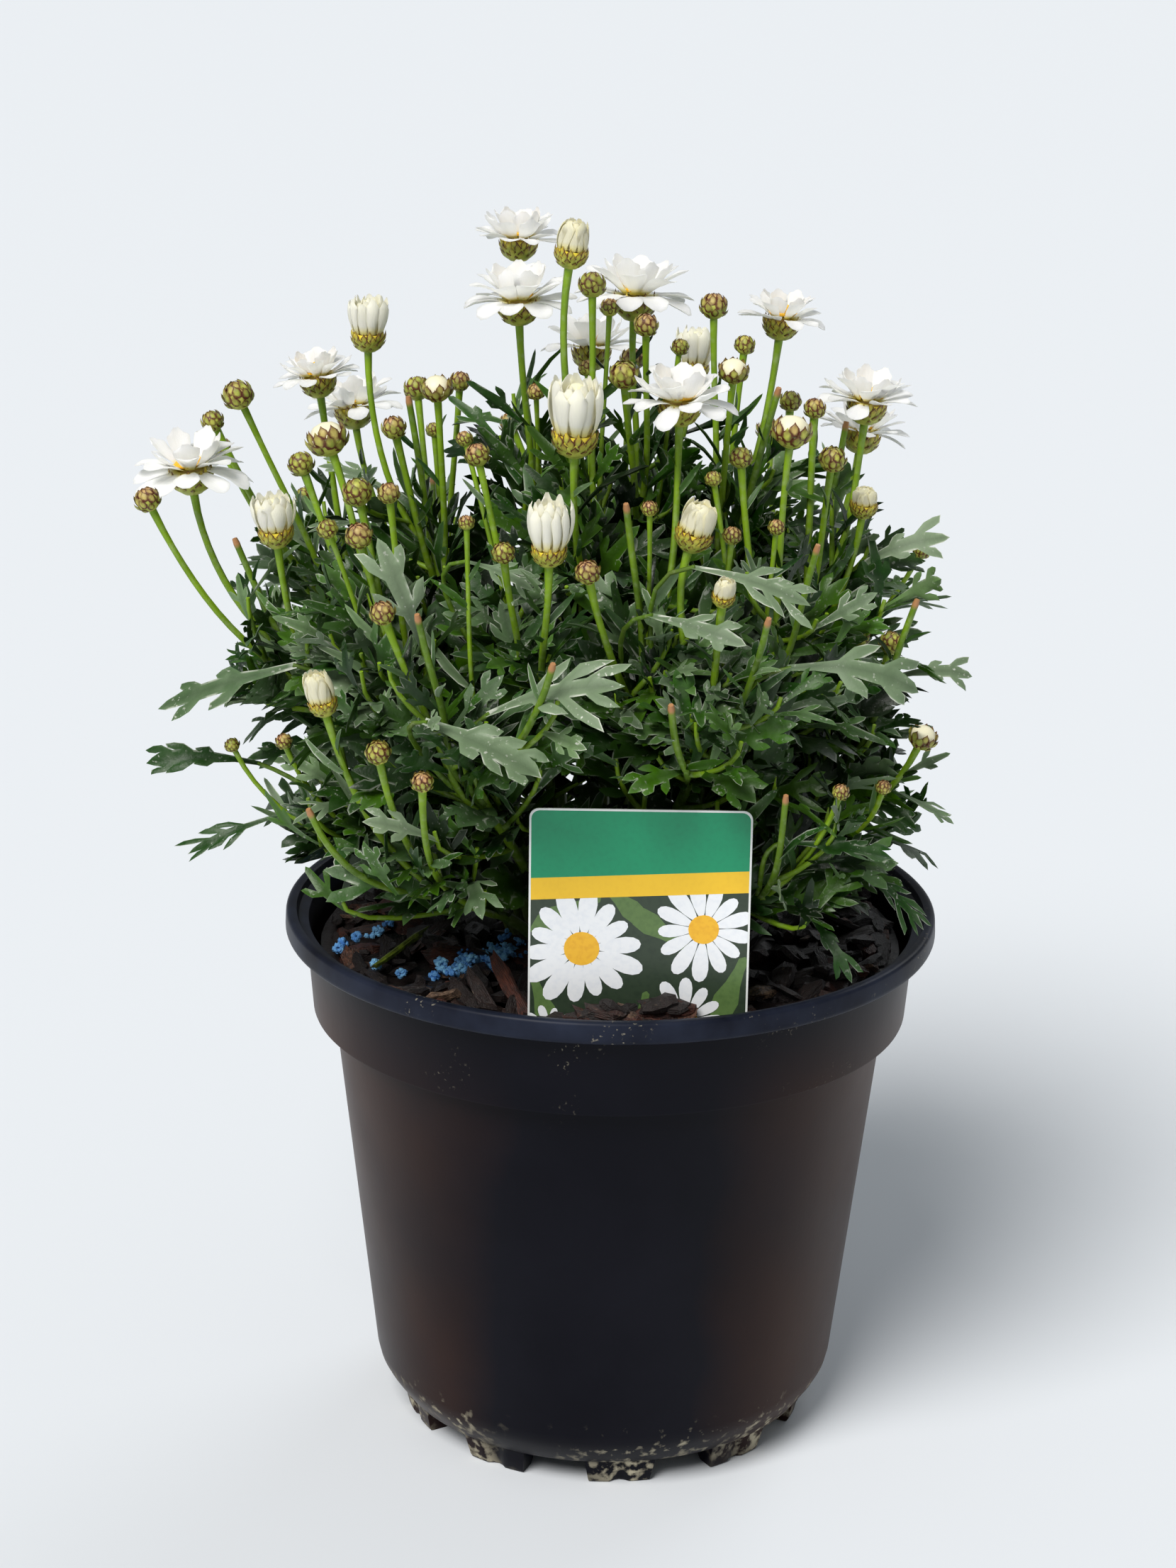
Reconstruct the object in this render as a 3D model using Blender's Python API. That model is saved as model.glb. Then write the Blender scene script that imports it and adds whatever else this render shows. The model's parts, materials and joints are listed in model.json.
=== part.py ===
"""Potted marguerite daisy: a black nursery pot, compost, bark mulch, feed granules, a care label,
leafy stems with buds, open blooms and half-open heads.

The origin is the centre of the pot's underside. +Z is up and -Y is the front.
"""
import math
import random

import bmesh
import bpy
from mathutils import Matrix, Vector
from mathutils.bvhtree import BVHTree

MM = 0.001
GAP = 0.3 * MM
UP = Vector((0.0, 0.0, 1.0))

# Pot: a 3 litre nursery pot, 190 mm across the rim
RIM_RADIUS = 95.0 * MM
POT_HEIGHT = 158.0 * MM
LIP_DEPTH = 6.5 * MM
LIP_WIDTH = 3.4 * MM
COLLAR_DEPTH = 31.0 * MM
COLLAR_TOP_RADIUS = 89.0 * MM
COLLAR_FOOT_RADIUS = 87.0 * MM
WALL_TOP_RADIUS = 81.0 * MM
WALL_FOOT_RADIUS = 68.5 * MM
WALL_FOOT_HEIGHT = 16.5 * MM
CHAMFER_RADIUS = 62.5 * MM
CHAMFER_HEIGHT = 8.0 * MM
WALL_THICKNESS = 1.6 * MM
POT_SIDES = 30
FOOT_COUNT = 10
FOOT_ANGLE = math.radians(19.5)
FOOT_TURN = math.radians(4.7)
FOOT_INNER_RADIUS = 52.0 * MM
FOOT_OUTER_RADIUS = 60.0 * MM
FOOT_GROOVE = 1.4 * MM
FOOT_GROOVE_ANGLE = math.radians(1.6)
FOOT_TAPER = 1.6 * MM
FOOT_ROOT = 0.8 * MM
FOOT_SQUEEZE = 0.87
PAD_RADIUS = 10.0 * MM
PAD_SIDES = 10
DRAIN_COUNT = 5
DRAIN_RADIUS = 4.5 * MM
DRAIN_RING = 40.0 * MM
DRAIN_TURN = math.radians(22.0)
LIP_ROUND = 1.0 * MM
SHELF_RISE = 0.4 * MM

# Compost and mulch
COMPOST_TOP = 134.0 * MM
MULCH_TOP = 148.5 * MM
MULCH_RELIEF = 1.6 * MM
MULCH_SIDES = 15
MULCH_RINGS = 3
CHIP_COUNT = 13
CHIP_LENGTH = (12.0 * MM, 20.0 * MM)
CHIP_WIDTH = (6.0 * MM, 10.0 * MM)
CHIP_HEIGHT = (3.5 * MM, 6.0 * MM)
CHIP_TILT = 0.35
CHIP_LEVEL = 0.8 * MM
CHIP_MARGIN = 12.0 * MM
STEM_CLEARING = 6.0 * MM
STEM_HOLE = 0.9 * MM
CUTTER_RISE = 20.0 * MM
STEM_SINK = 9.0 * MM
STEM_START = 2.0 * MM
POCKET_DEPTH = 1.2 * MM
# Granule patches: x, y and reach in millimetres, and how many granules each holds
GRANULE_PATCHES = ((-38.0, -36.0, 11.0, 8), (-70.0, -16.0, 8.0, 4))
GRANULE_RADIUS = (1.7 * MM, 2.1 * MM)
GRANULE_STEP = 2.7
GRANULE_SPACE = 2.5
CROWN_CENTRE = Vector((-5.0 * MM, -2.0 * MM, 0.0))
CROWN_RADIUS = 24.0 * MM

# Care label
LABEL_WIDTH = 60.0 * MM
LABEL_TOP = 211.0 * MM
LABEL_FOOT = 141.0 * MM
LABEL_THICKNESS = 0.7 * MM
LABEL_CENTRE = (7.3 * MM, -73.0 * MM)
LABEL_CORNER = 2.2 * MM
LABEL_MARGIN = 12.0 * MM

# Stems, leaves and heads
STEM_FOOT_RADIUS = 2.1 * MM
STEM_WAIST_RADIUS = 1.9 * MM
STALK_RADIUS = 0.95 * MM
STALK_RISE = 62.0 * MM
STUB_RISE = 40.0 * MM
LEAF_RISE = 24.0 * MM
LONG_STALK = 75.0 * MM
CORE_SIDES = 8
# Rings of leaf points along a stem (past 1 they stand above its fork), and their relative reach
CORE_RINGS = ((0.5, 0.9), (0.68, 1.05), (0.87, 1.05), (1.04, 0.95), (1.24, 0.72))
CORE_BEYOND = 90.0 * MM
CORE_REACH = 16.0 * MM
CORE_VALLEY = 0.36
CORE_LIFT = 0.45
CORE_ROOM = 2.2 * MM
CORE_SHARES = (1.0, 0.86, 0.72, 0.58, 0.44, 0.3)
CORE_CAP = 12.0 * MM
BLADE = 0.7 * MM
GOLDEN_ANGLE = math.radians(137.5)
LEAVES_PER_STEM = 8
LEAF_ROOT = 0.8 * MM
LEAF_MARGIN = 5.0 * MM
KEY_LEAF_WIDTH = 0.62
LEAF_LIMIT = 4
LEAF_LENGTH = (36.0 * MM, 46.0 * MM)
PETAL_COUNT = 10
PETAL_BLADE = 0.65 * MM
PLATE_TOP = 1.6 * MM
DISC_RADIUS = 4.6 * MM
BLOOM_CUP = 5.0 * MM
BLOOM_CUP_SHARE = 0.2
OPENING_CUP_SHARE = 0.86
CUP_SHARE = 0.58
CLEARANCE = 0.6 * MM
THIN = 0.69
CHIP_THIN = 0.85

# Each stem: its name, the place where it forks, and what it carries, in millimetres.
# bloom: x, y, z of its cup, diameter, lift of the petals in degrees, lean to the right, lean to the back
# opening: x, y, z of its cup, width, height of the petal bundle, lean right, lean back
# bud: x, y, z, diameter     stub: x, y, z of its cut end     leaf: x, y, z of its foot, x, y, z of its tip
STEMS = (
    ("leafy_stem_01", (-78, -16, 222), (
        ("bloom", -118, -15, 285, 35, -2, -0.12, -0.05),
        ("opening", -92, -45, 277, 11, 10, -0.1, -0.1),
        ("bud", -128, -35, 285, 7.4),
        ("stub", -105, -20, 268),
    )),
    ("leafy_stem_02", (-68, 10, 232), (
        ("bloom", -85, 15, 306, 26, 14, -0.15, 0.0),
        ("bud", -106, -5, 308, 9.0),
        ("bud", -114, 2, 299, 6.6),
        ("bud", -113, 14, 289, 5.7),
    )),
    ("leafy_stem_03", (-54, -44, 226), (
        ("bud", -79, -35, 303, 11.4),
        ("bud", -87, -24, 293, 7.4),
        ("bud", -77, -61, 284, 5.7),
        ("bud", -70, -48, 291, 8.4),
        ("bud", -61, -57, 293, 6.2),
        ("bud", -68, -72, 285, 7.5),
        ("leaf", -52, -70, 256, -63, -74, 285),
    )),
    ("leafy_stem_04", (-46, -4, 242), (
        ("opening", -70, 0, 322, 11, 11, 0.02, 0.0),
        ("bud", -62, -17, 302, 7.1),
        ("bud", -50, -20, 314, 8.8),
        ("stub", -58, -8, 306),
    )),
    ("leafy_stem_05", (-52, -60, 186), (
        ("opening", -77, -77, 239, 9, 9, -0.25, -0.1),
        ("bud", -62, -92, 232, 7.0),
        ("bud", -50, -101, 227, 6.0),
        ("stub", -80, -84, 211),
    )),
    ("leafy_stem_06", (-68, -32, 192), (
        ("leaf", -88, -46, 242, -126, -40, 227),
        ("leaf", -100, -28, 208, -131, -30, 208),
        ("leaf", -90, -34, 196, -119, -38, 184),
    )),
    ("leafy_stem_07", (-38, -70, 218), (
        ("bud", -61, -86, 268, 7.0),
        ("stub", -51, -96, 268),
        ("stub", -17, -108, 259),
        ("leaf", -49, -95, 241, -19, -110, 231),
        ("leaf", -33, -92, 243, 2, -106, 255),
    )),
    ("leafy_stem_08", (-22, -46, 234), (
        ("opening", -18, -85, 283, 10.5, 14, 0.0, -0.1),
        ("bud", -38, -45, 301, 6.9),
        ("bud", -30, -80, 283, 6.2),
        ("leaf", -40, -62, 276, -22, -70, 270),
    )),
    ("leafy_stem_09", (-20, 10, 258), (
        ("bloom", -29, 25, 344, 28, 22, 0.0, 0.05),
        ("bloom", -28, -7, 332, 33, 16, -0.05, -0.05),
    )),
    ("leafy_stem_10", (-6, -20, 248), (
        ("opening", -14, -24, 350, 10.5, 9, 0.15, 0.0),
        ("opening", -12, -55, 306, 14, 16, 0.03, -0.08),
        ("bud", -8, -4, 340, 7.9),
        ("bud", -3, 6, 332, 5.6),
    )),
    ("leafy_stem_11", (8, 12, 256), (
        ("bloom", 4, 19, 329, 36, 12, 0.05, 0.05),
        ("bud", 7, -9, 330, 7.1),
        ("bud", 1, -24, 319, 8.5),
    )),
    ("leafy_stem_12", (10, -50, 232), (
        ("bloom", 16, -38, 311, 32, 10, 0.0, -0.08),
        ("bud", -8, -91, 281, 6.9),
        ("stub", 2, -76, 293),
        ("leaf", 9, -84, 268, 33, -98, 264),
    )),
    ("leafy_stem_13", (24, -58, 224), (
        ("opening", 19, -70, 284, 11.5, 9, 0.3, -0.1),
        ("opening", 27, -88, 273, 7, 5, 0.1, -0.3),
        ("stub", 38, -98, 269),
        ("stub", 14, -106, 248),
        ("leaf", 20, -76, 279, 50, -84, 271),
    )),
    ("leafy_stem_14", (27, 2, 250), (
        ("bloom", 45, 12, 325, 26, 16, 0.1, 0.0),
        ("bud", 26, 5, 333, 8.0),
        ("bud", 35, 6, 322, 6.0),
        ("bud", 31, -20, 320, 8.4),
        ("stub", 43, -17, 312),
    )),
    ("leafy_stem_15", (38, -42, 226), (
        ("bud", 46, -45, 309, 10.8),
        ("bud", 33, -35, 299, 6.4),
        ("stub", 52, -65, 280),
        ("leaf", 46, -76, 252, 80, -74, 245),
    )),
    ("leafy_stem_16", (52, -6, 236), (
        ("bloom", 69, 0, 304, 30, 14, 0.1, 0.0),
        ("opening", 68, -16, 280, 9, 5, 0.1, -0.1),
        ("bud", 54, -12, 308, 6.3),
        ("bud", 58, -31, 298, 7.8),
        ("stub", 64, 9, 297),
        ("leaf", 68, -8, 262, 93, -12, 272),
    )),
    ("leafy_stem_17", (60, -22, 198), (
        ("bud", 85, -42, 223, 8.3),
        ("bud", 77, -22, 244, 7.2),
        ("bud", 69, -12, 243, 6.0),
        ("stub", 82, -30, 256),
        ("leaf", 80, -14, 232, 102, -10, 231),
    )),
    ("leafy_stem_18", (42, -60, 182), (
        ("stub", 45, -85, 217),
        ("leaf", 46, -72, 202, 75, -76, 199),
        ("leaf", 66, -52, 190, 86, -58, 172),
        ("leaf", 52, -56, 178, 66, -68, 160),
    )),
    ("leafy_stem_19", (-50, 44, 226), (
        ("bloom", -78, 58, 288, 31, 12, -0.15, 0.15),
        ("bud", -60, 66, 296, 8.0),
        ("bud", -46, 38, 304, 6.4),
        ("bud", -92, 44, 268, 5.6),
        ("stub", -56, 84, 262),
        ("leaf", -80, 60, 238, -108, 74, 232),
    )),
    ("leafy_stem_20", (0, 54, 232), (
        ("bloom", -8, 72, 304, 33, 10, 0.0, 0.2),
        ("opening", 22, 62, 302, 11, 12, 0.1, 0.15),
        ("bud", -32, 66, 286, 7.0),
        ("bud", 6, 92, 274, 6.4),
        ("bud", 4, 44, 310, 7.4),
        ("leaf", 6, 86, 240, 14, 114, 232),
    )),
    ("leafy_stem_21", (48, 42, 224), (
        ("bloom", 72, 52, 284, 30, 12, 0.15, 0.15),
        ("bud", 46, 72, 284, 8.0),
        ("bud", 50, 36, 300, 6.6),
        ("bud", 90, 36, 256, 5.6),
        ("stub", 60, 76, 262),
        ("leaf", 74, 60, 236, 100, 66, 230),
        ("leaf", 38, 66, 208, 52, 92, 196),
    )),
    ("leafy_stem_22", (-26, 56, 188), (
        ("bud", -44, 86, 236, 6.6),
        ("leaf", -30, 82, 204, -38, 108, 190),
        ("leaf", -52, 66, 198, -78, 80, 186),
        ("leaf", -10, 78, 198, -2, 102, 180),
        ("stub", -20, 80, 226),
    )),
)


def material(name, colour, roughness, metallic=0.0):
    """A plain Principled material in linear colour."""
    made = bpy.data.materials.new(name)
    made.use_nodes = True
    shader = made.node_tree.nodes["Principled BSDF"]
    shader.inputs["Base Color"].default_value = (*colour, 1.0)
    shader.inputs["Roughness"].default_value = roughness
    shader.inputs["Metallic"].default_value = metallic
    made.diffuse_color = (*colour, 1.0)
    return made


def mesh_object(name, shape, finish, smooth=True):
    """An object from a (points, faces) shape, in world coordinates."""
    points, faces = shape
    mesh = bpy.data.meshes.new(name)
    mesh.from_pydata([tuple(p) for p in points], [], faces)
    work = bmesh.new()
    work.from_mesh(mesh)
    bmesh.ops.recalc_face_normals(work, faces=work.faces)
    work.to_mesh(mesh)
    work.free()
    mesh.materials.append(finish)
    if smooth:
        mesh.shade_smooth()
        mesh.set_sharp_from_angle(angle=math.radians(35))
    made = bpy.data.objects.new(name, mesh)
    bpy.context.collection.objects.link(made)
    return made


def keep_largest_body(mesh):
    """Drop loose scraps and sealed hollows that a union leaves, keeping the largest shell."""
    work = bmesh.new()
    work.from_mesh(mesh)
    bmesh.ops.triangulate(work, faces=work.faces)
    seen = set()
    shells = []
    for start in work.faces:
        if start in seen:
            continue
        shell = []
        queue = [start]
        seen.add(start)
        while queue:
            face = queue.pop()
            shell.append(face)
            for edge in face.edges:
                for other in edge.link_faces:
                    if other not in seen:
                        seen.add(other)
                        queue.append(other)
        shells.append(shell)
    shells.sort(key=len, reverse=True)
    spare = [face for shell in shells[1:] for face in shell]
    if spare:
        bmesh.ops.delete(work, geom=spare, context="FACES")
    loose = [v for v in work.verts if not v.link_faces]
    if loose:
        bmesh.ops.delete(work, geom=loose, context="VERTS")
    work.to_mesh(mesh)
    work.free()
    return len(shells)


def combine(name, shapes, finish, thin=1.0, smooth=True):
    """Join the shapes after the first to it, or cut them from it, with one Boolean on a collection."""
    base = mesh_object(name, shapes[0], finish, smooth)
    if len(shapes) == 1:
        return base
    group = bpy.data.collections.new(name + "_tools")
    for index, shape in enumerate(shapes[1:]):
        tool = mesh_object(f"{name}_tool_{index}", shape, finish, smooth)
        group.objects.link(tool)
    step = base.modifiers.new("combine", "BOOLEAN")
    step.operation = "UNION"
    step.operand_type = "COLLECTION"
    step.collection = group
    seen = base.evaluated_get(bpy.context.evaluated_depsgraph_get())
    joined = bpy.data.meshes.new_from_object(seen)
    base.modifiers.remove(step)
    base.data = joined
    for tool in list(group.objects):
        bpy.data.objects.remove(tool)
    bpy.data.collections.remove(group)
    keep_largest_body(joined)
    if thin < 1.0:
        step = base.modifiers.new("thin", "DECIMATE")
        step.ratio = thin
        seen = base.evaluated_get(bpy.context.evaluated_depsgraph_get())
        joined = bpy.data.meshes.new_from_object(seen)
        base.modifiers.remove(step)
        base.data = joined
    joined.materials.clear()
    joined.materials.append(finish)
    if smooth:
        joined.shade_smooth()
        joined.set_sharp_from_angle(angle=math.radians(35))
    return base


def turned(profile, sides, turn=0.0):
    """A closed solid turned about Z from a profile of (radius, height), top centre to foot centre."""
    points = []
    faces = []
    rings = []
    for radius, height in profile:
        if radius == 0.0:
            rings.append([len(points)])
            points.append(Vector((0.0, 0.0, height)))
            continue
        ring = []
        for k in range(sides):
            angle = turn + 2.0 * math.pi * k / sides
            ring.append(len(points))
            points.append(Vector((radius * math.cos(angle), radius * math.sin(angle), height)))
        rings.append(ring)
    for upper, lower in zip(rings, rings[1:]):
        for k in range(sides):
            n = (k + 1) % sides
            if len(upper) == 1:
                faces.append((upper[0], lower[k], lower[n]))
            elif len(lower) == 1:
                faces.append((upper[k], lower[0], upper[n]))
            else:
                faces.append((upper[k], lower[k], lower[n], upper[n]))
    return points, faces


def placed(shape, place, axis, spin=0.0):
    """Turn a shape's +Z to an axis, spin it about that axis, and move it to a place."""
    points, faces = shape
    turn = axis.to_track_quat("Z", "Y").to_matrix() @ Matrix.Rotation(spin, 3, "Z")
    return [turn @ p + place for p in points], faces


def drum(radius, low, high, sides, turn=0.0):
    """A plain upright cylinder."""
    return turned(((0.0, high), (radius, high), (radius, low), (0.0, low)), sides, turn)


def foot_block(centre_angle):
    """One foot of the pot: a sector block, narrower below, with a groove in its outer face."""
    half = FOOT_ANGLE / 2.0
    groove = FOOT_GROOVE_ANGLE
    angles = (-half, -groove * 2.0, -groove, groove, groove * 2.0, half)
    grooved = (False, False, True, True, False, False)
    top = (CHAMFER_HEIGHT + FOOT_ROOT, 1.0, CHAMFER_RADIUS - SHELF_RISE, FOOT_INNER_RADIUS)
    sole = (0.0, FOOT_SQUEEZE, FOOT_OUTER_RADIUS, FOOT_INNER_RADIUS + FOOT_TAPER)
    points = []
    for height, squeeze, outer, inner in (top, sole):
        corners_here = [(angle, outer - (FOOT_GROOVE if cut else 0.0)) for angle, cut in zip(angles, grooved)]
        corners_here += [(half, inner), (-half, inner)]
        for angle, radius in corners_here:
            turn = centre_angle + angle * squeeze
            points.append(Vector((radius * math.sin(turn), -radius * math.cos(turn), height)))
    count = len(angles) + 2
    faces = [tuple(range(count)), tuple(range(count, 2 * count))]
    for k in range(count):
        n = (k + 1) % count
        faces.append((k, n, count + n, count + k))
    return points, faces


def build_pot(finish):
    """The moulded pot: a turned shell with ten grooved feet, a centre pad and drain holes."""
    collar_foot = POT_HEIGHT - COLLAR_DEPTH
    lip_foot = POT_HEIGHT - LIP_DEPTH
    floor_top = CHAMFER_HEIGHT + WALL_THICKNESS
    inner_lip = RIM_RADIUS - LIP_WIDTH
    profile = (
        (0.0, CHAMFER_HEIGHT),
        (CHAMFER_RADIUS, CHAMFER_HEIGHT),
        (WALL_FOOT_RADIUS, WALL_FOOT_HEIGHT),
        (WALL_TOP_RADIUS, collar_foot),
        (COLLAR_FOOT_RADIUS, collar_foot + SHELF_RISE),
        (COLLAR_TOP_RADIUS, lip_foot),
        (RIM_RADIUS - LIP_ROUND * 0.6, lip_foot),
        (RIM_RADIUS, lip_foot + LIP_ROUND),
        (RIM_RADIUS - LIP_ROUND * 0.3, POT_HEIGHT - LIP_ROUND * 0.8),
        (RIM_RADIUS - LIP_ROUND * 1.4, POT_HEIGHT),
        (inner_lip, POT_HEIGHT - LIP_ROUND * 0.6),
        (COLLAR_TOP_RADIUS - WALL_THICKNESS, lip_foot - LIP_ROUND * 2.0),
        (COLLAR_FOOT_RADIUS - WALL_THICKNESS, collar_foot + SHELF_RISE + WALL_THICKNESS),
        (WALL_TOP_RADIUS - WALL_THICKNESS, collar_foot + WALL_THICKNESS),
        (WALL_FOOT_RADIUS - WALL_THICKNESS, WALL_FOOT_HEIGHT + SHELF_RISE),
        (CHAMFER_RADIUS - WALL_THICKNESS, floor_top),
        (0.0, floor_top),
    )
    shapes = [turned(profile, POT_SIDES)]
    for k in range(FOOT_COUNT):
        shapes.append(foot_block(FOOT_TURN + 2.0 * math.pi * k / FOOT_COUNT))
    shapes.append(drum(PAD_RADIUS, 0.0, CHAMFER_HEIGHT + FOOT_ROOT, PAD_SIDES))
    pot = combine("pot", shapes, finish)
    drains = []
    for k in range(DRAIN_COUNT):
        angle = DRAIN_TURN + 2.0 * math.pi * k / DRAIN_COUNT
        middle = Vector((DRAIN_RING * math.cos(angle), DRAIN_RING * math.sin(angle), 0.0))
        points, faces = drum(DRAIN_RADIUS, CHAMFER_HEIGHT - WALL_THICKNESS, floor_top + WALL_THICKNESS, 6)
        drains.append(([p + middle for p in points], faces))
    cut(pot, drains)
    return pot


def cut(target, shapes):
    """Cut the shapes from an object with one Boolean on a collection, and apply it."""
    group = bpy.data.collections.new(target.name + "_cutters")
    for index, shape in enumerate(shapes):
        cutter = mesh_object(f"{target.name}_cutter_{index}", shape, target.data.materials[0])
        cutter.hide_render = True
        cutter.display_type = "WIRE"
        group.objects.link(cutter)
    step = target.modifiers.new("cut", "BOOLEAN")
    step.operation = "DIFFERENCE"
    step.operand_type = "COLLECTION"
    step.collection = group
    seen = target.evaluated_get(bpy.context.evaluated_depsgraph_get())
    joined = bpy.data.meshes.new_from_object(seen)
    target.modifiers.remove(step)
    target.data = joined
    for cutter in list(group.objects):
        bpy.data.objects.remove(cutter)
    bpy.data.collections.remove(group)
    keep_largest_body(joined)


def build_compost(finish):
    """The root ball: it fills the pot up to the mulch, clear of the wall."""
    shelf = POT_HEIGHT - COLLAR_DEPTH + SHELF_RISE + WALL_THICKNESS + GAP
    wall = WALL_THICKNESS + GAP * 1.6
    floor = CHAMFER_HEIGHT + WALL_THICKNESS + GAP
    profile = (
        (0.0, COMPOST_TOP),
        (COLLAR_FOOT_RADIUS - wall, COMPOST_TOP),
        (COLLAR_FOOT_RADIUS - wall, shelf),
        (WALL_TOP_RADIUS - wall, shelf),
        (WALL_FOOT_RADIUS - wall, WALL_FOOT_HEIGHT + SHELF_RISE * 2.0),
        (CHAMFER_RADIUS - wall - GAP * 2.0, floor),
        (0.0, floor),
    )
    return mesh_object("compost", turned(profile, POT_SIDES // 2), finish)


def quiet_patch(x, y):
    """1 where the mulch stays level for granules or the label, 0 elsewhere."""
    for px, py, reach, _ in GRANULE_PATCHES:
        if math.hypot(x - px * MM, y - py * MM) < (reach + 4.0) * MM:
            return 1.0
    near_label = abs(x - LABEL_CENTRE[0]) < LABEL_WIDTH / 2.0 + 2.0 * MM
    if near_label and abs(y - LABEL_CENTRE[1]) < 3.0 * MM:
        return 1.0
    return 0.0


def mulch_bed(rng):
    """The bed of the mulch: a disc with a low uneven top."""
    rim = COLLAR_FOOT_RADIUS - WALL_THICKNESS - GAP * 2.0
    foot = COMPOST_TOP + GAP
    points = [Vector((0.0, 0.0, MULCH_TOP))]
    faces = []
    for ring in range(1, MULCH_RINGS + 1):
        radius = rim * ring / MULCH_RINGS
        for k in range(MULCH_SIDES):
            angle = 2.0 * math.pi * k / MULCH_SIDES
            x = radius * math.cos(angle)
            y = radius * math.sin(angle)
            swell = rng.uniform(-MULCH_RELIEF, MULCH_RELIEF)
            height = MULCH_TOP + swell * (1.0 - quiet_patch(x, y))
            points.append(Vector((x, y, height)))
    last = len(points)
    for k in range(MULCH_SIDES):
        angle = 2.0 * math.pi * k / MULCH_SIDES
        points.append(Vector((rim * math.cos(angle), rim * math.sin(angle), foot)))
    points.append(Vector((0.0, 0.0, foot)))
    for k in range(MULCH_SIDES):
        n = (k + 1) % MULCH_SIDES
        faces.append((0, 1 + k, 1 + n))
        for ring in range(MULCH_RINGS):
            a = 1 + ring * MULCH_SIDES
            b = a + MULCH_SIDES
            faces.append((a + k, b + k, b + n))
            faces.append((a + k, b + n, a + n))
        faces.append((len(points) - 1, last + n, last + k))
    return points, faces


def bark_chip(place, turn, tilt, length, width, height):
    """A split piece of bark: a wedge with slanted ends."""
    points = []
    for z, grow in ((-height, 1.0), (height, 0.72)):
        for x, y in ((-1.0, -0.7), (0.1, -1.0), (1.0, -0.5), (0.8, 0.8), (-0.7, 1.0)):
            points.append(Vector((x * length / 2.0 * grow, y * width / 2.0 * grow, z / 2.0)))
    faces = [(4, 3, 2, 1, 0), (5, 6, 7, 8, 9)]
    for k in range(5):
        n = (k + 1) % 5
        faces.append((k, n, n + 5, k + 5))
    spin = Matrix.Rotation(turn, 3, "Z") @ Matrix.Rotation(tilt, 3, "Y")
    return [spin @ p + place for p in points], faces


def build_mulch(finish, feet):
    """The bark mulch: a bed with chips fused into it, a slot for the label and a hole for each stem."""
    rng = random.Random(11)
    shapes = [mulch_bed(rng)]
    reach = COLLAR_FOOT_RADIUS - CHIP_MARGIN
    while len(shapes) <= CHIP_COUNT:
        radius = reach * math.sqrt(rng.uniform(0.12, 1.0))
        angle = rng.uniform(0.0, 2.0 * math.pi)
        x = radius * math.cos(angle)
        y = radius * math.sin(angle)
        turn = rng.uniform(0.0, math.pi)
        tilt = rng.uniform(-CHIP_TILT, CHIP_TILT)
        length = rng.uniform(*CHIP_LENGTH)
        width = rng.uniform(*CHIP_WIDTH)
        height = rng.uniform(*CHIP_HEIGHT)
        arm = (length / 2.0 * math.cos(turn), length / 2.0 * math.sin(turn))
        ends = [(x + side * arm[0], y + side * arm[1]) for side in (-1, 0, 1)]
        if any(quiet_patch(a, b) for a, b in ends):
            continue
        if any(math.hypot(a - f.x, b - f.y) < STEM_CLEARING for f in feet for a, b in ends):
            continue
        shapes.append(bark_chip(Vector((x, y, MULCH_TOP + CHIP_LEVEL)), turn, tilt, length, width, height))
    mulch = combine("bark_mulch", shapes, finish, CHIP_THIN, smooth=False)
    cutters = []
    above = MULCH_TOP + CUTTER_RISE
    for foot in feet:
        points, faces = drum(STEM_FOOT_RADIUS + STEM_HOLE, MULCH_TOP - STEM_SINK, above, 5)
        cutters.append(([p + Vector((foot.x, foot.y, 0.0)) for p in points], faces))
    for px, py, reach, _ in GRANULE_PATCHES:
        points, faces = drum(reach * MM, MULCH_TOP - POCKET_DEPTH, above, 9)
        cutters.append(([p + Vector((px * MM, py * MM, 0.0)) for p in points], faces))
    slot = LABEL_THICKNESS / 2.0 + GAP
    cutters.append(box(
        (LABEL_CENTRE[0] - LABEL_WIDTH / 2.0 - GAP, LABEL_CENTRE[1] - slot, LABEL_FOOT - GAP),
        (LABEL_CENTRE[0] + LABEL_WIDTH / 2.0 + GAP, LABEL_CENTRE[1] + slot, above)))
    cut(mulch, cutters)
    return mulch


def box(low, high):
    """A box between two corners."""
    points = [Vector((x, y, z)) for z in (low[2], high[2]) for x, y in (
        (low[0], low[1]), (high[0], low[1]), (high[0], high[1]), (low[0], high[1]))]
    faces = [(0, 3, 2, 1), (4, 5, 6, 7), (0, 1, 5, 4), (1, 2, 6, 5), (2, 3, 7, 6), (3, 0, 4, 7)]
    return points, faces


def build_granules(name, patch, seed, finish):
    """A patch of feed granules that touch each other, resting on the mulch."""
    rng = random.Random(seed)
    px, py, reach, count = patch
    shapes = []
    spots = [(0.0, 0.0)]
    while len(spots) < count:
        near = rng.choice(spots)
        angle = rng.uniform(0.0, 2.0 * math.pi)
        spot = (near[0] + GRANULE_STEP * math.cos(angle), near[1] + GRANULE_STEP * math.sin(angle))
        if math.hypot(spot[0] * 0.8, spot[1] * 1.3) > reach - 2.0:
            continue
        if any(math.hypot(spot[0] - s[0], spot[1] - s[1]) < GRANULE_SPACE for s in spots):
            continue
        spots.append(spot)
    for x, y in spots:
        radius = rng.uniform(*GRANULE_RADIUS)
        ball = ((0.0, radius), (radius * 0.88, radius * 0.4), (radius * 0.88, -radius * 0.4), (0.0, -radius))
        place = Vector(((px + x) * MM, (py + y) * MM, MULCH_TOP - POCKET_DEPTH + GAP + radius))
        shapes.append(placed(turned(ball, 5, rng.uniform(0.0, 1.0)), place, UP))
    return combine(name, shapes, finish, CHIP_THIN)


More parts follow.
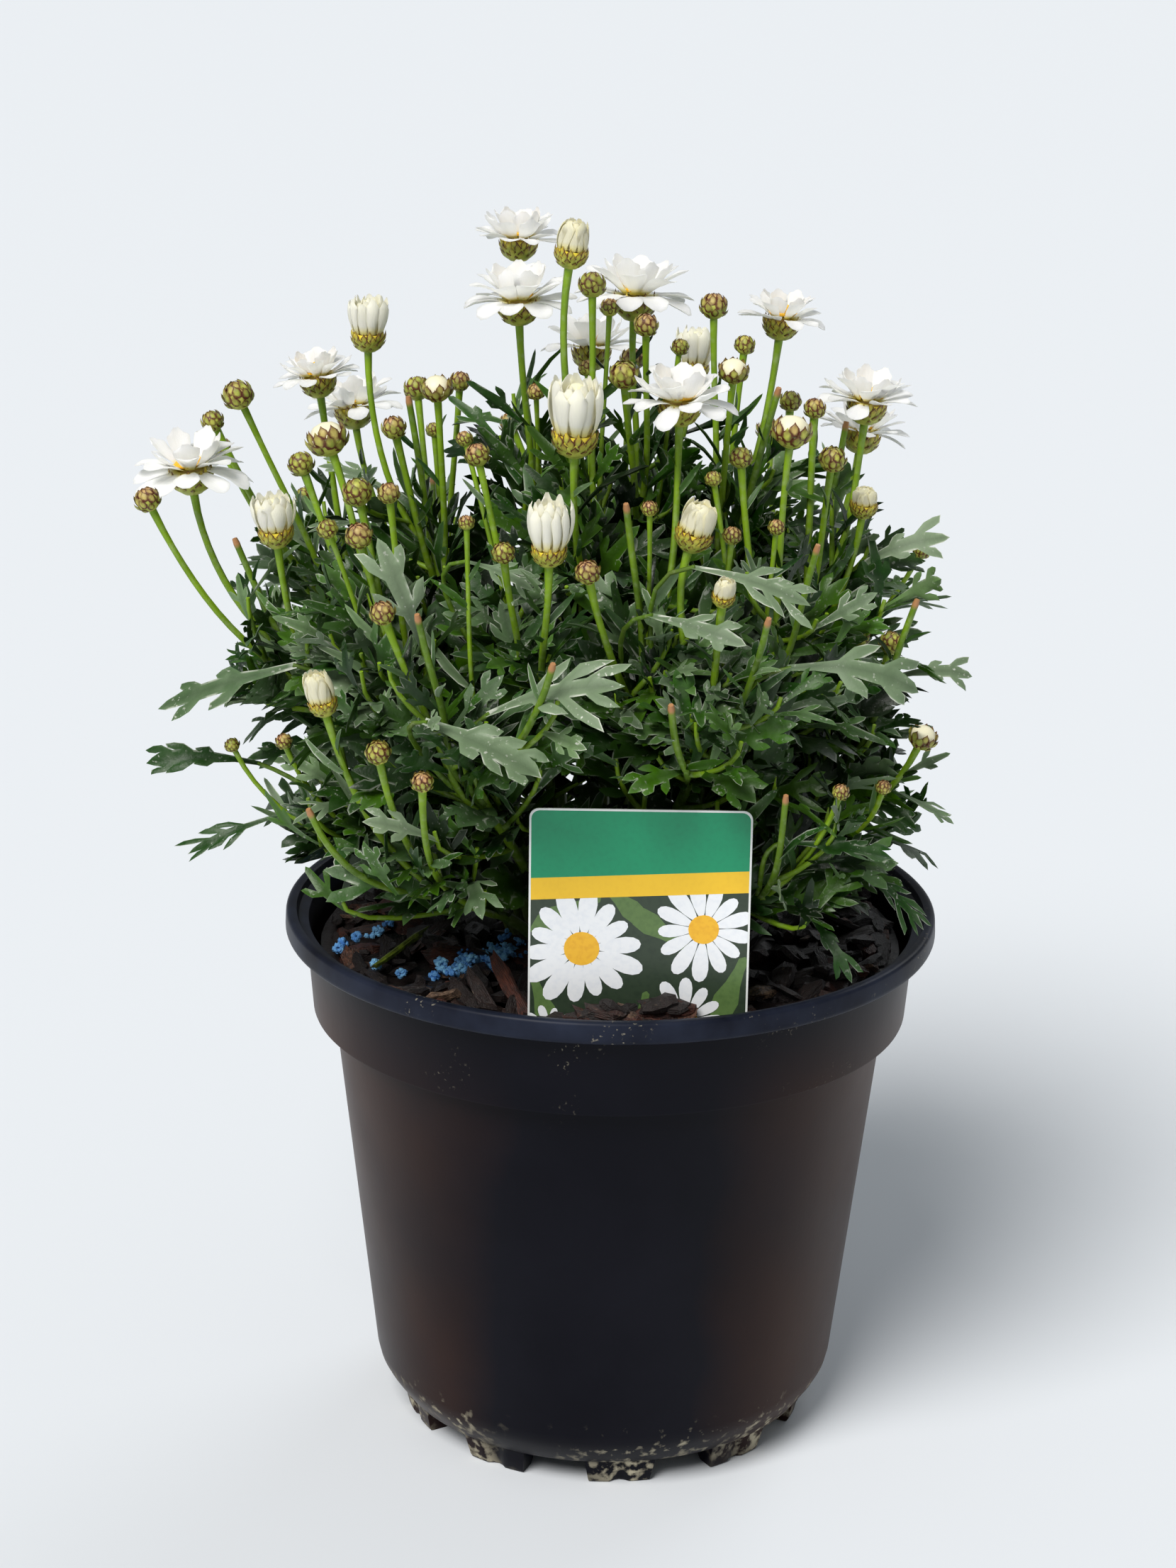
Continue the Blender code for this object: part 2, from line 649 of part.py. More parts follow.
def build_label(finish):
    """The stick-in care label: a thin upright card with round top corners."""
    points = []
    left = LABEL_CENTRE[0] - LABEL_WIDTH / 2.0
    right = LABEL_CENTRE[0] + LABEL_WIDTH / 2.0
    outline = [(left, LABEL_FOOT), (right, LABEL_FOOT)]
    for k in range(4):
        angle = math.pi / 2.0 * k / 3.0
        outline.append((right - LABEL_CORNER * (1.0 - math.cos(angle)),
                        LABEL_TOP - LABEL_CORNER * (1.0 - math.sin(angle))))
    for k in range(4):
        angle = math.pi / 2.0 * (1.0 + k / 3.0)
        outline.append((left + LABEL_CORNER * (1.0 + math.cos(angle)),
                        LABEL_TOP - LABEL_CORNER * (1.0 - math.sin(angle))))
    for side in (-0.5, 0.5):
        for x, z in outline:
            points.append(Vector((x, LABEL_CENTRE[1] + side * LABEL_THICKNESS, z)))
    count = len(outline)
    faces = [tuple(range(count)), tuple(range(2 * count - 1, count - 1, -1))]
    for k in range(count):
        n = (k + 1) % count
        faces.append((k, n, count + n, count + k))
    return mesh_object("care_label", (points, faces), finish, smooth=False)


def bezier(a, b, c, d, t):
    """A point on a cubic curve."""
    s = 1.0 - t
    return a * s ** 3 + b * (3.0 * s * s * t) + c * (3.0 * s * t * t) + d * t ** 3


def curve_points(controls, count):
    """Evenly spaced points on a cubic curve."""
    return [bezier(*controls, k / count) for k in range(count + 1)]


def tube(points, radii, sides, apex=None):
    """A closed tube along points, with flat ends, or with a pointed far end at the apex."""
    verts = []
    faces = []
    side = None
    for k, point in enumerate(points):
        ahead = points[min(k + 1, len(points) - 1)] - points[max(k - 1, 0)]
        ahead.normalize()
        if side is None:
            side = ahead.orthogonal().normalized()
        side = (side - ahead * side.dot(ahead)).normalized()
        other = ahead.cross(side)
        for n in range(sides):
            angle = 2.0 * math.pi * n / sides
            verts.append(point + (side * math.cos(angle) + other * math.sin(angle)) * radii[k])
    for k in range(len(points) - 1):
        for n in range(sides):
            m = (n + 1) % sides
            a = k * sides
            b = a + sides
            faces.append((a + n, a + m, b + m))
            faces.append((a + n, b + m, b + n))
    faces.append(tuple(range(sides - 1, -1, -1)))
    last = len(verts) - sides
    if apex is None:
        faces.append(tuple(range(last, len(verts))))
        return verts, faces
    for n in range(sides):
        faces.append((last + n, last + (n + 1) % sides, len(verts)))
    verts.append(apex)
    return verts, faces


def blade(centres, normals, triangles, rim, thickness):
    """A thin solid over a triangulated sheet, with the same triangles on both faces."""
    half = thickness / 2.0
    points = [p + n * half for p, n in zip(centres, normals)]
    points += [p - n * half for p, n in zip(centres, normals)]
    count = len(centres)
    faces = list(triangles)
    faces += [(c + count, b + count, a + count) for a, b, c in triangles]
    for a, b in zip(rim, rim[1:] + rim[:1]):
        faces.append((b, a, a + count))
        faces.append((b, a + count, b + count))
    return points, faces


def lobed_leaf(root, heading, face, length, width, pairs, droop, rng):
    """A pinnately lobed leaf: a narrow rib strip from a pointed foot, with side lobes and an end lobe."""
    across = heading.cross(face).normalized()
    marks = [0.0] + [0.27 + 0.57 * k / pairs for k in range(pairs + 1)] + [1.0]
    half_widths = (0.0, 1.5 * MM, 2.9 * MM, 3.3 * MM, 2.7 * MM)
    scale = length / LEAF_LENGTH[0]
    spot = root.copy()
    normal = across.cross(heading).normalized()
    stations = []
    previous = 0.0
    for mark in marks:
        bend = Matrix.Rotation(-droop * (mark - previous), 3, across)
        heading = bend @ heading
        normal = bend @ normal
        spot = spot + heading * ((mark - previous) * length)
        previous = mark
        stations.append((spot.copy(), heading.copy(), normal.copy()))
    centres = [root]
    normals = [stations[0][2]]
    triangles = []
    left_rim = [0]
    right_rim = []
    for k in range(1, pairs + 2):
        spot, heading, normal = stations[k]
        for sign in (1.0, -1.0):
            centres.append(spot + across * (sign * half_widths[k] * scale))
            normals.append(normal)
        left, right = len(centres) - 2, len(centres) - 1
        if k == 1:
            triangles.append((0, right, left))
            left_rim.append(left)
            right_rim.append(right)
            continue
        below_left, below_right = left_rim[-1], right_rim[-1]
        triangles.append((below_left, below_right, right))
        triangles.append((below_left, right, left))
        middle = (stations[k - 1][0] + spot) / 2.0
        lobes = ((1.0, below_left, left, left_rim), (-1.0, below_right, right, right_rim))
        for sign, start, stop, rim in lobes:
            reach = width / 2.0 * (0.82, 1.0, 0.74)[k - 2] * rng.uniform(0.85, 1.1)
            lift = rng.uniform(-0.28, 0.1)
            tip = len(centres)
            centres.append(middle + (across * sign + heading * 0.62 + normal * lift) * reach)
            normals.append(normal)
            triangles.append((start, tip, stop) if sign < 0.0 else (start, stop, tip))
            rim.extend((tip, stop))
    end = len(centres)
    centres.append(stations[-1][0])
    normals.append(stations[-1][2])
    triangles.append((left_rim[-1], right_rim[-1], end))
    rim = left_rim + [end] + right_rim[::-1]
    return blade(centres, normals, triangles, rim, BLADE)


def stalk_shape(controls, axis, kind, size):
    """A stalk that runs on into its closed bud, into the green cup of an open head, or to a cut end."""
    count = 3 if (controls[3] - controls[0]).length > LONG_STALK else 2
    points = curve_points(controls, count)
    radii = [STALK_RADIUS * 1.15] + [STALK_RADIUS] * count
    goal = points[-1]
    if kind == "bud":
        points += [goal + axis * (size * share) for share in (0.12, 0.5, 0.84)]
        return tube(points, radii + [size * 0.36, size * 0.5, size * 0.33], 5)
    if kind == "cup":
        height = cup_height(size)
        points += [goal + axis * (height * 0.25), goal + axis * height]
        return tube(points, radii + [size * 0.4, size * 0.5], 6)
    return tube(points, radii, 4)


def cup_width(item):
    """The width of the green cup of an open or half-open head."""
    if item[0] == "bloom":
        return BLOOM_CUP + item[4] * BLOOM_CUP_SHARE * MM
    return item[4] * OPENING_CUP_SHARE * MM


def head_drop(item):
    """How far the foot of a bud or cup lies below the middle of the head, which the table gives."""
    if item[0] == "bud":
        return item[4] * MM / 2.0
    if item[0] in ("bloom", "opening"):
        return cup_height(cup_width(item)) / 2.0
    return 0.0


def cup_height(width):
    """How high the green cup of a head stands above its stalk."""
    return width * CUP_SHARE


def petal_ring(name, place, axis, diameter, lift, finish, rng):
    """The white petals of an open bloom: a thin plate whose side runs out into petals in two layers."""
    sector = 2.0 * math.pi / PETAL_COUNT
    points = [Vector((0.0, 0.0, GAP)), Vector((0.0, 0.0, PLATE_TOP))]
    faces = []
    roots = []
    first_turn = rng.uniform(0.0, sector)
    for k in range(PETAL_COUNT):
        root = []
        for share in (-0.5, 0.5):
            angle = first_turn + (k + share * 0.9) * sector
            for height in (GAP, PLATE_TOP):
                root.append(len(points))
                points.append(Vector((DISC_RADIUS * math.cos(angle), DISC_RADIUS * math.sin(angle), height)))
        roots.append(root)
    for k, (low_a, top_a, low_b, top_b) in enumerate(roots):
        next_low, next_top = roots[(k + 1) % PETAL_COUNT][:2]
        faces += [(0, low_b, low_a), (1, top_a, top_b), (0, next_low, low_b), (1, top_b, next_top)]
        faces += [(low_b, next_low, next_top), (low_b, next_top, top_b)]
        upper = k % 2
        middle = (k * sector) + first_turn
        out = Vector((math.cos(middle), math.sin(middle), 0.0))
        across = Vector((-math.sin(middle), math.cos(middle), 0.0))
        reach = diameter / 2.0 * rng.uniform(0.93, 1.0)
        tilt = lift + (math.radians(8.0) if upper else -math.radians(6.0)) + rng.uniform(-0.03, 0.03)
        width = diameter * rng.uniform(0.165, 0.185)
        level = (PLATE_TOP - 0.1 * MM) if upper else 0.75 * MM
        rows = [(low_a, top_a, low_b, top_b)]
        for share, wide, sag in ((0.55, 1.0, 0.0), (1.0, 0.6, 0.09)):
            run = (reach - DISC_RADIUS) * share
            climb = level + run * math.tan(tilt) - sag * reach
            row = []
            for sign in (-1.0, 1.0):
                for half in (-0.5, 0.5):
                    row.append(len(points))
                    spot = out * (DISC_RADIUS + run) + across * (sign * width * wide / 2.0)
                    points.append(spot + UP * (climb + half * PETAL_BLADE))
            rows.append(tuple(row))
        for (la, ta, lb, tb), (lc, tc, ld, td) in zip(rows, rows[1:]):
            faces += [(ta, tc, td), (ta, td, tb), (la, ld, lc), (la, lb, ld)]
            faces += [(la, lc, tc), (la, tc, ta), (lb, tb, td), (lb, td, ld)]
        la, ta, lb, tb = rows[-1]
        faces += [(la, lb, tb), (la, tb, ta)]
    return mesh_object(name, placed((points, faces), place, axis), finish)


def floret_disc(name, place, axis, finish):
    """The yellow disc of an open bloom: a dome with its florets as relief."""
    low = PLATE_TOP + GAP
    rows = ((4.3, 0.0, 0.0), (4.4, 1.0, 0.25), (2.4, 2.2, 0.35))
    sides = 9
    points = [Vector((0.0, 0.0, low))]
    faces = []
    for row, (radius, height, bump) in enumerate(rows):
        for k in range(sides):
            raised = 1.0 if (k + row) % 2 else -1.0
            angle = 2.0 * math.pi * (k + 0.5 * row) / sides
            r = radius * MM
            level = low + (height + raised * bump) * MM
            points.append(Vector((r * math.cos(angle), r * math.sin(angle), level)))
    points.append(Vector((0.0, 0.0, low + 2.9 * MM)))
    for k in range(sides):
        n = (k + 1) % sides
        faces.append((0, 1 + n, 1 + k))
        for row in range(len(rows) - 1):
            a = 1 + row * sides
            b = a + sides
            faces.append((a + k, a + n, b + k))
            faces.append((a + n, b + n, b + k))
        top = 1 + (len(rows) - 1) * sides
        faces.append((top + k, top + n, len(points) - 1))
    return mesh_object(name, placed((points, faces), place, axis), finish)


def petal_bundle(name, place, axis, width, height, finish, turn):
    """The upright petals of a half-open head: six petals side by side, each with its own tip."""
    petals = 6
    sides = petals * 2
    rows = ((0.36, 0.0), (0.47, 0.5))
    points = [Vector((0.0, 0.0, GAP))]
    faces = []
    for radius, level in rows:
        for k in range(sides):
            crest = 1.0 if k % 2 else 0.84
            r = width * radius * crest
            angle = turn + 2.0 * math.pi * k / sides
            points.append(Vector((r * math.cos(angle), r * math.sin(angle), GAP + height * level)))
    for k in range(sides):
        crest = k % 2
        r = width * (0.30 if crest else 0.24)
        level = (1.0 - 0.08 * ((k * 3) % 4) / 3.0) if crest else 0.72
        angle = turn + 2.0 * math.pi * k / sides
        points.append(Vector((r * math.cos(angle), r * math.sin(angle), GAP + height * level)))
    points.append(Vector((0.0, 0.0, GAP + height * 0.66)))
    for k in range(sides):
        n = (k + 1) % sides
        faces.append((0, 1 + n, 1 + k))
        for row in range(len(rows)):
            a = 1 + row * sides
            b = a + sides
            faces.append((a + k, a + n, b + k))
            faces.append((a + n, b + n, b + k))
        top = 1 + len(rows) * sides
        faces.append((top + k, top + n, len(points) - 1))
    return mesh_object(name, placed((points, faces), place, axis), finish)


def vec(values):
    """A point given in millimetres."""
    return Vector(values) * MM


def stem_foot(fork):
    """Where a stem enters the mulch: on the side that it leans to."""
    lean = Vector((fork.x, fork.y, 0.0)) - CROWN_CENTRE
    share = min(1.0, lean.length / (75.0 * MM))
    spot = CROWN_CENTRE + lean.normalized() * (CROWN_RADIUS * (0.25 + 0.75 * share))
    return Vector((spot.x, spot.y, MULCH_TOP + STEM_START))


def stem_controls(fork):
    """Control points of a main stem: upright at the foot, leaning out at the fork."""
    foot = stem_foot(fork)
    rise = fork.z - foot.z
    out = Vector((fork.x - foot.x, fork.y - foot.y, 0.0))
    return (foot, foot + UP * (rise * 0.35) + out * 0.12, fork - UP * (rise * 0.32) - out * 0.3, fork)


def stalk_controls(stem, goal, axis, rank, rise=STALK_RISE):
    """Control points of a stalk from its fork on the stem to what it carries."""
    t = 1.0 - 0.075 * rank
    while t > 0.4 and bezier(*stem, t).z > goal.z - rise:
        t -= 0.02
    start = bezier(*stem, t)
    ahead = (bezier(*stem, min(1.0, t + 0.03)) - bezier(*stem, min(1.0, t + 0.03) - 0.06)).normalized()
    run = (goal - start).length
    flat = Vector((goal.x - start.x, goal.y - start.y, 0.0))
    return (start, start + ahead * (run * 0.25) + flat * 0.18, goal - axis * (run * 0.34), goal)


def head_axis(stem, goal, lean):
    """The direction in which a head faces."""
    if lean is not None:
        return Vector((lean[0], lean[1], 1.0)).normalized()
    flat = Vector((goal.x, goal.y, 0.0)) - Vector((stem[3].x, stem[3].y, 0.0))
    return (UP + flat.normalized() * min(0.45, flat.length / (70.0 * MM))).normalized()


def leaf_frame(root, tip):
    """Heading, upper face, length and droop of a leaf that is given by its foot and tip."""
    run = tip - root
    flat = Vector((run.x, run.y, 0.0))
    if flat.length < 2.0 * MM:
        flat = Vector((1.0 * MM, 0.0, 0.0))
    droop = math.radians(38.0)
    across = flat.normalized().cross(UP)
    heading = Matrix.Rotation(droop * 0.55, 3, across) @ run.normalized()
    return heading, across.cross(heading).normalized(), run.length * 1.04, droop


class Registry:
    """Every solid placed so far, by node, to keep the nodes clear of each other."""

    def __init__(self):
        self.solids = []

    def add(self, node, shape):
        """Remember a solid of a node."""
        low, high = corners(shape[0])
        self.solids.append((node, low, high, BVHTree.FromPolygons(*shape)))

    def near(self, node, middle, reach):
        """The solids of other nodes within reach of a place."""
        found = []
        for other, low, high, solid in self.solids:
            if other != node and all(low[i] - reach < middle[i] < high[i] + reach for i in range(3)):
                found.append(solid)
        return found

    def clashes(self, node, shape):
        """Whether a shape comes too near to a solid of another node."""
        grown = swollen(shape, CLEARANCE)
        low, high = corners(grown[0])
        tree = BVHTree.FromPolygons(*grown)
        for other, start, stop, solid in self.solids:
            if other == node:
                continue
            if any(start[i] > high[i] or stop[i] < low[i] for i in range(3)):
                continue
            if tree.overlap(solid):
                return True
        return False


def corners(points):
    """The lowest and highest corner of a set of points."""
    low = Vector([min(p[i] for p in points) for i in range(3)])
    high = Vector([max(p[i] for p in points) for i in range(3)])
    return low, high


def has_room(solids, start, stop):
    """Whether a line from start to stop keeps clear of the solids."""
    for share in (0.4, 0.6, 0.8, 1.0):
        spot = start.lerp(stop, share)
        if any(solid.find_nearest(spot, CORE_ROOM)[0] is not None for solid in solids):
            return False
    return True


def core_tips(stem, name, rank, registry):
    """How far each leaf point of a stem's core reaches before it meets another node."""
    rng = random.Random(500 + rank)
    tips = []
    for ring, (t, swell) in enumerate(CORE_RINGS):
        ahead, side, other = stem_frame(stem, t)
        middle = bezier(*stem, min(1.0, t)) + ahead * (max(0.0, t - 1.0) * CORE_BEYOND)
        solids = registry.near(name, middle, CORE_REACH * 1.5)
        row = []
        for n in range(CORE_SIDES):
            angle = 2.0 * math.pi * n / CORE_SIDES
            out = side * math.cos(angle) + other * math.sin(angle)
            tip = (n + ring) % 2 == 0
            reach = CORE_REACH * swell * rng.uniform(0.8, 1.1) * (1.0 if tip else CORE_VALLEY)
            lift = CORE_LIFT if tip else 0.0
            for share in CORE_SHARES:
                place = middle + (out + ahead * lift) * (reach * share)
                if place.z > MULCH_TOP + LEAF_MARGIN and has_room(solids, middle, place):
                    break
            row.append((out, ahead * lift, reach * share))
        tips.append((middle, row))
    return tips


def stem_frame(stem, t):
    """The direction of a stem at a place along it, and two directions across it."""
    ahead = (bezier(*stem, min(1.0, t + 0.02)) - bezier(*stem, min(1.0, t + 0.02) - 0.04)).normalized()
    side = Vector((1.0, 0.0, 0.0)) - ahead * ahead.x
    side.normalize()
    return ahead, side, ahead.cross(side)


def leafy_column(stem, tips, scale):
    """A main stem whose upper part swells into a ragged core: leaf points that alternate from ring to ring."""
    foot = stem[0]
    sunk = foot - UP * (STEM_SINK + STEM_START - GAP)
    points = []
    faces = []
    level = (Vector((1.0, 0.0, 0.0)), Vector((0.0, 1.0, 0.0)))
    for place, frame, radius in ((sunk, level, STEM_FOOT_RADIUS), (foot, level, STEM_FOOT_RADIUS),
                                 (bezier(*stem, 0.3), stem_frame(stem, 0.3)[1:], STEM_WAIST_RADIUS)):
        for n in range(CORE_SIDES):
            angle = 2.0 * math.pi * n / CORE_SIDES
            points.append(place + (frame[0] * math.cos(angle) + frame[1] * math.sin(angle)) * radius)
    for middle, row in tips:
        for out, lift, reach in row:
            points.append(middle + (out + lift) * max(STEM_WAIST_RADIUS, reach * scale))
    rings = len(points) // CORE_SIDES
    for k in range(rings - 1):
        for n in range(CORE_SIDES):
            m = (n + 1) % CORE_SIDES
            a = k * CORE_SIDES
            b = a + CORE_SIDES
            if (n + k) % 2:
                faces += [(a + n, a + m, b + m), (a + n, b + m, b + n)]
            else:
                faces += [(a + n, a + m, b + n), (a + m, b + m, b + n)]
    faces.append(tuple(range(CORE_SIDES - 1, -1, -1)))
    last = len(points) - CORE_SIDES
    for n in range(CORE_SIDES):
        faces.append((last + n, last + (n + 1) % CORE_SIDES, len(points)))
    points.append(tips[-1][0] + stem_frame(stem, 1.0)[0] * CORE_CAP)
    return points, faces


def hides_label(shape):
    """Whether a leaf hangs in front of the label."""
    for p in shape[0]:
        beside = abs(p.x - LABEL_CENTRE[0]) < LABEL_WIDTH / 2.0
        if beside and p.y < LABEL_CENTRE[1] and p.z < LABEL_TOP + LABEL_MARGIN:
            return True
    return False


def crowded(shape, parts):
    """Whether a leaf crosses stalks or leaves of its own stem other than the one that it grows from."""
    tree = BVHTree.FromPolygons(*shape)
    return sum(1 for part in parts if tree.overlap(BVHTree.FromPolygons(*part))) > 1


def swollen(shape, amount):
    """A shape with its points moved out along their normals."""
    points, faces = shape
    normals = [Vector() for _ in points]
    for face in faces:
        a, b, c = (points[i] for i in face[:3])
        normal = (b - a).cross(c - a)
        if normal.length > 0.0:
            normal.normalize()
        for i in face:
            normals[i] += normal
    middle = sum(points, Vector()) / len(points)
    grown = []
    for p, n in zip(points, normals):
        if n.length == 0.0:
            n = p - middle
        grown.append(p + n.normalized() * amount)
    return grown, faces


def stem_leaves(stem, stalks, rank):
    """Leaves by rule, spiralling up a stem and the feet of its stalks, in the order they are tried."""
    rng = random.Random(100 + rank)
    turn = rng.uniform(0.0, 2.0 * math.pi)
    spots = []
    for k in range(LEAVES_PER_STEM):
        spots.append((stem, 0.40 + 0.6 * (k + 0.5) / LEAVES_PER_STEM, 1.0))
    for controls in stalks:
        spots.append((controls, 0.38, 0.8))
        spots.append((controls, 0.56, 0.65))
    leaves = []
    for controls, t, scale in spots:
        turn += GOLDEN_ANGLE
        root = bezier(*controls, t)
        ahead = (bezier(*controls, t + 0.02) - bezier(*controls, t - 0.02)).normalized()
        ring = Matrix.Rotation(turn, 3, ahead) @ ahead.orthogonal().normalized()
        outward = Vector((root.x, root.y, 0.0)) - CROWN_CENTRE
        side = (ring + outward.normalized() * 0.8).normalized()
        length = rng.uniform(*LEAF_LENGTH) * scale
        heading = (side + UP * rng.uniform(0.25, 0.9)).normalized()
        across = heading.cross(UP).normalized()
        face = across.cross(heading).normalized()
        droop = rng.uniform(0.5, 1.3)
        width = length * rng.uniform(0.58, 0.74)
        shape_seed = rng.randrange(10 ** 6)
        leaves.append((root - heading * (0.6 * MM), heading, face, length, width, 2, droop, shape_seed))
    rng.shuffle(leaves)
    return leaves


def solid_of(item):
    """The (points, faces) shape of a finished object."""
    return [v.co.copy() for v in item.data.vertices], [tuple(f.vertices) for f in item.data.polygons]


def grow_stem(name, fork, load, rank):
    """Shape one leafy stem: its wood, its stalks with buds, cups and cut ends, and its own large leaves."""
    stem = stem_controls(vec(fork))
    wood = [tube(curve_points(stem, 3), [STEM_FOOT_RADIUS] * 4, 5)]
    leaves = []
    stalks = []
    heads = []
    for number, item in enumerate(load):
        kind = item[0]
        goal = vec(item[1:4])
        if kind == "leaf":
            heading, face, length, droop = leaf_frame(goal, vec(item[4:7]))
            controls = stalk_controls(stem, goal, heading, number, LEAF_RISE)
            wood.append(tube(curve_points(controls, 2), [STALK_RADIUS] * 3, 4))
            rng = random.Random(rank * 10 + number)
            root = goal - heading * LEAF_ROOT
            leaves.append(lobed_leaf(root, heading, face, length, length * KEY_LEAF_WIDTH, 3, droop, rng))
            continue
        lean = item[6:8] if kind in ("bloom", "opening") else None
        axis = head_axis(stem, goal, lean)
        goal -= axis * head_drop(item)
        controls = stalk_controls(stem, goal, axis, number, STUB_RISE if kind == "stub" else STALK_RISE)
        stalks.append(controls)
        if kind == "bud":
            wood.append(stalk_shape(controls, axis, "bud", item[4] * MM))
        elif kind == "stub":
            wood.append(stalk_shape(controls, axis, "stub", 0.0))
        else:
            width = cup_width(item)
            wood.append(stalk_shape(controls, axis, "cup", width))
            heads.append((kind, goal + axis * cup_height(width), axis, item[4] * MM, item[5]))
    return Plant(name, rank, stem, stalks, wood, leaves, heads)


class Plant:
    """One leafy stem while it is being put together."""

    def __init__(self, name, rank, stem, stalks, parts, key_leaves, heads):
        self.name = name
        self.rank = rank
        self.stem = stem
        self.stalks = stalks
        self.parts = parts
        self.key_leaves = key_leaves
        self.heads = heads

    def add_key_leaves(self, registry):
        """Add the large leaves, and leave out one that would cross another stem."""
        for leaf in self.key_leaves:
            if not registry.clashes(self.name, leaf):
                self.parts.append(leaf)
                registry.add(self.name, leaf)

    def add_core(self, registry):
        """Swell the main stem into its core of leaf points, smaller until it crosses nothing."""
        tips = core_tips(self.stem, self.name, self.rank, registry)
        scale = 1.0
        shape = leafy_column(self.stem, tips, scale)
        while scale > 0.1 and registry.clashes(self.name, shape):
            scale -= 0.1
            shape = leafy_column(self.stem, tips, scale)
        self.parts[0] = shape
        registry.add(self.name, shape)
        return scale

    def add_leaves(self, registry):
        """Add leaves by rule, up to the limit, where they cross nothing."""
        grown = 0
        for *leaf, seed in stem_leaves(self.stem, self.stalks, self.rank):
            if grown == LEAF_LIMIT:
                break
            shape = lobed_leaf(*leaf, random.Random(seed))
            if min(p.z for p in shape[0]) < MULCH_TOP + LEAF_MARGIN or hides_label(shape):
                continue
            if registry.clashes(self.name, shape) or crowded(shape, self.parts[1:]):
                continue
            self.parts.append(shape)
            registry.add(self.name, shape)
            grown += 1


def build_plant(registry, leafy, white, cream, yellow):
    """Every leafy stem with its heads, kept clear of one another."""
    plants = [grow_stem(name, fork, load, rank) for rank, (name, fork, load) in enumerate(STEMS)]
    for plant in plants:
        for part in plant.parts:
            registry.add(plant.name, part)
    blooms = 0
    openings = 0
    for plant in plants:
        for kind, place, axis, width, form in plant.heads:
            if kind == "bloom":
                blooms += 1
                rng = random.Random(300 + blooms)
                title = f"bloom_{blooms:02d}"
                ring = petal_ring(title + "_petals", place, axis, width, math.radians(form), white, rng)
                disc = floret_disc(title + "_disc", place, axis, yellow)
                registry.add(ring.name, solid_of(ring))
                registry.add(disc.name, solid_of(disc))
            else:
                openings += 1
                title = f"opening_head_{openings:02d}"
                turn = openings * GOLDEN_ANGLE
                bundle = petal_bundle(title, place, axis, width, form * MM, cream, turn)
                registry.add(bundle.name, solid_of(bundle))
    for plant in plants:
        plant.add_key_leaves(registry)
    for plant in plants:
        plant.add_core(registry)
    for plant in plants:
        plant.add_leaves(registry)
    for plant in plants:
        combine(plant.name, plant.parts, leafy, THIN)


def main():
    """Build every piece of the potted plant."""
    for item in list(bpy.data.objects):
        bpy.data.objects.remove(item)
    black = material("pot_plastic", (0.012, 0.012, 0.018), 0.42)
    soil = material("compost_brown", (0.03, 0.02, 0.014), 0.95)
    bark = material("bark_brown", (0.035, 0.018, 0.012), 0.9)
    feed = material("feed_blue", (0.03, 0.15, 0.45), 0.7)
    card = material("label_green", (0.01, 0.45, 0.22), 0.35)
    leafy = material("leaf_green", (0.07, 0.13, 0.06), 0.6)
    white = material("petal_white", (0.85, 0.86, 0.84), 0.6)
    cream = material("petal_cream", (0.85, 0.82, 0.62), 0.6)
    yellow = material("floret_yellow", (0.8, 0.42, 0.02), 0.7)
    build_pot(black)
    build_compost(soil)
    build_mulch(bark, [stem_foot(vec(fork)) for _, fork, _ in STEMS])
    for number, patch in enumerate(GRANULE_PATCHES, 1):
        build_granules(f"feed_granules_{number}", patch, 4 + number, feed)
    label = build_label(card)
    registry = Registry()
    registry.add(label.name, solid_of(label))
    rim = ((RIM_RADIUS - LIP_WIDTH, POT_HEIGHT), (RIM_RADIUS, POT_HEIGHT),
           (RIM_RADIUS, POT_HEIGHT - COLLAR_DEPTH), (RIM_RADIUS - LIP_WIDTH, POT_HEIGHT - COLLAR_DEPTH))
    registry.add("pot", turned(rim, POT_SIDES))
    build_plant(registry, leafy, white, cream, yellow)


main()
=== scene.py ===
"""Looks of a potted marguerite daisy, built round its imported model.

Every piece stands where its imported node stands: the pot, bark chips, feed granules, care label,
leafy stems, open blooms and half-open heads. Metres, +Z up, and -Y is the front.
"""
import json
import logging
import math
import random
from collections.abc import Callable, Sequence
from dataclasses import dataclass, field
from enum import Enum

import bmesh
import bpy
from bpy.types import Camera, Collection, Light, Material, Mesh, Node, NodeSocket, NodeTree, Object
from mathutils import Matrix, Vector, noise

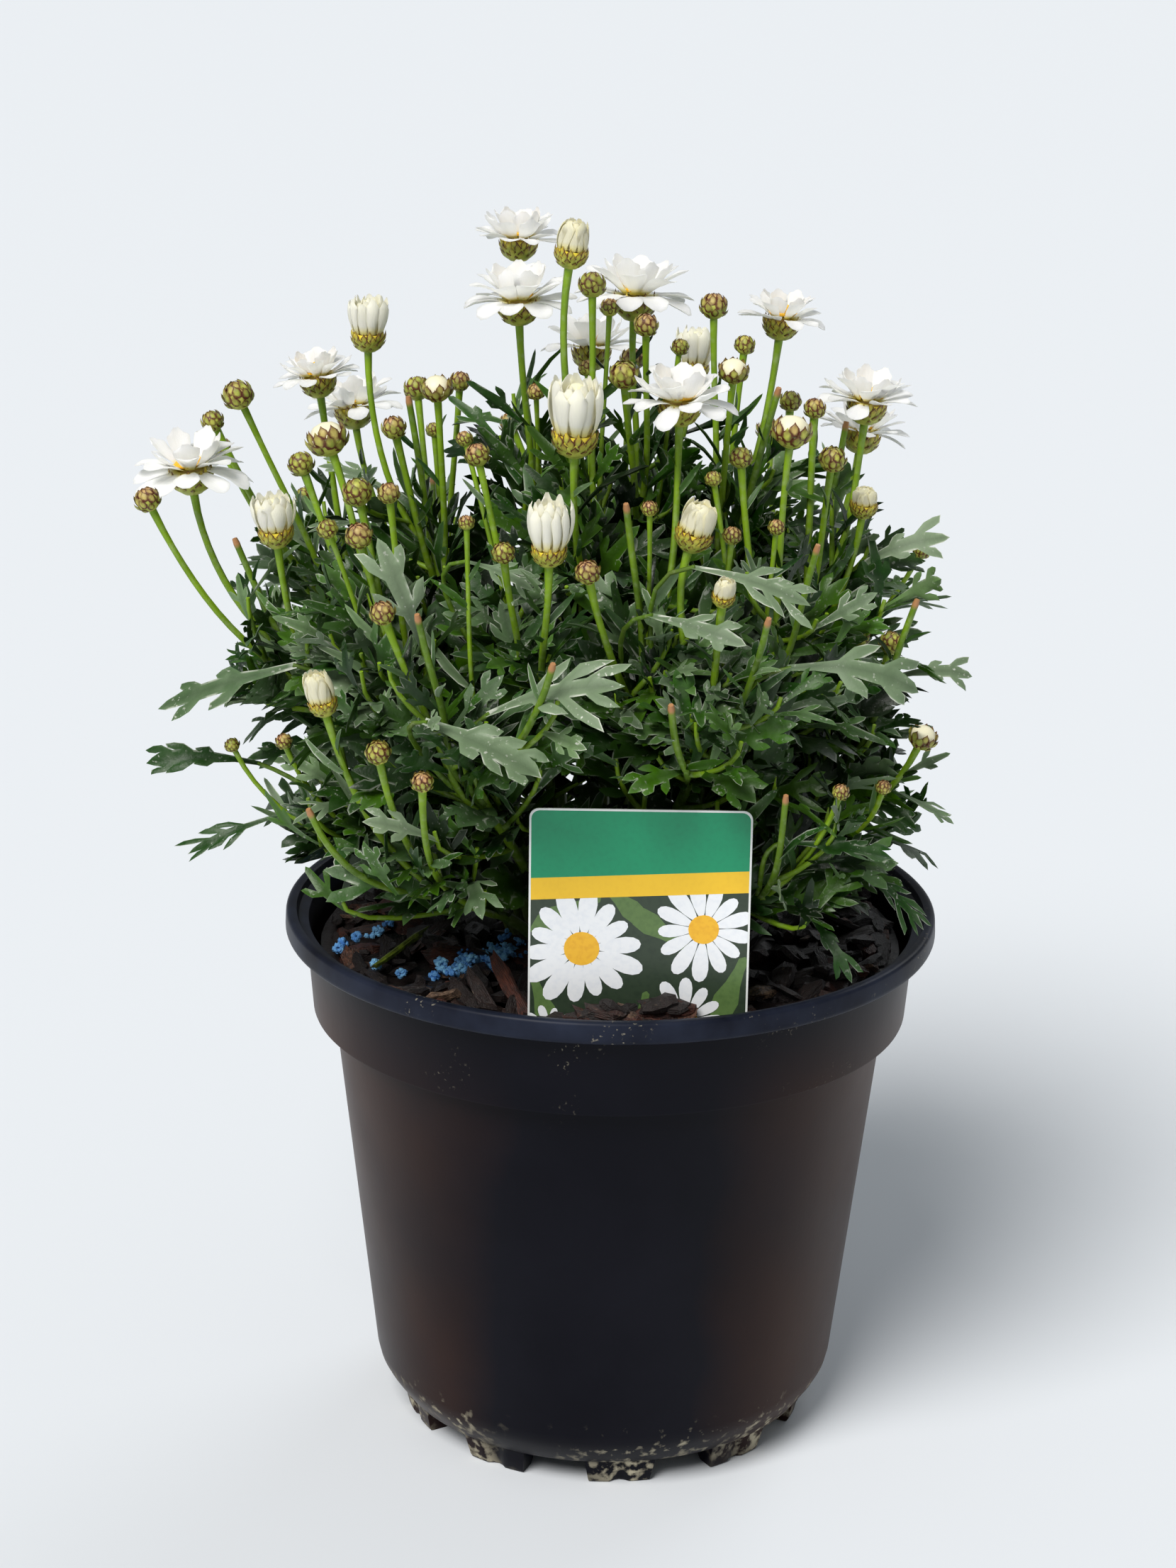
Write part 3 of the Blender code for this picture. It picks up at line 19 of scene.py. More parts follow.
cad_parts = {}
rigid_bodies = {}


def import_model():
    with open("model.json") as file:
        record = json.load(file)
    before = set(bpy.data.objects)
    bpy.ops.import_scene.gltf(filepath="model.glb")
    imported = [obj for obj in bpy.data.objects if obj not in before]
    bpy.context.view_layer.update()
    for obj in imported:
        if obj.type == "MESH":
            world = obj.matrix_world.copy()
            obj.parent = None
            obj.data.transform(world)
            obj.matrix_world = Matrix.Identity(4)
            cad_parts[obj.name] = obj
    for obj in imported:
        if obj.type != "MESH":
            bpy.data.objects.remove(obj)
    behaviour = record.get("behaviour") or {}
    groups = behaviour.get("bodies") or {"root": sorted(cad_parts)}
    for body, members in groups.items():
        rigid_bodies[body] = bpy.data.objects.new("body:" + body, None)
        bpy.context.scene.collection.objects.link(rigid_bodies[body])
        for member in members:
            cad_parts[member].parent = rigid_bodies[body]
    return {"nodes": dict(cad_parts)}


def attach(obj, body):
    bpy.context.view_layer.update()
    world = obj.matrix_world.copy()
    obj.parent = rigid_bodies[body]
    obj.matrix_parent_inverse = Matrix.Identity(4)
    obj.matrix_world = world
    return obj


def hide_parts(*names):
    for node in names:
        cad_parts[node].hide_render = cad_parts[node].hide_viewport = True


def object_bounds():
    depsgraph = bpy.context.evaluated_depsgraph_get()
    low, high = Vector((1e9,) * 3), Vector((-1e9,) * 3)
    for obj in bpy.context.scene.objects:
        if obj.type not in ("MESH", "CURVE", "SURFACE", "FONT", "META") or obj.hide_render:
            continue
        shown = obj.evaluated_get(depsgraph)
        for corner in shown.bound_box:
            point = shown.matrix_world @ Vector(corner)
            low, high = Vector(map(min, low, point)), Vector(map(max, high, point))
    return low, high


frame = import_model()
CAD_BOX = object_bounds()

LOG = logging.getLogger("potted_daisy")
MM = 0.001
GAP = 0.3 * MM
UP = Vector((0.0, 0.0, 1.0))
TURN = 2.0 * math.pi
GOLDEN_ANGLE = math.radians(137.5)
BODY = "root"

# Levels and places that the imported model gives
COMPOST_TOP = 134.0 * MM
MULCH_TOP = 148.5 * MM
CROWN_CENTRE = Vector((-5.0 * MM, -2.0 * MM, 0.0))
CROWN_RADIUS = 24.0 * MM
LABEL_CENTRE = (7.3 * MM, -73.0 * MM)

# Driving sizes of the stems and heads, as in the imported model
STEM_SINK = 9.0 * MM
STEM_START = 2.0 * MM
STALK_RISE = 62.0 * MM
STUB_RISE = 40.0 * MM
LEAF_RISE = 24.0 * MM
BLOOM_CUP = 5.0 * MM
BLOOM_CUP_SHARE = 0.2
OPENING_CUP_SHARE = 0.86
CUP_SHARE = 0.58

# Clearings in the foliage through which the feed is seen: place and radius in millimetres
FEED_CLEARINGS = (((-36.0, -34.0, 156.0), 15.0), ((-40.0, -56.0, 168.0), 15.0),
                  ((-72.0, -18.0, 156.0), 15.0), ((-76.0, -36.0, 166.0), 13.0),
                  ((-58.0, -42.0, 156.0), 13.0))

Colour = tuple[float, float, float, float]
Entry = tuple[str | float, ...]
Faces = list[tuple[int, ...]]
Outline = list[tuple[float, float]]

# Each stem, from leafy_stem_01 on: the place where it forks, and what it carries, in millimetres.
# bloom: x, y, z of its cup, diameter, lift of the petals in degrees, lean to the right, lean to the back
# opening: x, y, z of its cup, width, height of the petal bundle, lean right, lean back
# bud: x, y, z, diameter     stub: x, y, z of its cut end     leaf: x, y, z of its foot, x, y, z of its tip
STEMS = (
    ((-78, -16, 222), (
        ("bloom", -118, -15, 285, 35, -2, -0.12, -0.05), ("opening", -92, -45, 277, 11, 10, -0.1, -0.1),
        ("bud", -128, -35, 285, 7.4), ("stub", -105, -20, 268))),
    ((-68, 10, 232), (
        ("bloom", -85, 15, 306, 26, 14, -0.15, 0.0), ("bud", -106, -5, 308, 9.0),
        ("bud", -114, 2, 299, 6.6), ("bud", -113, 14, 289, 5.7))),
    ((-54, -44, 226), (
        ("bud", -79, -35, 303, 11.4), ("bud", -87, -24, 293, 7.4), ("bud", -77, -61, 284, 5.7),
        ("bud", -70, -48, 291, 8.4), ("bud", -61, -57, 293, 6.2), ("bud", -68, -72, 285, 7.5),
        ("leaf", -52, -70, 256, -63, -74, 285))),
    ((-46, -4, 242), (
        ("opening", -70, 0, 322, 11, 11, 0.02, 0.0), ("bud", -62, -17, 302, 7.1),
        ("bud", -50, -20, 314, 8.8), ("stub", -58, -8, 306), ("bud", -52, 4, 297, 4.6))),
    ((-52, -60, 186), (
        ("opening", -77, -77, 239, 9, 9, -0.25, -0.1), ("bud", -62, -92, 232, 7.0),
        ("bud", -50, -101, 227, 6.0), ("stub", -80, -84, 211))),
    ((-68, -32, 192), (
        ("leaf", -88, -46, 242, -126, -40, 227), ("leaf", -100, -28, 208, -131, -30, 208),
        ("leaf", -90, -34, 196, -119, -38, 184), ("bud", -90, -55, 223, 4.8),
        ("bud", -106, -37, 216, 4.4))),
    ((-38, -70, 218), (
        ("bud", -61, -86, 268, 7.0), ("stub", -51, -96, 268), ("stub", -17, -108, 259),
        ("leaf", -49, -95, 241, -19, -110, 231), ("leaf", -33, -92, 243, 2, -106, 255),
        ("bud", -40, -68, 288, 4.4))),
    ((-22, -46, 234), (
        ("opening", -18, -85, 283, 10.5, 14, 0.0, -0.1), ("bud", -38, -45, 301, 6.9),
        ("bud", -30, -80, 283, 6.2), ("leaf", -40, -62, 276, -22, -70, 270),
        ("bud", -42, -30, 302, 4.8))),
    ((-20, 10, 258), (
        ("bloom", -29, 25, 344, 28, 22, 0.0, 0.05), ("bloom", -28, -7, 332, 33, 16, -0.05, -0.05),
        ("bud", -23, -14, 312, 5.1))),
    ((-6, -20, 248), (
        ("opening", -14, -24, 350, 10.5, 9, 0.15, 0.0), ("opening", -12, -55, 306, 14, 16, 0.03, -0.08),
        ("bud", -8, -4, 340, 7.9), ("bud", -3, 6, 332, 5.6), ("bud", -9, 0, 316, 5.2))),
    ((8, 12, 256), (
        ("bloom", 4, 19, 329, 36, 12, 0.05, 0.05), ("bud", 7, -9, 330, 7.1), ("bud", 1, -24, 319, 8.5),
        ("bud", 17, 12, 320, 5.2))),
    ((10, -50, 232), (
        ("bloom", 16, -38, 311, 32, 10, 0.0, -0.08), ("bud", -8, -91, 281, 6.9), ("stub", 2, -76, 293),
        ("leaf", 9, -84, 268, 33, -98, 264), ("bud", 8, -66, 292, 4.6))),
    ((24, -58, 224), (
        ("opening", 19, -70, 284, 11.5, 9, 0.3, -0.1), ("opening", 27, -88, 273, 7, 5, 0.1, -0.3),
        ("stub", 38, -98, 269), ("stub", 14, -106, 248), ("leaf", 20, -76, 279, 50, -84, 271),
        ("bud", 30, -62, 284, 5.3))),
    ((27, 2, 250), (
        ("bloom", 45, 12, 325, 26, 16, 0.1, 0.0), ("bud", 26, 5, 333, 8.0), ("bud", 35, 6, 322, 6.0),
        ("bud", 31, -20, 320, 8.4), ("stub", 43, -17, 312))),
    ((38, -42, 226), (
        ("bud", 46, -45, 309, 10.8), ("bud", 33, -35, 299, 6.4), ("stub", 52, -65, 280),
        ("leaf", 46, -76, 252, 80, -74, 245), ("bud", 25, -52, 297, 4.6), ("bud", 42, -56, 285, 4.6))),
    ((52, -6, 236), (
        ("bloom", 69, 0, 304, 30, 14, 0.1, 0.0), ("opening", 68, -16, 280, 9, 5, 0.1, -0.1),
        ("bud", 54, -12, 308, 6.3), ("bud", 58, -31, 298, 7.8), ("stub", 64, 9, 297),
        ("leaf", 68, -8, 262, 93, -12, 272))),
    ((60, -22, 198), (
        ("bud", 85, -42, 223, 8.3), ("bud", 77, -22, 244, 7.2), ("bud", 69, -12, 243, 6.0),
        ("stub", 82, -30, 256), ("leaf", 80, -14, 232, 102, -10, 231), ("bud", 73, -60, 214, 4.4))),
    ((42, -60, 182), (
        ("stub", 45, -85, 217), ("leaf", 46, -72, 202, 75, -76, 199),
        ("leaf", 66, -52, 190, 86, -58, 172), ("leaf", 52, -56, 178, 66, -68, 160),
        ("bud", 60, -80, 219, 4.8))),
    ((-50, 44, 226), (
        ("bloom", -78, 58, 288, 31, 12, -0.15, 0.15), ("bud", -60, 66, 296, 8.0),
        ("bud", -46, 38, 304, 6.4), ("bud", -92, 44, 268, 5.6), ("stub", -56, 84, 262),
        ("leaf", -80, 60, 238, -108, 74, 232))),
    ((0, 54, 232), (
        ("bloom", -8, 72, 304, 33, 10, 0.0, 0.2), ("opening", 22, 62, 302, 11, 12, 0.1, 0.15),
        ("bud", -32, 66, 286, 7.0), ("bud", 6, 92, 274, 6.4), ("bud", 4, 44, 310, 7.4),
        ("leaf", 6, 86, 240, 14, 114, 232))),
    ((48, 42, 224), (
        ("bloom", 72, 52, 284, 30, 12, 0.15, 0.15), ("bud", 46, 72, 284, 8.0),
        ("bud", 50, 36, 300, 6.6), ("bud", 90, 36, 256, 5.6), ("stub", 60, 76, 262),
        ("leaf", 74, 60, 236, 100, 66, 230), ("leaf", 38, 66, 208, 52, 92, 196))),
    ((-26, 56, 188), (
        ("bud", -44, 86, 236, 6.6), ("leaf", -30, 82, 204, -38, 108, 190),
        ("leaf", -52, 66, 198, -78, 80, 186), ("leaf", -10, 78, 198, -2, 102, 180),
        ("stub", -20, 80, 226))),
)


def tint(red: int, green: int, blue: int) -> Colour:
    """A display colour of 0 to 255 as linear light.

    Args:
        red: its red part.
        green: its green part.
        blue: its blue part.

    Returns:
        The linear colour.
    """
    shares = [value / 255.0 for value in (red, green, blue)]
    light = [s / 12.92 if s <= 0.04045 else ((s + 0.055) / 1.055) ** 2.4 for s in shares]
    return (light[0], light[1], light[2], 1.0)


def vec(values: tuple[float, ...]) -> Vector:
    """A point given in millimetres."""
    return Vector(values) * MM


def compass(angle: float) -> Vector:
    """The level direction at an angle about the up axis."""
    return Vector((math.cos(angle), math.sin(angle), 0.0))


def around(count: int, start: float = 0.0) -> list[float]:
    """Angles spaced evenly round a circle, from a start angle."""
    return [start + TURN * k / count for k in range(count)]


def spun(z: float, y: float = 0.0, x: float = 0.0) -> Matrix:
    """A turn about X, then Y, then Z."""
    return Matrix.Rotation(z, 3, "Z") @ Matrix.Rotation(y, 3, "Y") @ Matrix.Rotation(x, 3, "X")


def shown(name: str, data: Mesh | Light | Camera) -> Object:
    """Put data into the scene as an object.

    Args:
        name: its name.
        data: the mesh, light or camera.

    Returns:
        The object.
    """
    made = bpy.data.objects.new(name, data)
    bpy.context.collection.objects.link(made)
    return made


class Graph:
    """Short calls that add and wire the nodes of a tree."""

    def __init__(self, tree: NodeTree) -> None:
        """Hold the tree that the nodes go into."""
        self.tree = tree

    def add(self, kind: str, wires: dict[str | int, object] | None = None, **settings: object) -> Node:
        """Add one node.

        Args:
            kind: the node's type.
            wires: for an input's name or number, the socket to link or the value to set.
            settings: the node's own options.

        Returns:
            The new node.
        """
        node = self.tree.nodes.new(kind)
        for key, value in settings.items():
            setattr(node, key, value)
        for key, value in (wires or {}).items():
            if isinstance(value, NodeSocket):
                self.tree.links.new(value, node.inputs[key])
            else:
                node.inputs[key].default_value = value
        return node


class GrowthTree(Graph):
    """A Geometry Nodes tree with named inputs, whose branches are joined at its end."""

    def __init__(self, name: str) -> None:
        """Start an empty tree.

        Args:
            name: its name.
        """
        super().__init__(bpy.data.node_groups.new(name, "GeometryNodeTree"))
        self.keys: dict[str, str] = {}
        self.branches: list[NodeSocket] = []
        self.tree.interface.new_socket("Geometry", in_out="OUTPUT", socket_type="NodeSocketGeometry")
        self.source = self.add("NodeGroupInput")

    def take(self, name: str, kind: str, default: object = None) -> NodeSocket:
        """Add a named input.

        Args:
            name: what the input is called.
            kind: the type of its socket, without the common prefix.
            default: its value where none is given.

        Returns:
            The socket that carries the input inside the tree.
        """
        made = self.tree.interface.new_socket(name, in_out="INPUT", socket_type="NodeSocket" + kind)
        if default is not None:
            made.default_value = default
        self.keys[name] = made.identifier
        return self.source.outputs[name]

    def attribute(self, name: str, kind: str = "FLOAT") -> NodeSocket:
        """The value of a named attribute."""
        node = self.add("GeometryNodeInputNamedAttribute", {"Name": name}, data_type=kind)
        return node.outputs["Attribute"]

    def dress(self, geometry: NodeSocket, finish: NodeSocket) -> None:
        """End a branch: make its copies real and give it its finish.

        Args:
            geometry: what the branch has made.
            finish: its finish.
        """
        real = self.add("GeometryNodeRealizeInstances", {"Geometry": geometry})
        dressed = self.add("GeometryNodeSetMaterial", {"Geometry": real.outputs[0], "Material": finish})
        self.branches.append(dressed.outputs[0])

    def scatter(self, word: str) -> None:
        """Add a branch that sets a shape on each point of an object, as the points' attributes say.

        Args:
            word: the first word of the branch's inputs.
        """
        spots = self.take(word + " spots", "Object")
        shapes = self.take(word + " shapes", "Collection")
        finish = self.take(word + " finish", "Material")
        points = self.add("GeometryNodeObjectInfo", {"Object": spots}).outputs["Geometry"]
        shape = self.add("GeometryNodeCollectionInfo", {
            "Collection": shapes, "Separate Children": True, "Reset Children": True})
        turn = self.add("FunctionNodeEulerToRotation", {"Euler": self.attribute("turn", "FLOAT_VECTOR")})
        copies = self.add("GeometryNodeInstanceOnPoints", {
            "Points": points, "Instance": shape.outputs[0], "Pick Instance": True,
            "Instance Index": self.attribute("shape", "INT"), "Rotation": turn.outputs[0],
            "Scale": self.attribute("size", "FLOAT_VECTOR")})
        self.dress(copies.outputs[0], finish)

    def finish(self) -> "GrowthTree":
        """Join the branches at the tree's end.

        Returns:
            The tree itself.
        """
        join = self.add("GeometryNodeJoinGeometry")
        for branch in self.branches:
            self.tree.links.new(branch, join.inputs[0])
        self.add("NodeGroupOutput", {"Geometry": join.outputs[0]})
        return self


def clad_tree() -> GrowthTree:
    """A tree that keeps a core and sets shapes on it: bracts, florets, chips, granules or feet.

    Returns:
        The tree.
    """
    tree = GrowthTree("clad_core")
    core = tree.take("Core", "Geometry")
    tree.dress(core, tree.take("Core finish", "Material"))
    tree.scatter("Cladding")
    return tree.finish()


def stem_tree() -> GrowthTree:
    """A tree that grows a leafy stem: ribbed wood along its lines, leaves, and buds and cups.

    Returns:
        The tree.
    """
    tree = GrowthTree("leafy_stem")
    lines = tree.take("Wood lines", "Geometry")
    ribs = tree.take("Ribs", "Int", 6)
    groove = tree.take("Groove floor", "Float", 0.80)
    star = tree.add("GeometryNodeCurveStar", {"Points": ribs, "Inner Radius": groove, "Outer Radius": 1.0})
    paths = tree.add("GeometryNodeMeshToCurve", {"Mesh": lines})
    wood = tree.add("GeometryNodeCurveToMesh", {
        "Curve": paths.outputs[0], "Profile Curve": star.outputs[0],
        "Scale": tree.attribute("thickness"), "Fill Caps": True})
    smooth = tree.add("GeometryNodeSetShadeSmooth", {"Geometry": wood.outputs[0], "Shade Smooth": True})
    tree.dress(smooth.outputs[0], tree.take("Wood finish", "Material"))
    tree.scatter("Leaf")
    tree.scatter("Head")
    return tree.finish()


def grow(name: str, host: Mesh, tree: GrowthTree, values: dict[str, object]) -> Object:
    """Run a tree on a mesh and keep what it grows as a plain mesh.

    Args:
        name: the new object's name.
        host: the mesh that the tree starts from.
        tree: the tree to run.
        values: the tree's inputs, by name.

    Returns:
        The object that holds the grown mesh.
    """
    body = shown(name, host)
    step = body.modifiers.new("grow", "NODES")
    step.node_group = tree.tree
    for key, value in values.items():
        step[tree.keys[key]] = value
    seen = body.evaluated_get(bpy.context.evaluated_depsgraph_get())
    grown = bpy.data.meshes.new_from_object(seen)
    grown.name = name
    body.modifiers.remove(step)
    body.data = grown
    for spare in ("turn", "size", "shape", "thickness"):
        if spare in grown.attributes:
            grown.attributes.remove(grown.attributes[spare])
    return body


def clothe(name: str, core: Mesh | None, tree: GrowthTree, spots: list["Spot"], shapes: Collection,
           finish: Material) -> Object:
    """Grow an object from a core and the shapes set on it, all with one finish.

    Args:
        name: the new object's name.
        core: the closed mesh under the shapes, or None.
        tree: the tree that clads a core.
        spots: where the shapes go.
        shapes: the shapes.
        finish: the finish of all of it.

    Returns:
        The object that holds the grown mesh.
    """
    host = bpy.data.meshes.new("none") if core is None else core
    return grow(name, host, tree, {
        "Core finish": finish, "Cladding spots": spots_object(name + "_spots", spots),
        "Cladding shapes": shapes, "Cladding finish": finish})


def settle(piece: Object, slot: str, *nodes: str) -> None:
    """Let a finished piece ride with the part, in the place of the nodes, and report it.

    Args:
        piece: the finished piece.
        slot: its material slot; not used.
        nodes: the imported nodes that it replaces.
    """
    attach(piece, BODY)
    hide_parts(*nodes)
    LOG.info("%s: %d faces", piece.name, len(piece.data.polygons))


def mesh_from(name: str, points: list[Vector], faces: Faces, sharp: float = 40.0) -> Mesh:
    """A smooth-shaded mesh that keeps edges sharper than an angle in degrees.

    Args:
        name: its name.
        points: its points.
        faces: its faces, as rows of point numbers.
        sharp: the angle past which an edge is sharp.

    Returns:
        The mesh.
    """
    mesh = bpy.data.meshes.new(name)
    mesh.from_pydata([tuple(p) for p in points], [], faces)
    mesh.shade_smooth()
    mesh.set_sharp_from_angle(angle=math.radians(sharp))
    return mesh


def store(mesh: Mesh, name: str, values: list[float]) -> None:
    """Give each point of a mesh a value."""
    mesh.attributes.new(name, "FLOAT", "POINT").data.foreach_set("value", values)


def turned(profile: Sequence[tuple[float, float]], sides: int) -> tuple[list[Vector], Faces]:
    """A closed solid turned about Z.

    Args:
        profile: radius and height of each ring, from the top centre to the foot centre.
        sides: how many sides it has.

    Returns:
        Its points and faces.
    """
    points = []
    faces = []
    rings = []
    for radius, height in profile:
        steps = 1 if radius == 0.0 else sides
        rings.append([len(points) + k for k in range(steps)])
        for angle in around(sides)[:steps]:
            points.append(Vector((radius * math.cos(angle), radius * math.sin(angle), height)))
    for upper, lower in zip(rings, rings[1:]):
        for k in range(sides):
            n = (k + 1) % sides
            if len(upper) == 1:
                faces.append((upper[0], lower[k], lower[n]))
            elif len(lower) == 1:
                faces.append((upper[k], lower[0], upper[n]))
            else:
                faces.append((upper[k], lower[k], lower[n], upper[n]))
    return points, faces


def eased(profile: Outline, radii: list[float]) -> Outline:
    """Round each corner of a profile with a small curve.

    Args:
        profile: radius and height of each corner.
        radii: how far from each corner the curve starts, at most.

    Returns:
        The profile with three points for each corner.
    """
    made = [profile[0]]
    for before, corner, after, radius in zip(profile, profile[1:], profile[2:], radii[1:]):
        here = Vector(corner)
        ends = []
        for other in (before, after):
            way = Vector(other) - here
            ends.append(here + way.normalized() * min(radius, way.length * 0.42))
        middle = (ends[0] + here * 2.0 + ends[1]) / 4.0
        made += [tuple(ends[0]), tuple(middle), tuple(ends[1])]
    return made + [profile[-1]]


def tube_faces(rows: int, count: int) -> Faces:
    """The faces of a tube of rings with so many points each, closed at both ends.

    Args:
        rows: how many rings it has.
        count: how many points each ring has.

    Returns:
        The faces.
    """
    faces = [tuple(reversed(range(count))), tuple(range((rows - 1) * count, rows * count))]
    for a in range(0, (rows - 1) * count, count):
        for k in range(count):
            n = (k + 1) % count
            faces.append((a + k, a + n, a + count + n, a + count + k))
    return faces


def outward(mesh: Mesh) -> None:
    """Turn the faces of a closed mesh to look outwards.

    Args:
        mesh: the mesh, changed in place.
    """
    work = bmesh.new()
    work.from_mesh(mesh)
    bmesh.ops.recalc_face_normals(work, faces=work.faces)
    work.to_mesh(mesh)
    work.free()


@dataclass
class Spot:
    """Where one copy of a shape goes, how it is turned and scaled, which shape it is, and its colouring."""

    place: Vector
    turn: Matrix
    size: tuple[float, float, float]
    shape: int
    tone: float = 0.5
    warm: float = 0.0
    gilt: float = 0.0


def spots_object(name: str, spots: list[Spot]) -> Object:
    """Loose points that carry the attributes of the copies that grow on them.

    Args:
        name: its name.
        spots: the spots.

    Returns:
        The object, which isn't in the scene.
    """
    mesh = bpy.data.meshes.new(name)
    mesh.vertices.add(len(spots))
    mesh.vertices.foreach_set("co", [c for s in spots for c in s.place])
    turns = [c for s in spots for c in s.turn.to_euler("XYZ")]
    mesh.attributes.new("turn", "FLOAT_VECTOR", "POINT").data.foreach_set("vector", turns)
    sizes = [c for s in spots for c in s.size]
    mesh.attributes.new("size", "FLOAT_VECTOR", "POINT").data.foreach_set("vector", sizes)
    mesh.attributes.new("shape", "INT", "POINT").data.foreach_set("value", [s.shape for s in spots])
    store(mesh, "tone", [s.tone for s in spots])
    store(mesh, "warm", [s.warm for s in spots])
    store(mesh, "gilt", [s.gilt for s in spots])
    return bpy.data.objects.new(name, mesh)


def shapes_collection(name: str, meshes: list[Mesh]) -> Collection:
    """A collection that holds one object for each mesh, in the order of the list.

    Args:
        name: its name.
        meshes: the shapes.

    Returns:
        The collection, which isn't in the scene.
    """
    made = bpy.data.collections.new(name)
    for number, mesh in enumerate(meshes):
        made.objects.link(bpy.data.objects.new(f"{name}_{number:02d}", mesh))
    return made


def frame_of(heading: Vector, face: Vector) -> Matrix:
    """The turn that takes +X to a heading and +Z as near as it goes to a face direction.

    Args:
        heading: where +X goes.
        face: where +Z goes, as nearly as it can.

    Returns:
        The turn.
    """
    ahead = heading.normalized()
    across = face.cross(ahead).normalized()
    return Matrix((ahead, across, ahead.cross(across))).transposed()


def upright(axis: Vector, spin: float) -> Matrix:
    """The turn that takes +Z to an axis, after a spin about it."""
    return axis.to_track_quat("Z", "Y").to_matrix() @ Matrix.Rotation(spin, 3, "Z")


class Surface(Graph):
    """A Principled material under construction."""

    def __init__(self, name: str, roughness: float, **plain: float | tuple[float, ...]) -> None:
        """Start a material.

        Args:
            name: the material's name.
            roughness: its roughness where nothing else is wired in.
            plain: other values of the shader, with underscores for spaces.
        """
        self.material = bpy.data.materials.new(name)
        self.material.use_nodes = True
        super().__init__(self.material.node_tree)
        self.shader = self.tree.nodes["Principled BSDF"]
        self.shader.inputs["Roughness"].default_value = roughness
        for key, value in plain.items():
            self.shader.inputs[key.replace("_", " ")].default_value = value
        self.coords = self.add("ShaderNodeTexCoord").outputs["Object"]

    def noise(self, scale: float, detail: float = 3.0, vector: NodeSocket | None = None,
              stretch: tuple[float, float, float] | None = None) -> NodeSocket:
        """Soft random patches from 0 to 1, on object coordinates or a given vector.

        Args:
            scale: how fine the patches are.
            detail: how many finer layers they have.
            vector: what they lie on, or None for object coordinates.
            stretch: how much finer they are along each axis.

        Returns:
            The noise.
        """
        source = vector or self.coords
        if stretch:
            source = self.add("ShaderNodeMapping", {"Vector": source, "Scale": stretch}).outputs[0]
        node = self.add("ShaderNodeTexNoise", {"Vector": source, "Scale": scale, "Detail": detail})
        return node.outputs["Fac"]

    def value(self, name: str) -> NodeSocket:
        """A number that the mesh carries on its points."""
        return self.add("ShaderNodeAttribute", attribute_name=name).outputs["Fac"]

    def vector(self, name: str) -> NodeSocket:
        """A vector that the mesh carries on its points."""
        return self.add("ShaderNodeAttribute", attribute_name=name).outputs["Vector"]

    def height(self) -> NodeSocket:
        """The height above the ground."""
        return self.add("ShaderNodeSeparateXYZ", {0: self.coords}).outputs["Z"]

    def aside(self) -> NodeSocket:
        """The distance to the left or right of the middle."""
        return self.math("ABSOLUTE", self.add("ShaderNodeSeparateXYZ", {0: self.coords}).outputs["X"])

    def band(self, value: NodeSocket, low: float, high: float) -> NodeSocket:
        """0 at the low value, 1 at the high one, and even between them."""
        node = self.add("ShaderNodeMapRange", {"Value": value, "From Min": low, "From Max": high})
        return node.outputs[0]

    def math(self, action: str, a: object, b: object = 0.5) -> NodeSocket:
        """The result of one sum on sockets or numbers."""
        return self.add("ShaderNodeMath", {0: a, 1: b}, operation=action).outputs[0]

    def times(self, a: object, b: object) -> NodeSocket:
        """The product of two sockets or numbers."""
        return self.math("MULTIPLY", a, b)

    def plus(self, a: object, b: object) -> NodeSocket:
        """The sum of two sockets or numbers."""
        return self.math("ADD", a, b)

    def patches(self, scale: float, low: float, high: float, detail: float = 3.0) -> NodeSocket:
        """Random patches whose edges lie between two levels of the noise."""
        return self.band(self.noise(scale, detail), low, high)

    def mix(self, share: object, a: object, b: object) -> NodeSocket:
        """A colour between two colours."""
        return self.add("ShaderNodeMix", {0: share, 6: a, 7: b}, data_type="RGBA").outputs[2]

    def ramp(self, share: NodeSocket, *stops: tuple[float, Colour]) -> NodeSocket:
        """A colour from a row of stops.

        Args:
            share: where on the row the colour lies.
            stops: places from 0 to 1 with their colours.

        Returns:
            The colour.
        """
        node = self.add("ShaderNodeValToRGB", {"Fac": share})
        while len(node.color_ramp.elements) < len(stops):
            node.color_ramp.elements.new(1.0)
        for element, (place, colour) in zip(node.color_ramp.elements, stops):
            element.position = place
            element.color = colour
        return node.outputs["Color"]

    def done(self, colour: NodeSocket, roughness: NodeSocket | None = None,
             relief: NodeSocket | None = None, strength: float = 0.4,
             depth: float = 0.2 * MM) -> Material:
        """Wire the finished colour, roughness and relief into the shader.

        Args:
            colour: the base colour.
            roughness: the roughness, if it varies.
            relief: the height of a bump.
            strength: how strongly the bump shows.
            depth: how high the bump stands.

        Returns:
            The finished material.
        """
        self.tree.links.new(colour, self.shader.inputs["Base Color"])
        if roughness is not None:
            self.tree.links.new(roughness, self.shader.inputs["Roughness"])
        if relief is not None:
            bump = self.add("ShaderNodeBump", {"Height": relief, "Strength": strength, "Distance": depth})
            self.tree.links.new(bump.outputs[0], self.shader.inputs["Normal"])
        return self.material


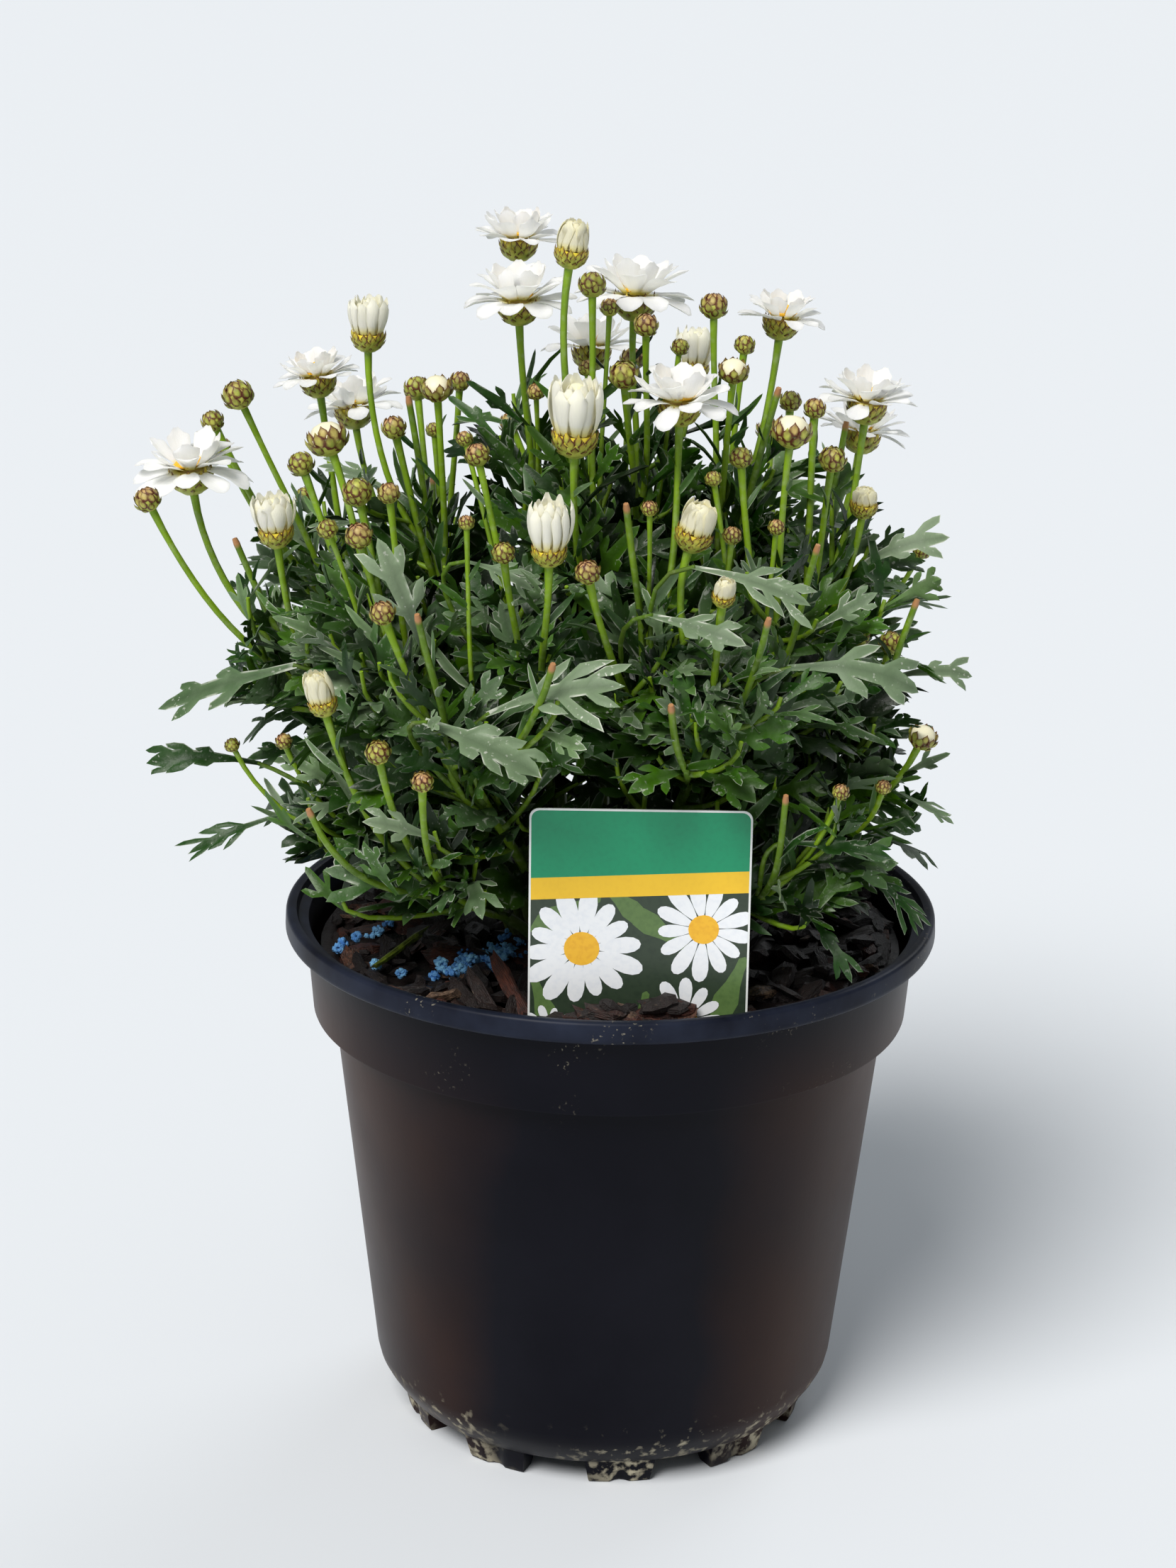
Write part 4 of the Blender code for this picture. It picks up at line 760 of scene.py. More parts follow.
@dataclass(frozen=True)
class PotPlastic:
    """Satin black moulded plastic with pale scuffs of dried soil at the foot and on the lip, a painted
    brown reflection towards both sides, and a painted blue-grey highlight in patches on the lip.
    """

    black: Colour = tint(8, 8, 17)
    worn: Colour = tint(15, 15, 24)
    # Painted reflection: the brown that the sides take from the surroundings mirrored in them.
    painted_brown_reflection: Colour = tint(88, 50, 18)
    # Painted highlight: the lighter blue-grey of the sky mirrored on the lip.
    lip: Colour = tint(40, 46, 62)
    soil: Colour = tint(176, 168, 146)
    foot_level: float = 24.0 * MM

    def make(self) -> Material:
        """Build the material.

        Returns:
            The material.
        """
        s = Surface("pot_plastic", 0.42, Specular_IOR_Level=0.24, IOR=1.28)
        cloud = s.noise(22.0, 4.0)
        plain = s.mix(s.band(cloud, 0.4, 0.7), self.black, self.worn)
        under = s.band(s.height(), 150.0 * MM, 120.0 * MM)
        # Painted reflection: towards the left and right sides, below the lip, the plastic is mixed in
        # patches towards brown, the brown surroundings mirrored in it.
        drift = s.plus(s.aside(), s.times(s.noise(16.0, 4.0), 30.0 * MM))
        sides = s.times(s.band(drift, 44.0 * MM, 98.0 * MM), 0.8)
        reflection_mask = s.times(s.patches(9.0, 0.2, 0.75, 5.0), s.times(under, sides))
        base = s.mix(reflection_mask, plain, self.painted_brown_reflection)
        low = s.band(s.height(), self.foot_level, 4.0 * MM)
        crust = s.plus(s.noise(330.0, 9.0), s.times(low, 0.16))
        patches = s.patches(34.0, 0.42, 0.6)
        patch = s.times(s.band(crust, 0.62, 0.76), s.times(patches, s.band(low, 0.0, 0.4)))
        # Painted highlight: the lip is mixed in patches towards a lighter blue-grey, the sky mirrored on
        # it.
        lip = s.times(s.band(s.height(), 150.5 * MM, 151.5 * MM), s.patches(60.0, 0.25, 0.75, 6.0))
        base = s.mix(s.times(lip, 0.8), base, self.lip)
        speck = s.times(s.patches(900.0, 0.62, 0.72), s.patches(55.0, 0.56, 0.66))
        high = s.band(s.height(), 118.0 * MM, 150.0 * MM)
        dirt = s.math("MAXIMUM", patch, s.times(s.times(speck, high), 0.55))
        colour = s.mix(dirt, base, self.soil)
        rough = s.plus(s.times(cloud, 0.22), s.times(dirt, 0.4))
        grain = s.plus(s.noise(900.0, 2.0), s.times(dirt, 2.0))
        return s.done(colour, s.plus(rough, 0.27), grain, 0.12, 0.1 * MM)


@dataclass(frozen=True)
class Compost:
    """Crumbly dark compost."""

    dark: Colour = tint(24, 17, 13)
    light: Colour = tint(62, 44, 32)

    def make(self) -> Material:
        """Build the material.

        Returns:
            The material.
        """
        s = Surface("compost", 0.95)
        crumbs = s.noise(260.0, 5.0)
        return s.done(s.mix(s.band(crumbs, 0.35, 0.75), self.dark, self.light), None, crumbs, 0.8, 1.0 * MM)


@dataclass(frozen=True)
class Bark:
    """Damp bark: nearly black, brown or reddish by the chip, with grain along it."""

    wet: Colour = tint(27, 22, 22)
    brown: Colour = tint(46, 34, 31)
    red: Colour = tint(96, 48, 33)
    pale: Colour = tint(140, 116, 94)
    sprig: Colour = tint(160, 184, 54)

    def make(self) -> Material:
        """Build the material.

        Returns:
            The material.
        """
        s = Surface("bark", 0.62, Specular_IOR_Level=0.4)
        tone = s.value("tone")
        bark = s.ramp(tone, (0.0, self.wet), (0.6, self.brown), (0.9, self.red), (1.0, self.pale))
        base = s.mix(s.value("warm"), bark, self.sprig)
        grain = s.noise(7.0, 4.0, s.vector("fibre"), (1.0, 5.0, 5.0))
        split = s.plus(s.times(grain, 0.65), s.times(s.noise(380.0, 6.0), 0.5))
        colour = s.mix(s.band(split, 0.48, 0.74), s.mix(0.85, base, self.wet), base)
        fleck = s.times(s.patches(700.0, 0.66, 0.72, 4.0), s.band(tone, 0.2, 0.9))
        flecked = s.mix(s.times(fleck, 0.5), colour, self.pale)
        rough = s.plus(s.times(s.noise(160.0), 0.5), 0.22)
        return s.done(flecked, rough, split, 1.0, 1.0 * MM)


@dataclass(frozen=True)
class FeedBlue:
    """Crumbly blue feed, lighter and greener by the grain."""

    deep: Colour = tint(44, 108, 188)
    light: Colour = tint(142, 204, 236)

    def make(self) -> Material:
        """Build the material.

        Returns:
            The material.
        """
        s = Surface("feed_blue", 0.8)
        share = s.plus(s.value("tone"), s.times(s.noise(900.0, 4.0), 0.35))
        return s.done(s.mix(s.band(share, 0.15, 1.25), self.deep, self.light), None, s.noise(2400.0), 0.5)


@dataclass(frozen=True)
class PrintedCard:
    """One printed colour of the card, hardly uneven and slightly glossy."""

    name: str
    colour: Colour
    shade: Colour

    def make(self) -> Material:
        """Build the material.

        Returns:
            The material.
        """
        s = Surface(self.name, 0.32)
        fine = s.noise(700.0, 2.0)
        share = s.band(s.band(fine, 0.3, 0.8), 0.3, 1.6)
        return s.done(s.mix(share, self.colour, self.shade), None, fine, 0.03)


@dataclass(frozen=True)
class LeafGreen:
    """Downy grey-green leaf, darker and glossier where its tone is low, with a pale crusty edge and a
    sunken rib. Its tone is partly random and partly painted light and shade: darker deep in the plant and
    low down, paler high and far out.
    """

    deep: Colour = tint(4, 20, 2)
    green: Colour = tint(28, 74, 4)
    fresh: Colour = tint(78, 126, 6)
    down: Colour = tint(137, 156, 124)
    crust: Colour = tint(224, 226, 214)

    def make(self) -> Material:
        """Build the material.

        Returns:
            The material.
        """
        s = Surface("leaf_green", 0.6, Specular_IOR_Level=0.34)
        tone = s.value("tone")
        # Low tones, partly painted shade, ramp to the darkest green, and high ones to the pale felt.
        plain = s.ramp(tone, (0.12, self.deep), (0.62, self.green), (1.0, self.down))
        base = s.mix(s.times(s.value("warm"), 0.6), plain, self.fresh)
        felt = s.times(s.patches(170.0, 0.42, 0.72, 5.0), s.band(tone, 0.1, 1.0))
        coated = s.mix(s.times(felt, 0.44), base, self.down)
        edge = s.times(s.band(s.value("margin"), 0.70, 1.0), s.patches(150.0, 0.49, 0.62, 7.0))
        fleck = s.times(s.patches(760.0, 0.61, 0.68), s.patches(120.0, 0.46, 0.62))
        worn = s.times(s.math("MAXIMUM", edge, fleck), s.band(tone, -0.1, 0.9))
        edged = s.mix(s.times(worn, 0.85), coated, self.crust)
        ribbed = s.mix(s.times(s.value("vein"), 0.35), edged, self.deep)
        rough = s.plus(s.times(tone, 0.25), 0.32)
        return s.done(ribbed, rough, s.noise(1100.0, 3.0), 0.5, 0.2 * MM)


@dataclass(frozen=True)
class StalkGreen:
    """Ribbed stalk: yellow-green near the heads, duller and browner by age, orange-brown at a cut."""

    young: Colour = tint(132, 168, 24)
    dull: Colour = tint(80, 112, 20)
    woody: Colour = tint(104, 92, 62)
    cut: Colour = tint(178, 128, 84)

    def make(self) -> Material:
        """Build the material.

        Returns:
            The material.
        """
        s = Surface("stalk_green", 0.5, Specular_IOR_Level=0.4)
        patch = s.times(s.noise(90.0, 4.0), 0.9)
        age = s.plus(s.value("age"), s.math("SUBTRACT", patch, 0.42))
        base = s.ramp(age, (0.0, self.young), (0.55, self.dull), (1.0, self.woody))
        down = s.mix(s.times(s.patches(500.0, 0.5, 0.75), 0.35), base, tint(160, 174, 130))
        ends = s.mix(s.value("cut"), down, self.cut)
        return s.done(ends, None, s.noise(1500.0, 3.0), 0.3)


@dataclass(frozen=True)
class BractGreen:
    """Overlapping bracts: yellow-green with brown margins, warmer higher up, cream where petals show."""

    green: Colour = tint(196, 198, 88)
    deep: Colour = tint(138, 152, 58)
    brown: Colour = tint(94, 46, 26)
    orange: Colour = tint(206, 164, 112)
    cream: Colour = tint(246, 240, 206)
    gold: Colour = tint(244, 220, 66)

    def make(self) -> Material:
        """Build the material.

        Returns:
            The material.
        """
        s = Surface("bract_green", 0.5, Specular_IOR_Level=0.45)
        warm = s.value("warm")
        base = s.mix(s.patches(380.0, 0.35, 0.7), self.green, self.deep)
        warmed = s.mix(s.band(warm, 0.45, 1.0), base, self.orange)
        along = s.band(s.value("along"), 0.42, 0.9)
        gilded = s.mix(s.times(s.value("gilt"), s.band(s.value("along"), 0.3, 0.8)), warmed, self.gold)
        edge = s.math("MAXIMUM", s.band(s.value("margin"), 0.30, 0.76), s.times(along, 0.9))
        browned = s.mix(s.times(edge, s.patches(420.0, 0.25, 0.5)), gilded, self.brown)
        topped = s.mix(s.value("cream"), browned, self.cream)
        topped = s.mix(s.value("gold"), topped, self.gold)
        return s.done(topped, None, s.noise(1600.0, 2.0), 0.3, 0.1 * MM)


@dataclass(frozen=True)
class PetalSkin:
    """Matt petal with fine lengthwise lines, yellower at its foot."""

    name: str
    body: Colour
    foot: Colour
    foot_share: float
    butter: Colour = tint(250, 242, 190)

    def make(self) -> Material:
        """Build the material.

        Returns:
            The material.
        """
        s = Surface(self.name, 0.55, Sheen_Weight=0.05, Subsurface_Weight=0.55, Subsurface_Scale=2.5 * MM,
                    Subsurface_Radius=(1.0, 1.0, 0.8))
        along = s.value("along")
        lines = s.noise(7.0, 2.0, s.vector("fibre"), (0.5, 9.0, 1.0))
        body = s.mix(s.value("warm"), self.body, self.butter)
        soft = s.mix(s.band(lines, 0.2, 0.8), s.mix(0.08, body, tint(190, 186, 160)), body)
        colour = s.mix(s.band(along, self.foot_share, self.foot_share * 0.2), soft, self.foot)
        return s.done(colour, None, lines, 0.35, 0.25 * MM)


@dataclass(frozen=True)
class FloretYellow:
    """Yellow florets, deeper between and at the middle."""

    bright: Colour = tint(250, 214, 60)
    deep: Colour = tint(228, 172, 40)

    def make(self) -> Material:
        """Build the material.

        Returns:
            The material.
        """
        s = Surface("floret_yellow", 0.6)
        share = s.plus(s.value("tone"), s.times(s.noise(900.0), 0.4))
        return s.done(s.mix(s.band(share, 0.2, 1.2), self.deep, self.bright), None, s.noise(1800.0), 0.3)


class Sheet:
    """Faces laid out flat that are bent and given a thickness: a leaf, petal or bract."""

    def __init__(self) -> None:
        """Start with no points."""
        self.points: Outline = []
        self.vein: list[float] = []
        self.faces: Faces = []

    def point(self, u: float, v: float, vein: float = 0.0) -> int:
        """Add a point, u along the blade and v across it, and return its number.

        Args:
            u: its place along the blade.
            v: its place across.
            vein: how much of a vein it is.

        Returns:
            Its number.
        """
        self.points.append((u, v))
        self.vein.append(vein)
        return len(self.points) - 1

    def face(self, *corners: int, flip: bool = False) -> None:
        """Add a face, counter-clockwise from above unless it is flipped."""
        self.faces.append(corners[::-1] if flip else corners)

    def grid(self, rows: int, columns: int, place: Callable[[float, float], tuple[float, float]]) -> None:
        """Fill the sheet with a grid.

        Args:
            rows: how many steps it has along the blade.
            columns: how many steps it has across.
            place: the point for a share along the blade and a share across, from -1 to 1.
        """
        for r in range(rows + 1):
            for c in range(columns + 1):
                side = 2.0 * c / columns - 1.0
                self.point(*place(r / rows, side), 1.0 - min(1.0, abs(side) * 2.0))
        for r in range(rows):
            for c in range(columns):
                a = r * (columns + 1) + c
                b = a + columns + 1
                self.face(a, b, b + 1, a + 1)

    def solid(self, name: str, bend: "Bend", thickness: float, crease: float = 0.0) -> Mesh:
        """Bend the sheet and close it with an underside that meets it at the rim.

        Args:
            name: the mesh's name.
            bend: how the blade curves.
            thickness: how thick it is within its rim.
            crease: how far its veins sink.

        Returns:
            The closed mesh, with margin, vein, along and fibre on its points.
        """
        edges = {(a, b) for f in self.faces for a, b in zip(f, f[1:] + f[:1])}
        rim = {k for edge in edges if (edge[1], edge[0]) not in edges for k in edge}
        count = len(self.points)
        below = {k: count + n for n, k in enumerate(k for k in range(count) if k not in rim)}
        points = []
        for side, numbers in ((0.5, range(count)), (-0.5, below)):
            for k in numbers:
                place, normal = bend.at(*self.points[k])
                half = 0.0 if k in rim else thickness * side
                points.append(place + normal * (half - crease * self.vein[k]))
        faces = self.faces + [tuple(below.get(k, k) for k in reversed(face)) for face in self.faces]
        mesh = mesh_from(name, points, faces, 60.0)
        order = list(range(count)) + list(below)
        store(mesh, "margin", [1.0 if k in rim else 0.0 for k in order])
        store(mesh, "vein", self.vein + [0.0] * len(below))
        store(mesh, "along", [self.points[k][0] for k in order])
        fibre = mesh.attributes.new("fibre", "FLOAT_VECTOR", "POINT")
        fibre.data.foreach_set("vector", [c for k in order for c in (*self.points[k], 0.0)])
        return mesh


@dataclass(frozen=True)
class Bend:
    """How a flat blade of length 1 curves along and across, and waves."""

    droop: float = 0.0
    rise: float = 0.0
    power: float = 1.4
    fold: float = 0.0
    curl: float = 0.0
    ripple: float = 0.0
    phase: float = 0.0
    twist: float = 0.0

    def at(self, u: float, v: float) -> tuple[Vector, Vector]:
        """The place and the upper normal of a point of the sheet.

        Args:
            u: the point's place along the blade.
            v: its place across.

        Returns:
            The place and the normal.
        """
        steps = 16
        spot = Vector()
        for k in range(steps):
            share = max(0.0, u) * (k + 0.5) / steps
            angle = self.rise - self.droop * share ** self.power
            spot += Vector((math.cos(angle), 0.0, math.sin(angle))) * (u / steps)
        angle = self.rise - self.droop * max(0.0, u) ** self.power
        ahead = Vector((math.cos(angle), 0.0, math.sin(angle)))
        turn = Matrix.Rotation(self.twist * u, 3, ahead)
        across = turn @ Vector((0.0, 1.0, 0.0))
        normal = ahead.cross(across)
        wave = self.ripple * math.sin(self.phase + 15.0 * u + 9.0 * v) * min(1.0, abs(v) * 8.0)
        lift = abs(v) * self.fold - v * v * self.curl + wave
        slope = self.fold * (1.0 if v > 0.0 else -1.0) - 2.0 * v * self.curl
        return spot + across * v + normal * lift, (normal - across * slope).normalized()


@dataclass(frozen=True)
class LeafForm:
    """A lobed leaf in shares of its length: narrow at its foot, with broad blunt lobes further up."""

    pairs: int
    reach: float
    rib: float
    bend: Bend
    seed: int
    first: float = 0.40
    last: float = 0.80
    lobe_half: float = 0.046

    def stations(self) -> list[tuple[float, bool]]:
        """Places along the rib, and whether the stretch that starts there carries lobes.

        Returns:
            The places from the foot up, each with whether lobes start there.
        """
        if self.pairs == 0:
            return [(share, False) for share in (0.0, 0.2, 0.45, 0.7, 0.9)]
        made = [(0.0, False), (self.first * 0.5, False)]
        for k in range(self.pairs):
            middle = self.first + (self.last - self.first) * k / max(1, self.pairs - 1)
            made += [(middle - self.lobe_half, True), (middle + self.lobe_half, False)]
        return made + [(0.93, False)]

    def rib_width(self, u: float) -> float:
        """Half the width of the rib strip at a place.

        Args:
            u: the place.

        Returns:
            Half the width.
        """
        if self.pairs == 0:
            return self.rib * (0.35 + 1.1 * math.sin(math.pi * min(1.0, u) ** 0.85))
        if u > 0.9:
            return self.rib * 0.62
        return self.rib * (0.36 + 0.74 * min(1.0, max(0.0, u - 0.12) / 0.45))

    def lobe(self, sheet: Sheet, base: tuple[int, int, int], side: float, rng: random.Random) -> None:
        """Add one side lobe with a blunt, slightly uneven end.

        Args:
            sheet: the sheet to add it to.
            base: its near, middle and far points on the rib's edge.
            side: 1 on the left, -1 on the right.
            rng: its random draws.
        """
        u, v = sheet.points[base[1]]
        shape = math.sin(math.pi * (0.22 + 0.62 * (u - self.first) / max(0.1, self.last - self.first)))
        length = self.reach * (0.62 + 0.42 * shape) * rng.choice((0.5, 0.8, 0.95, 1.05, 1.25))
        angle = math.radians(rng.uniform(34.0, 56.0) + 8.0 * u)
        ahead = Vector((math.sin(angle), math.cos(angle)))
        over = Vector((ahead.y, -ahead.x))
        start = Vector((u, abs(v)))
        rows = [base]
        flip = side < 0.0
        lean = Vector((0.05, -0.02))
        for share, half in ((0.48, 0.92), (0.84, 0.68)):
            middle = start + ahead * (length * share) + lean * (share * share)
            near = middle - over * (self.lobe_half * half * rng.uniform(0.85, 1.25))
            far = middle + over * (self.lobe_half * half * rng.uniform(0.85, 1.35))
            rows.append((sheet.point(near.x, side * near.y), sheet.point(middle.x, side * middle.y, 0.5),
                         sheet.point(far.x, side * far.y)))
        for (a, b, c), (d, e, f) in zip(rows, rows[1:]):
            sheet.face(a, b, e, d, flip=flip)
            sheet.face(b, c, f, e, flip=flip)
        tip = start + ahead * (length * 1.10) + over * (self.lobe_half * rng.uniform(-0.5, 0.5)) + lean
        end = sheet.point(tip.x, side * tip.y)
        sheet.face(rows[-1][0], rows[-1][1], end, flip=flip)
        sheet.face(rows[-1][1], rows[-1][2], end, flip=flip)

    def mesh(self, name: str) -> Mesh:
        """Build the leaf.

        Args:
            name: the mesh's name.

        Returns:
            The closed leaf.
        """
        rng = random.Random(self.seed)
        sheet = Sheet()
        rows = []
        for u, lobed in self.stations():
            width = self.rib_width(u)
            rows.append((sheet.point(u, 0.0, 1.0), sheet.point(u, width), sheet.point(u, -width), lobed))
        for here, there in zip(rows, rows[1:]):
            for edge, side in ((1, 1.0), (2, -1.0)):
                flip = side < 0.0
                if not here[3]:
                    sheet.face(here[0], there[0], there[edge], here[edge], flip=flip)
                    continue
                middle = (Vector(sheet.points[here[edge]]) + Vector(sheet.points[there[edge]])) / 2.0
                base = sheet.point(middle.x, middle.y, 0.5)
                sheet.face(here[0], there[0], there[edge], base, flip=flip)
                sheet.face(here[0], base, here[edge], flip=flip)
                self.lobe(sheet, (here[edge], base, there[edge]), side, rng)
        tip = sheet.point(1.0, 0.0)
        last = rows[-1]
        sheet.face(last[0], tip, last[1])
        sheet.face(last[2], tip, last[0])
        return sheet.solid(name, self.bend, 0.026, 0.007)


@dataclass
class Blades:
    """A set of blade shapes of length 1, with the way from each one's foot to its tip."""

    shapes: Collection
    chords: list[Vector]

    def aim(self, shape: int, foot: Vector, tip: Vector, face: Vector, roll: float = 0.0,
            width: float | None = None, tone: float = 0.5) -> Spot:
        """Lay a blade from a foot to a tip.

        Args:
            shape: the number of the shape.
            foot: where it grows from.
            tip: where it ends.
            face: where its upper side looks, as nearly as it can.
            roll: a turn about the line from foot to tip.
            width: its scale across, or None for the same as along.
            tone: its tone.

        Returns:
            The spot that grows it.
        """
        chord = self.chords[shape]
        run = tip - foot
        ahead = run.normalized()
        scale = run.length / chord.length
        here = frame_of(chord, UP)
        there = Matrix.Rotation(roll, 3, ahead) @ frame_of(ahead, face)
        across = scale if width is None else width
        return Spot(foot, there @ here.transposed(), (scale, across, scale), shape, tone)

    def way_in(self, spot: Spot) -> Vector:
        """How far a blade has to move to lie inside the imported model's box.

        Args:
            spot: the blade's spot.

        Returns:
            The shift.
        """
        turn = spot.turn @ Matrix.Diagonal(spot.size)
        places = [spot.place + turn @ v.co for v in self.shapes.objects[spot.shape].data.vertices]
        shift = Vector()
        for axis, (low, high) in enumerate(zip(*CAD_BOX)):
            shift[axis] += max(0.0, low + GAP - min(p[axis] for p in places))
            shift[axis] -= max(0.0, max(p[axis] for p in places) + GAP - high)
        return shift


def blades(name: str, meshes: list[Mesh], bends: list[Bend]) -> Blades:
    """Gather blade meshes with their chords."""
    return Blades(shapes_collection(name, meshes), [bend.at(1.0, 0.0)[0] for bend in bends])


class LeafKind(Enum):
    """Sizes of leaf, with the numbers of their shapes."""

    LARGE = range(0, 9)
    MIDDLE = range(9, 15)
    NARROW = range(15, 18)


def leaf_blades() -> Blades:
    """The leaf shapes: large ones with many lobes, middle ones with fewer, and narrow ones with none.

    Returns:
        The shapes.
    """
    forms = []
    cuts = ((3, 0.17, 0.088, 0.80, 0.054), (3, 0.25, 0.054, 0.80, 0.040), (2, 0.21, 0.070, 0.72, 0.050))
    for k, droop in enumerate((0.45, 0.75, 1.05, 0.6, 0.9, 0.3, 0.8, 0.5, 1.2)):
        bend = Bend(droop, fold=0.34 - 0.12 * (k % 3), curl=0.7, ripple=0.014, phase=k * 1.7,
                    twist=0.3 * (k % 3 - 1))
        pairs, reach, rib, last, half = cuts[k % 3]
        forms.append(LeafForm(pairs, reach, rib, bend, 40 + k, 0.40 + 0.03 * (k % 4), last, half))
    for k, droop in enumerate((0.4, 0.7, 1.0, 0.5, 0.85, 0.2)):
        bend = Bend(droop, fold=0.3, curl=0.8, ripple=0.014, phase=k * 2.1, twist=0.3 * (k % 3 - 1))
        first = 0.5 + 0.03 * (k % 3)
        forms.append(LeafForm(1 + k % 2, 0.20, 0.068, bend, 60 + k, first, 0.77, 0.050))
    for k, droop in enumerate((0.35, 0.6, -0.3)):
        forms.append(LeafForm(0, 0.1, 0.052, Bend(droop, fold=0.45, curl=0.5, twist=0.2 * k), 80 + k))
    meshes = [form.mesh(f"leaf_shape_{k:02d}") for k, form in enumerate(forms)]
    return blades("leaf_shapes", meshes, [form.bend for form in forms])


class PetalKind(Enum):
    """Ways in which a petal curves, with the numbers of their shapes."""

    SPREAD = range(0, 5)
    UPRIGHT = range(5, 9)


def petal_blades() -> Blades:
    """The petal shapes: spread ones that arch over and upright ones that close over the head.

    Returns:
        The shapes.
    """
    bends = [Bend(droop, rise=0.1, power=1.2, curl=-1.2, ripple=0.006, phase=2.0 * k, twist=0.1 * (k - 2))
             for k, droop in enumerate((0.35, 0.6, 0.15, 0.8, 0.45))]
    bends += [Bend(droop, rise=-0.15, power=1.3, curl=-1.5, twist=0.08 * (k - 1))
              for k, droop in enumerate((-0.75, -0.5, -0.9, -0.25))]
    meshes = []
    for k, bend in enumerate(bends):
        sheet = Sheet()
        sheet.grid(8, 6, lambda share, side: petal_point(share, side, k))
        meshes.append(sheet.solid(f"petal_shape_{k:02d}", bend, 0.03, 0.006))
    return blades("petal_shapes", meshes, bends)


def petal_point(share: float, side: float, kind: int) -> tuple[float, float]:
    """A point of a flat petal of length 1, widest past its middle, with a rounded, faintly notched end.

    Args:
        share: how far along the petal, from 0 to 1.
        side: how far across, from -1 to 1.
        kind: the number of the shape.

    Returns:
        The point.
    """
    u = share ** 0.88
    end = max(0.0, (u - 0.74) / 0.26)
    point = 0.16 if kind in PetalKind.SPREAD.value else 0.42
    half = (0.075 + 0.135 * math.sin(math.pi * 0.58 * u) ** 1.2) * (1.0 - point * end ** 2)
    notch = 0.012 * math.cos(9.0 * side + kind) * end
    return u - 0.14 * abs(side) ** 2.6 * end - notch, side * half


class HeadKind(Enum):
    """Green heads, with the numbers of their shapes."""

    TIGHT_BUD = 0
    WARM_BUD = 1
    CREAM_BUD = 2
    CUP = 3


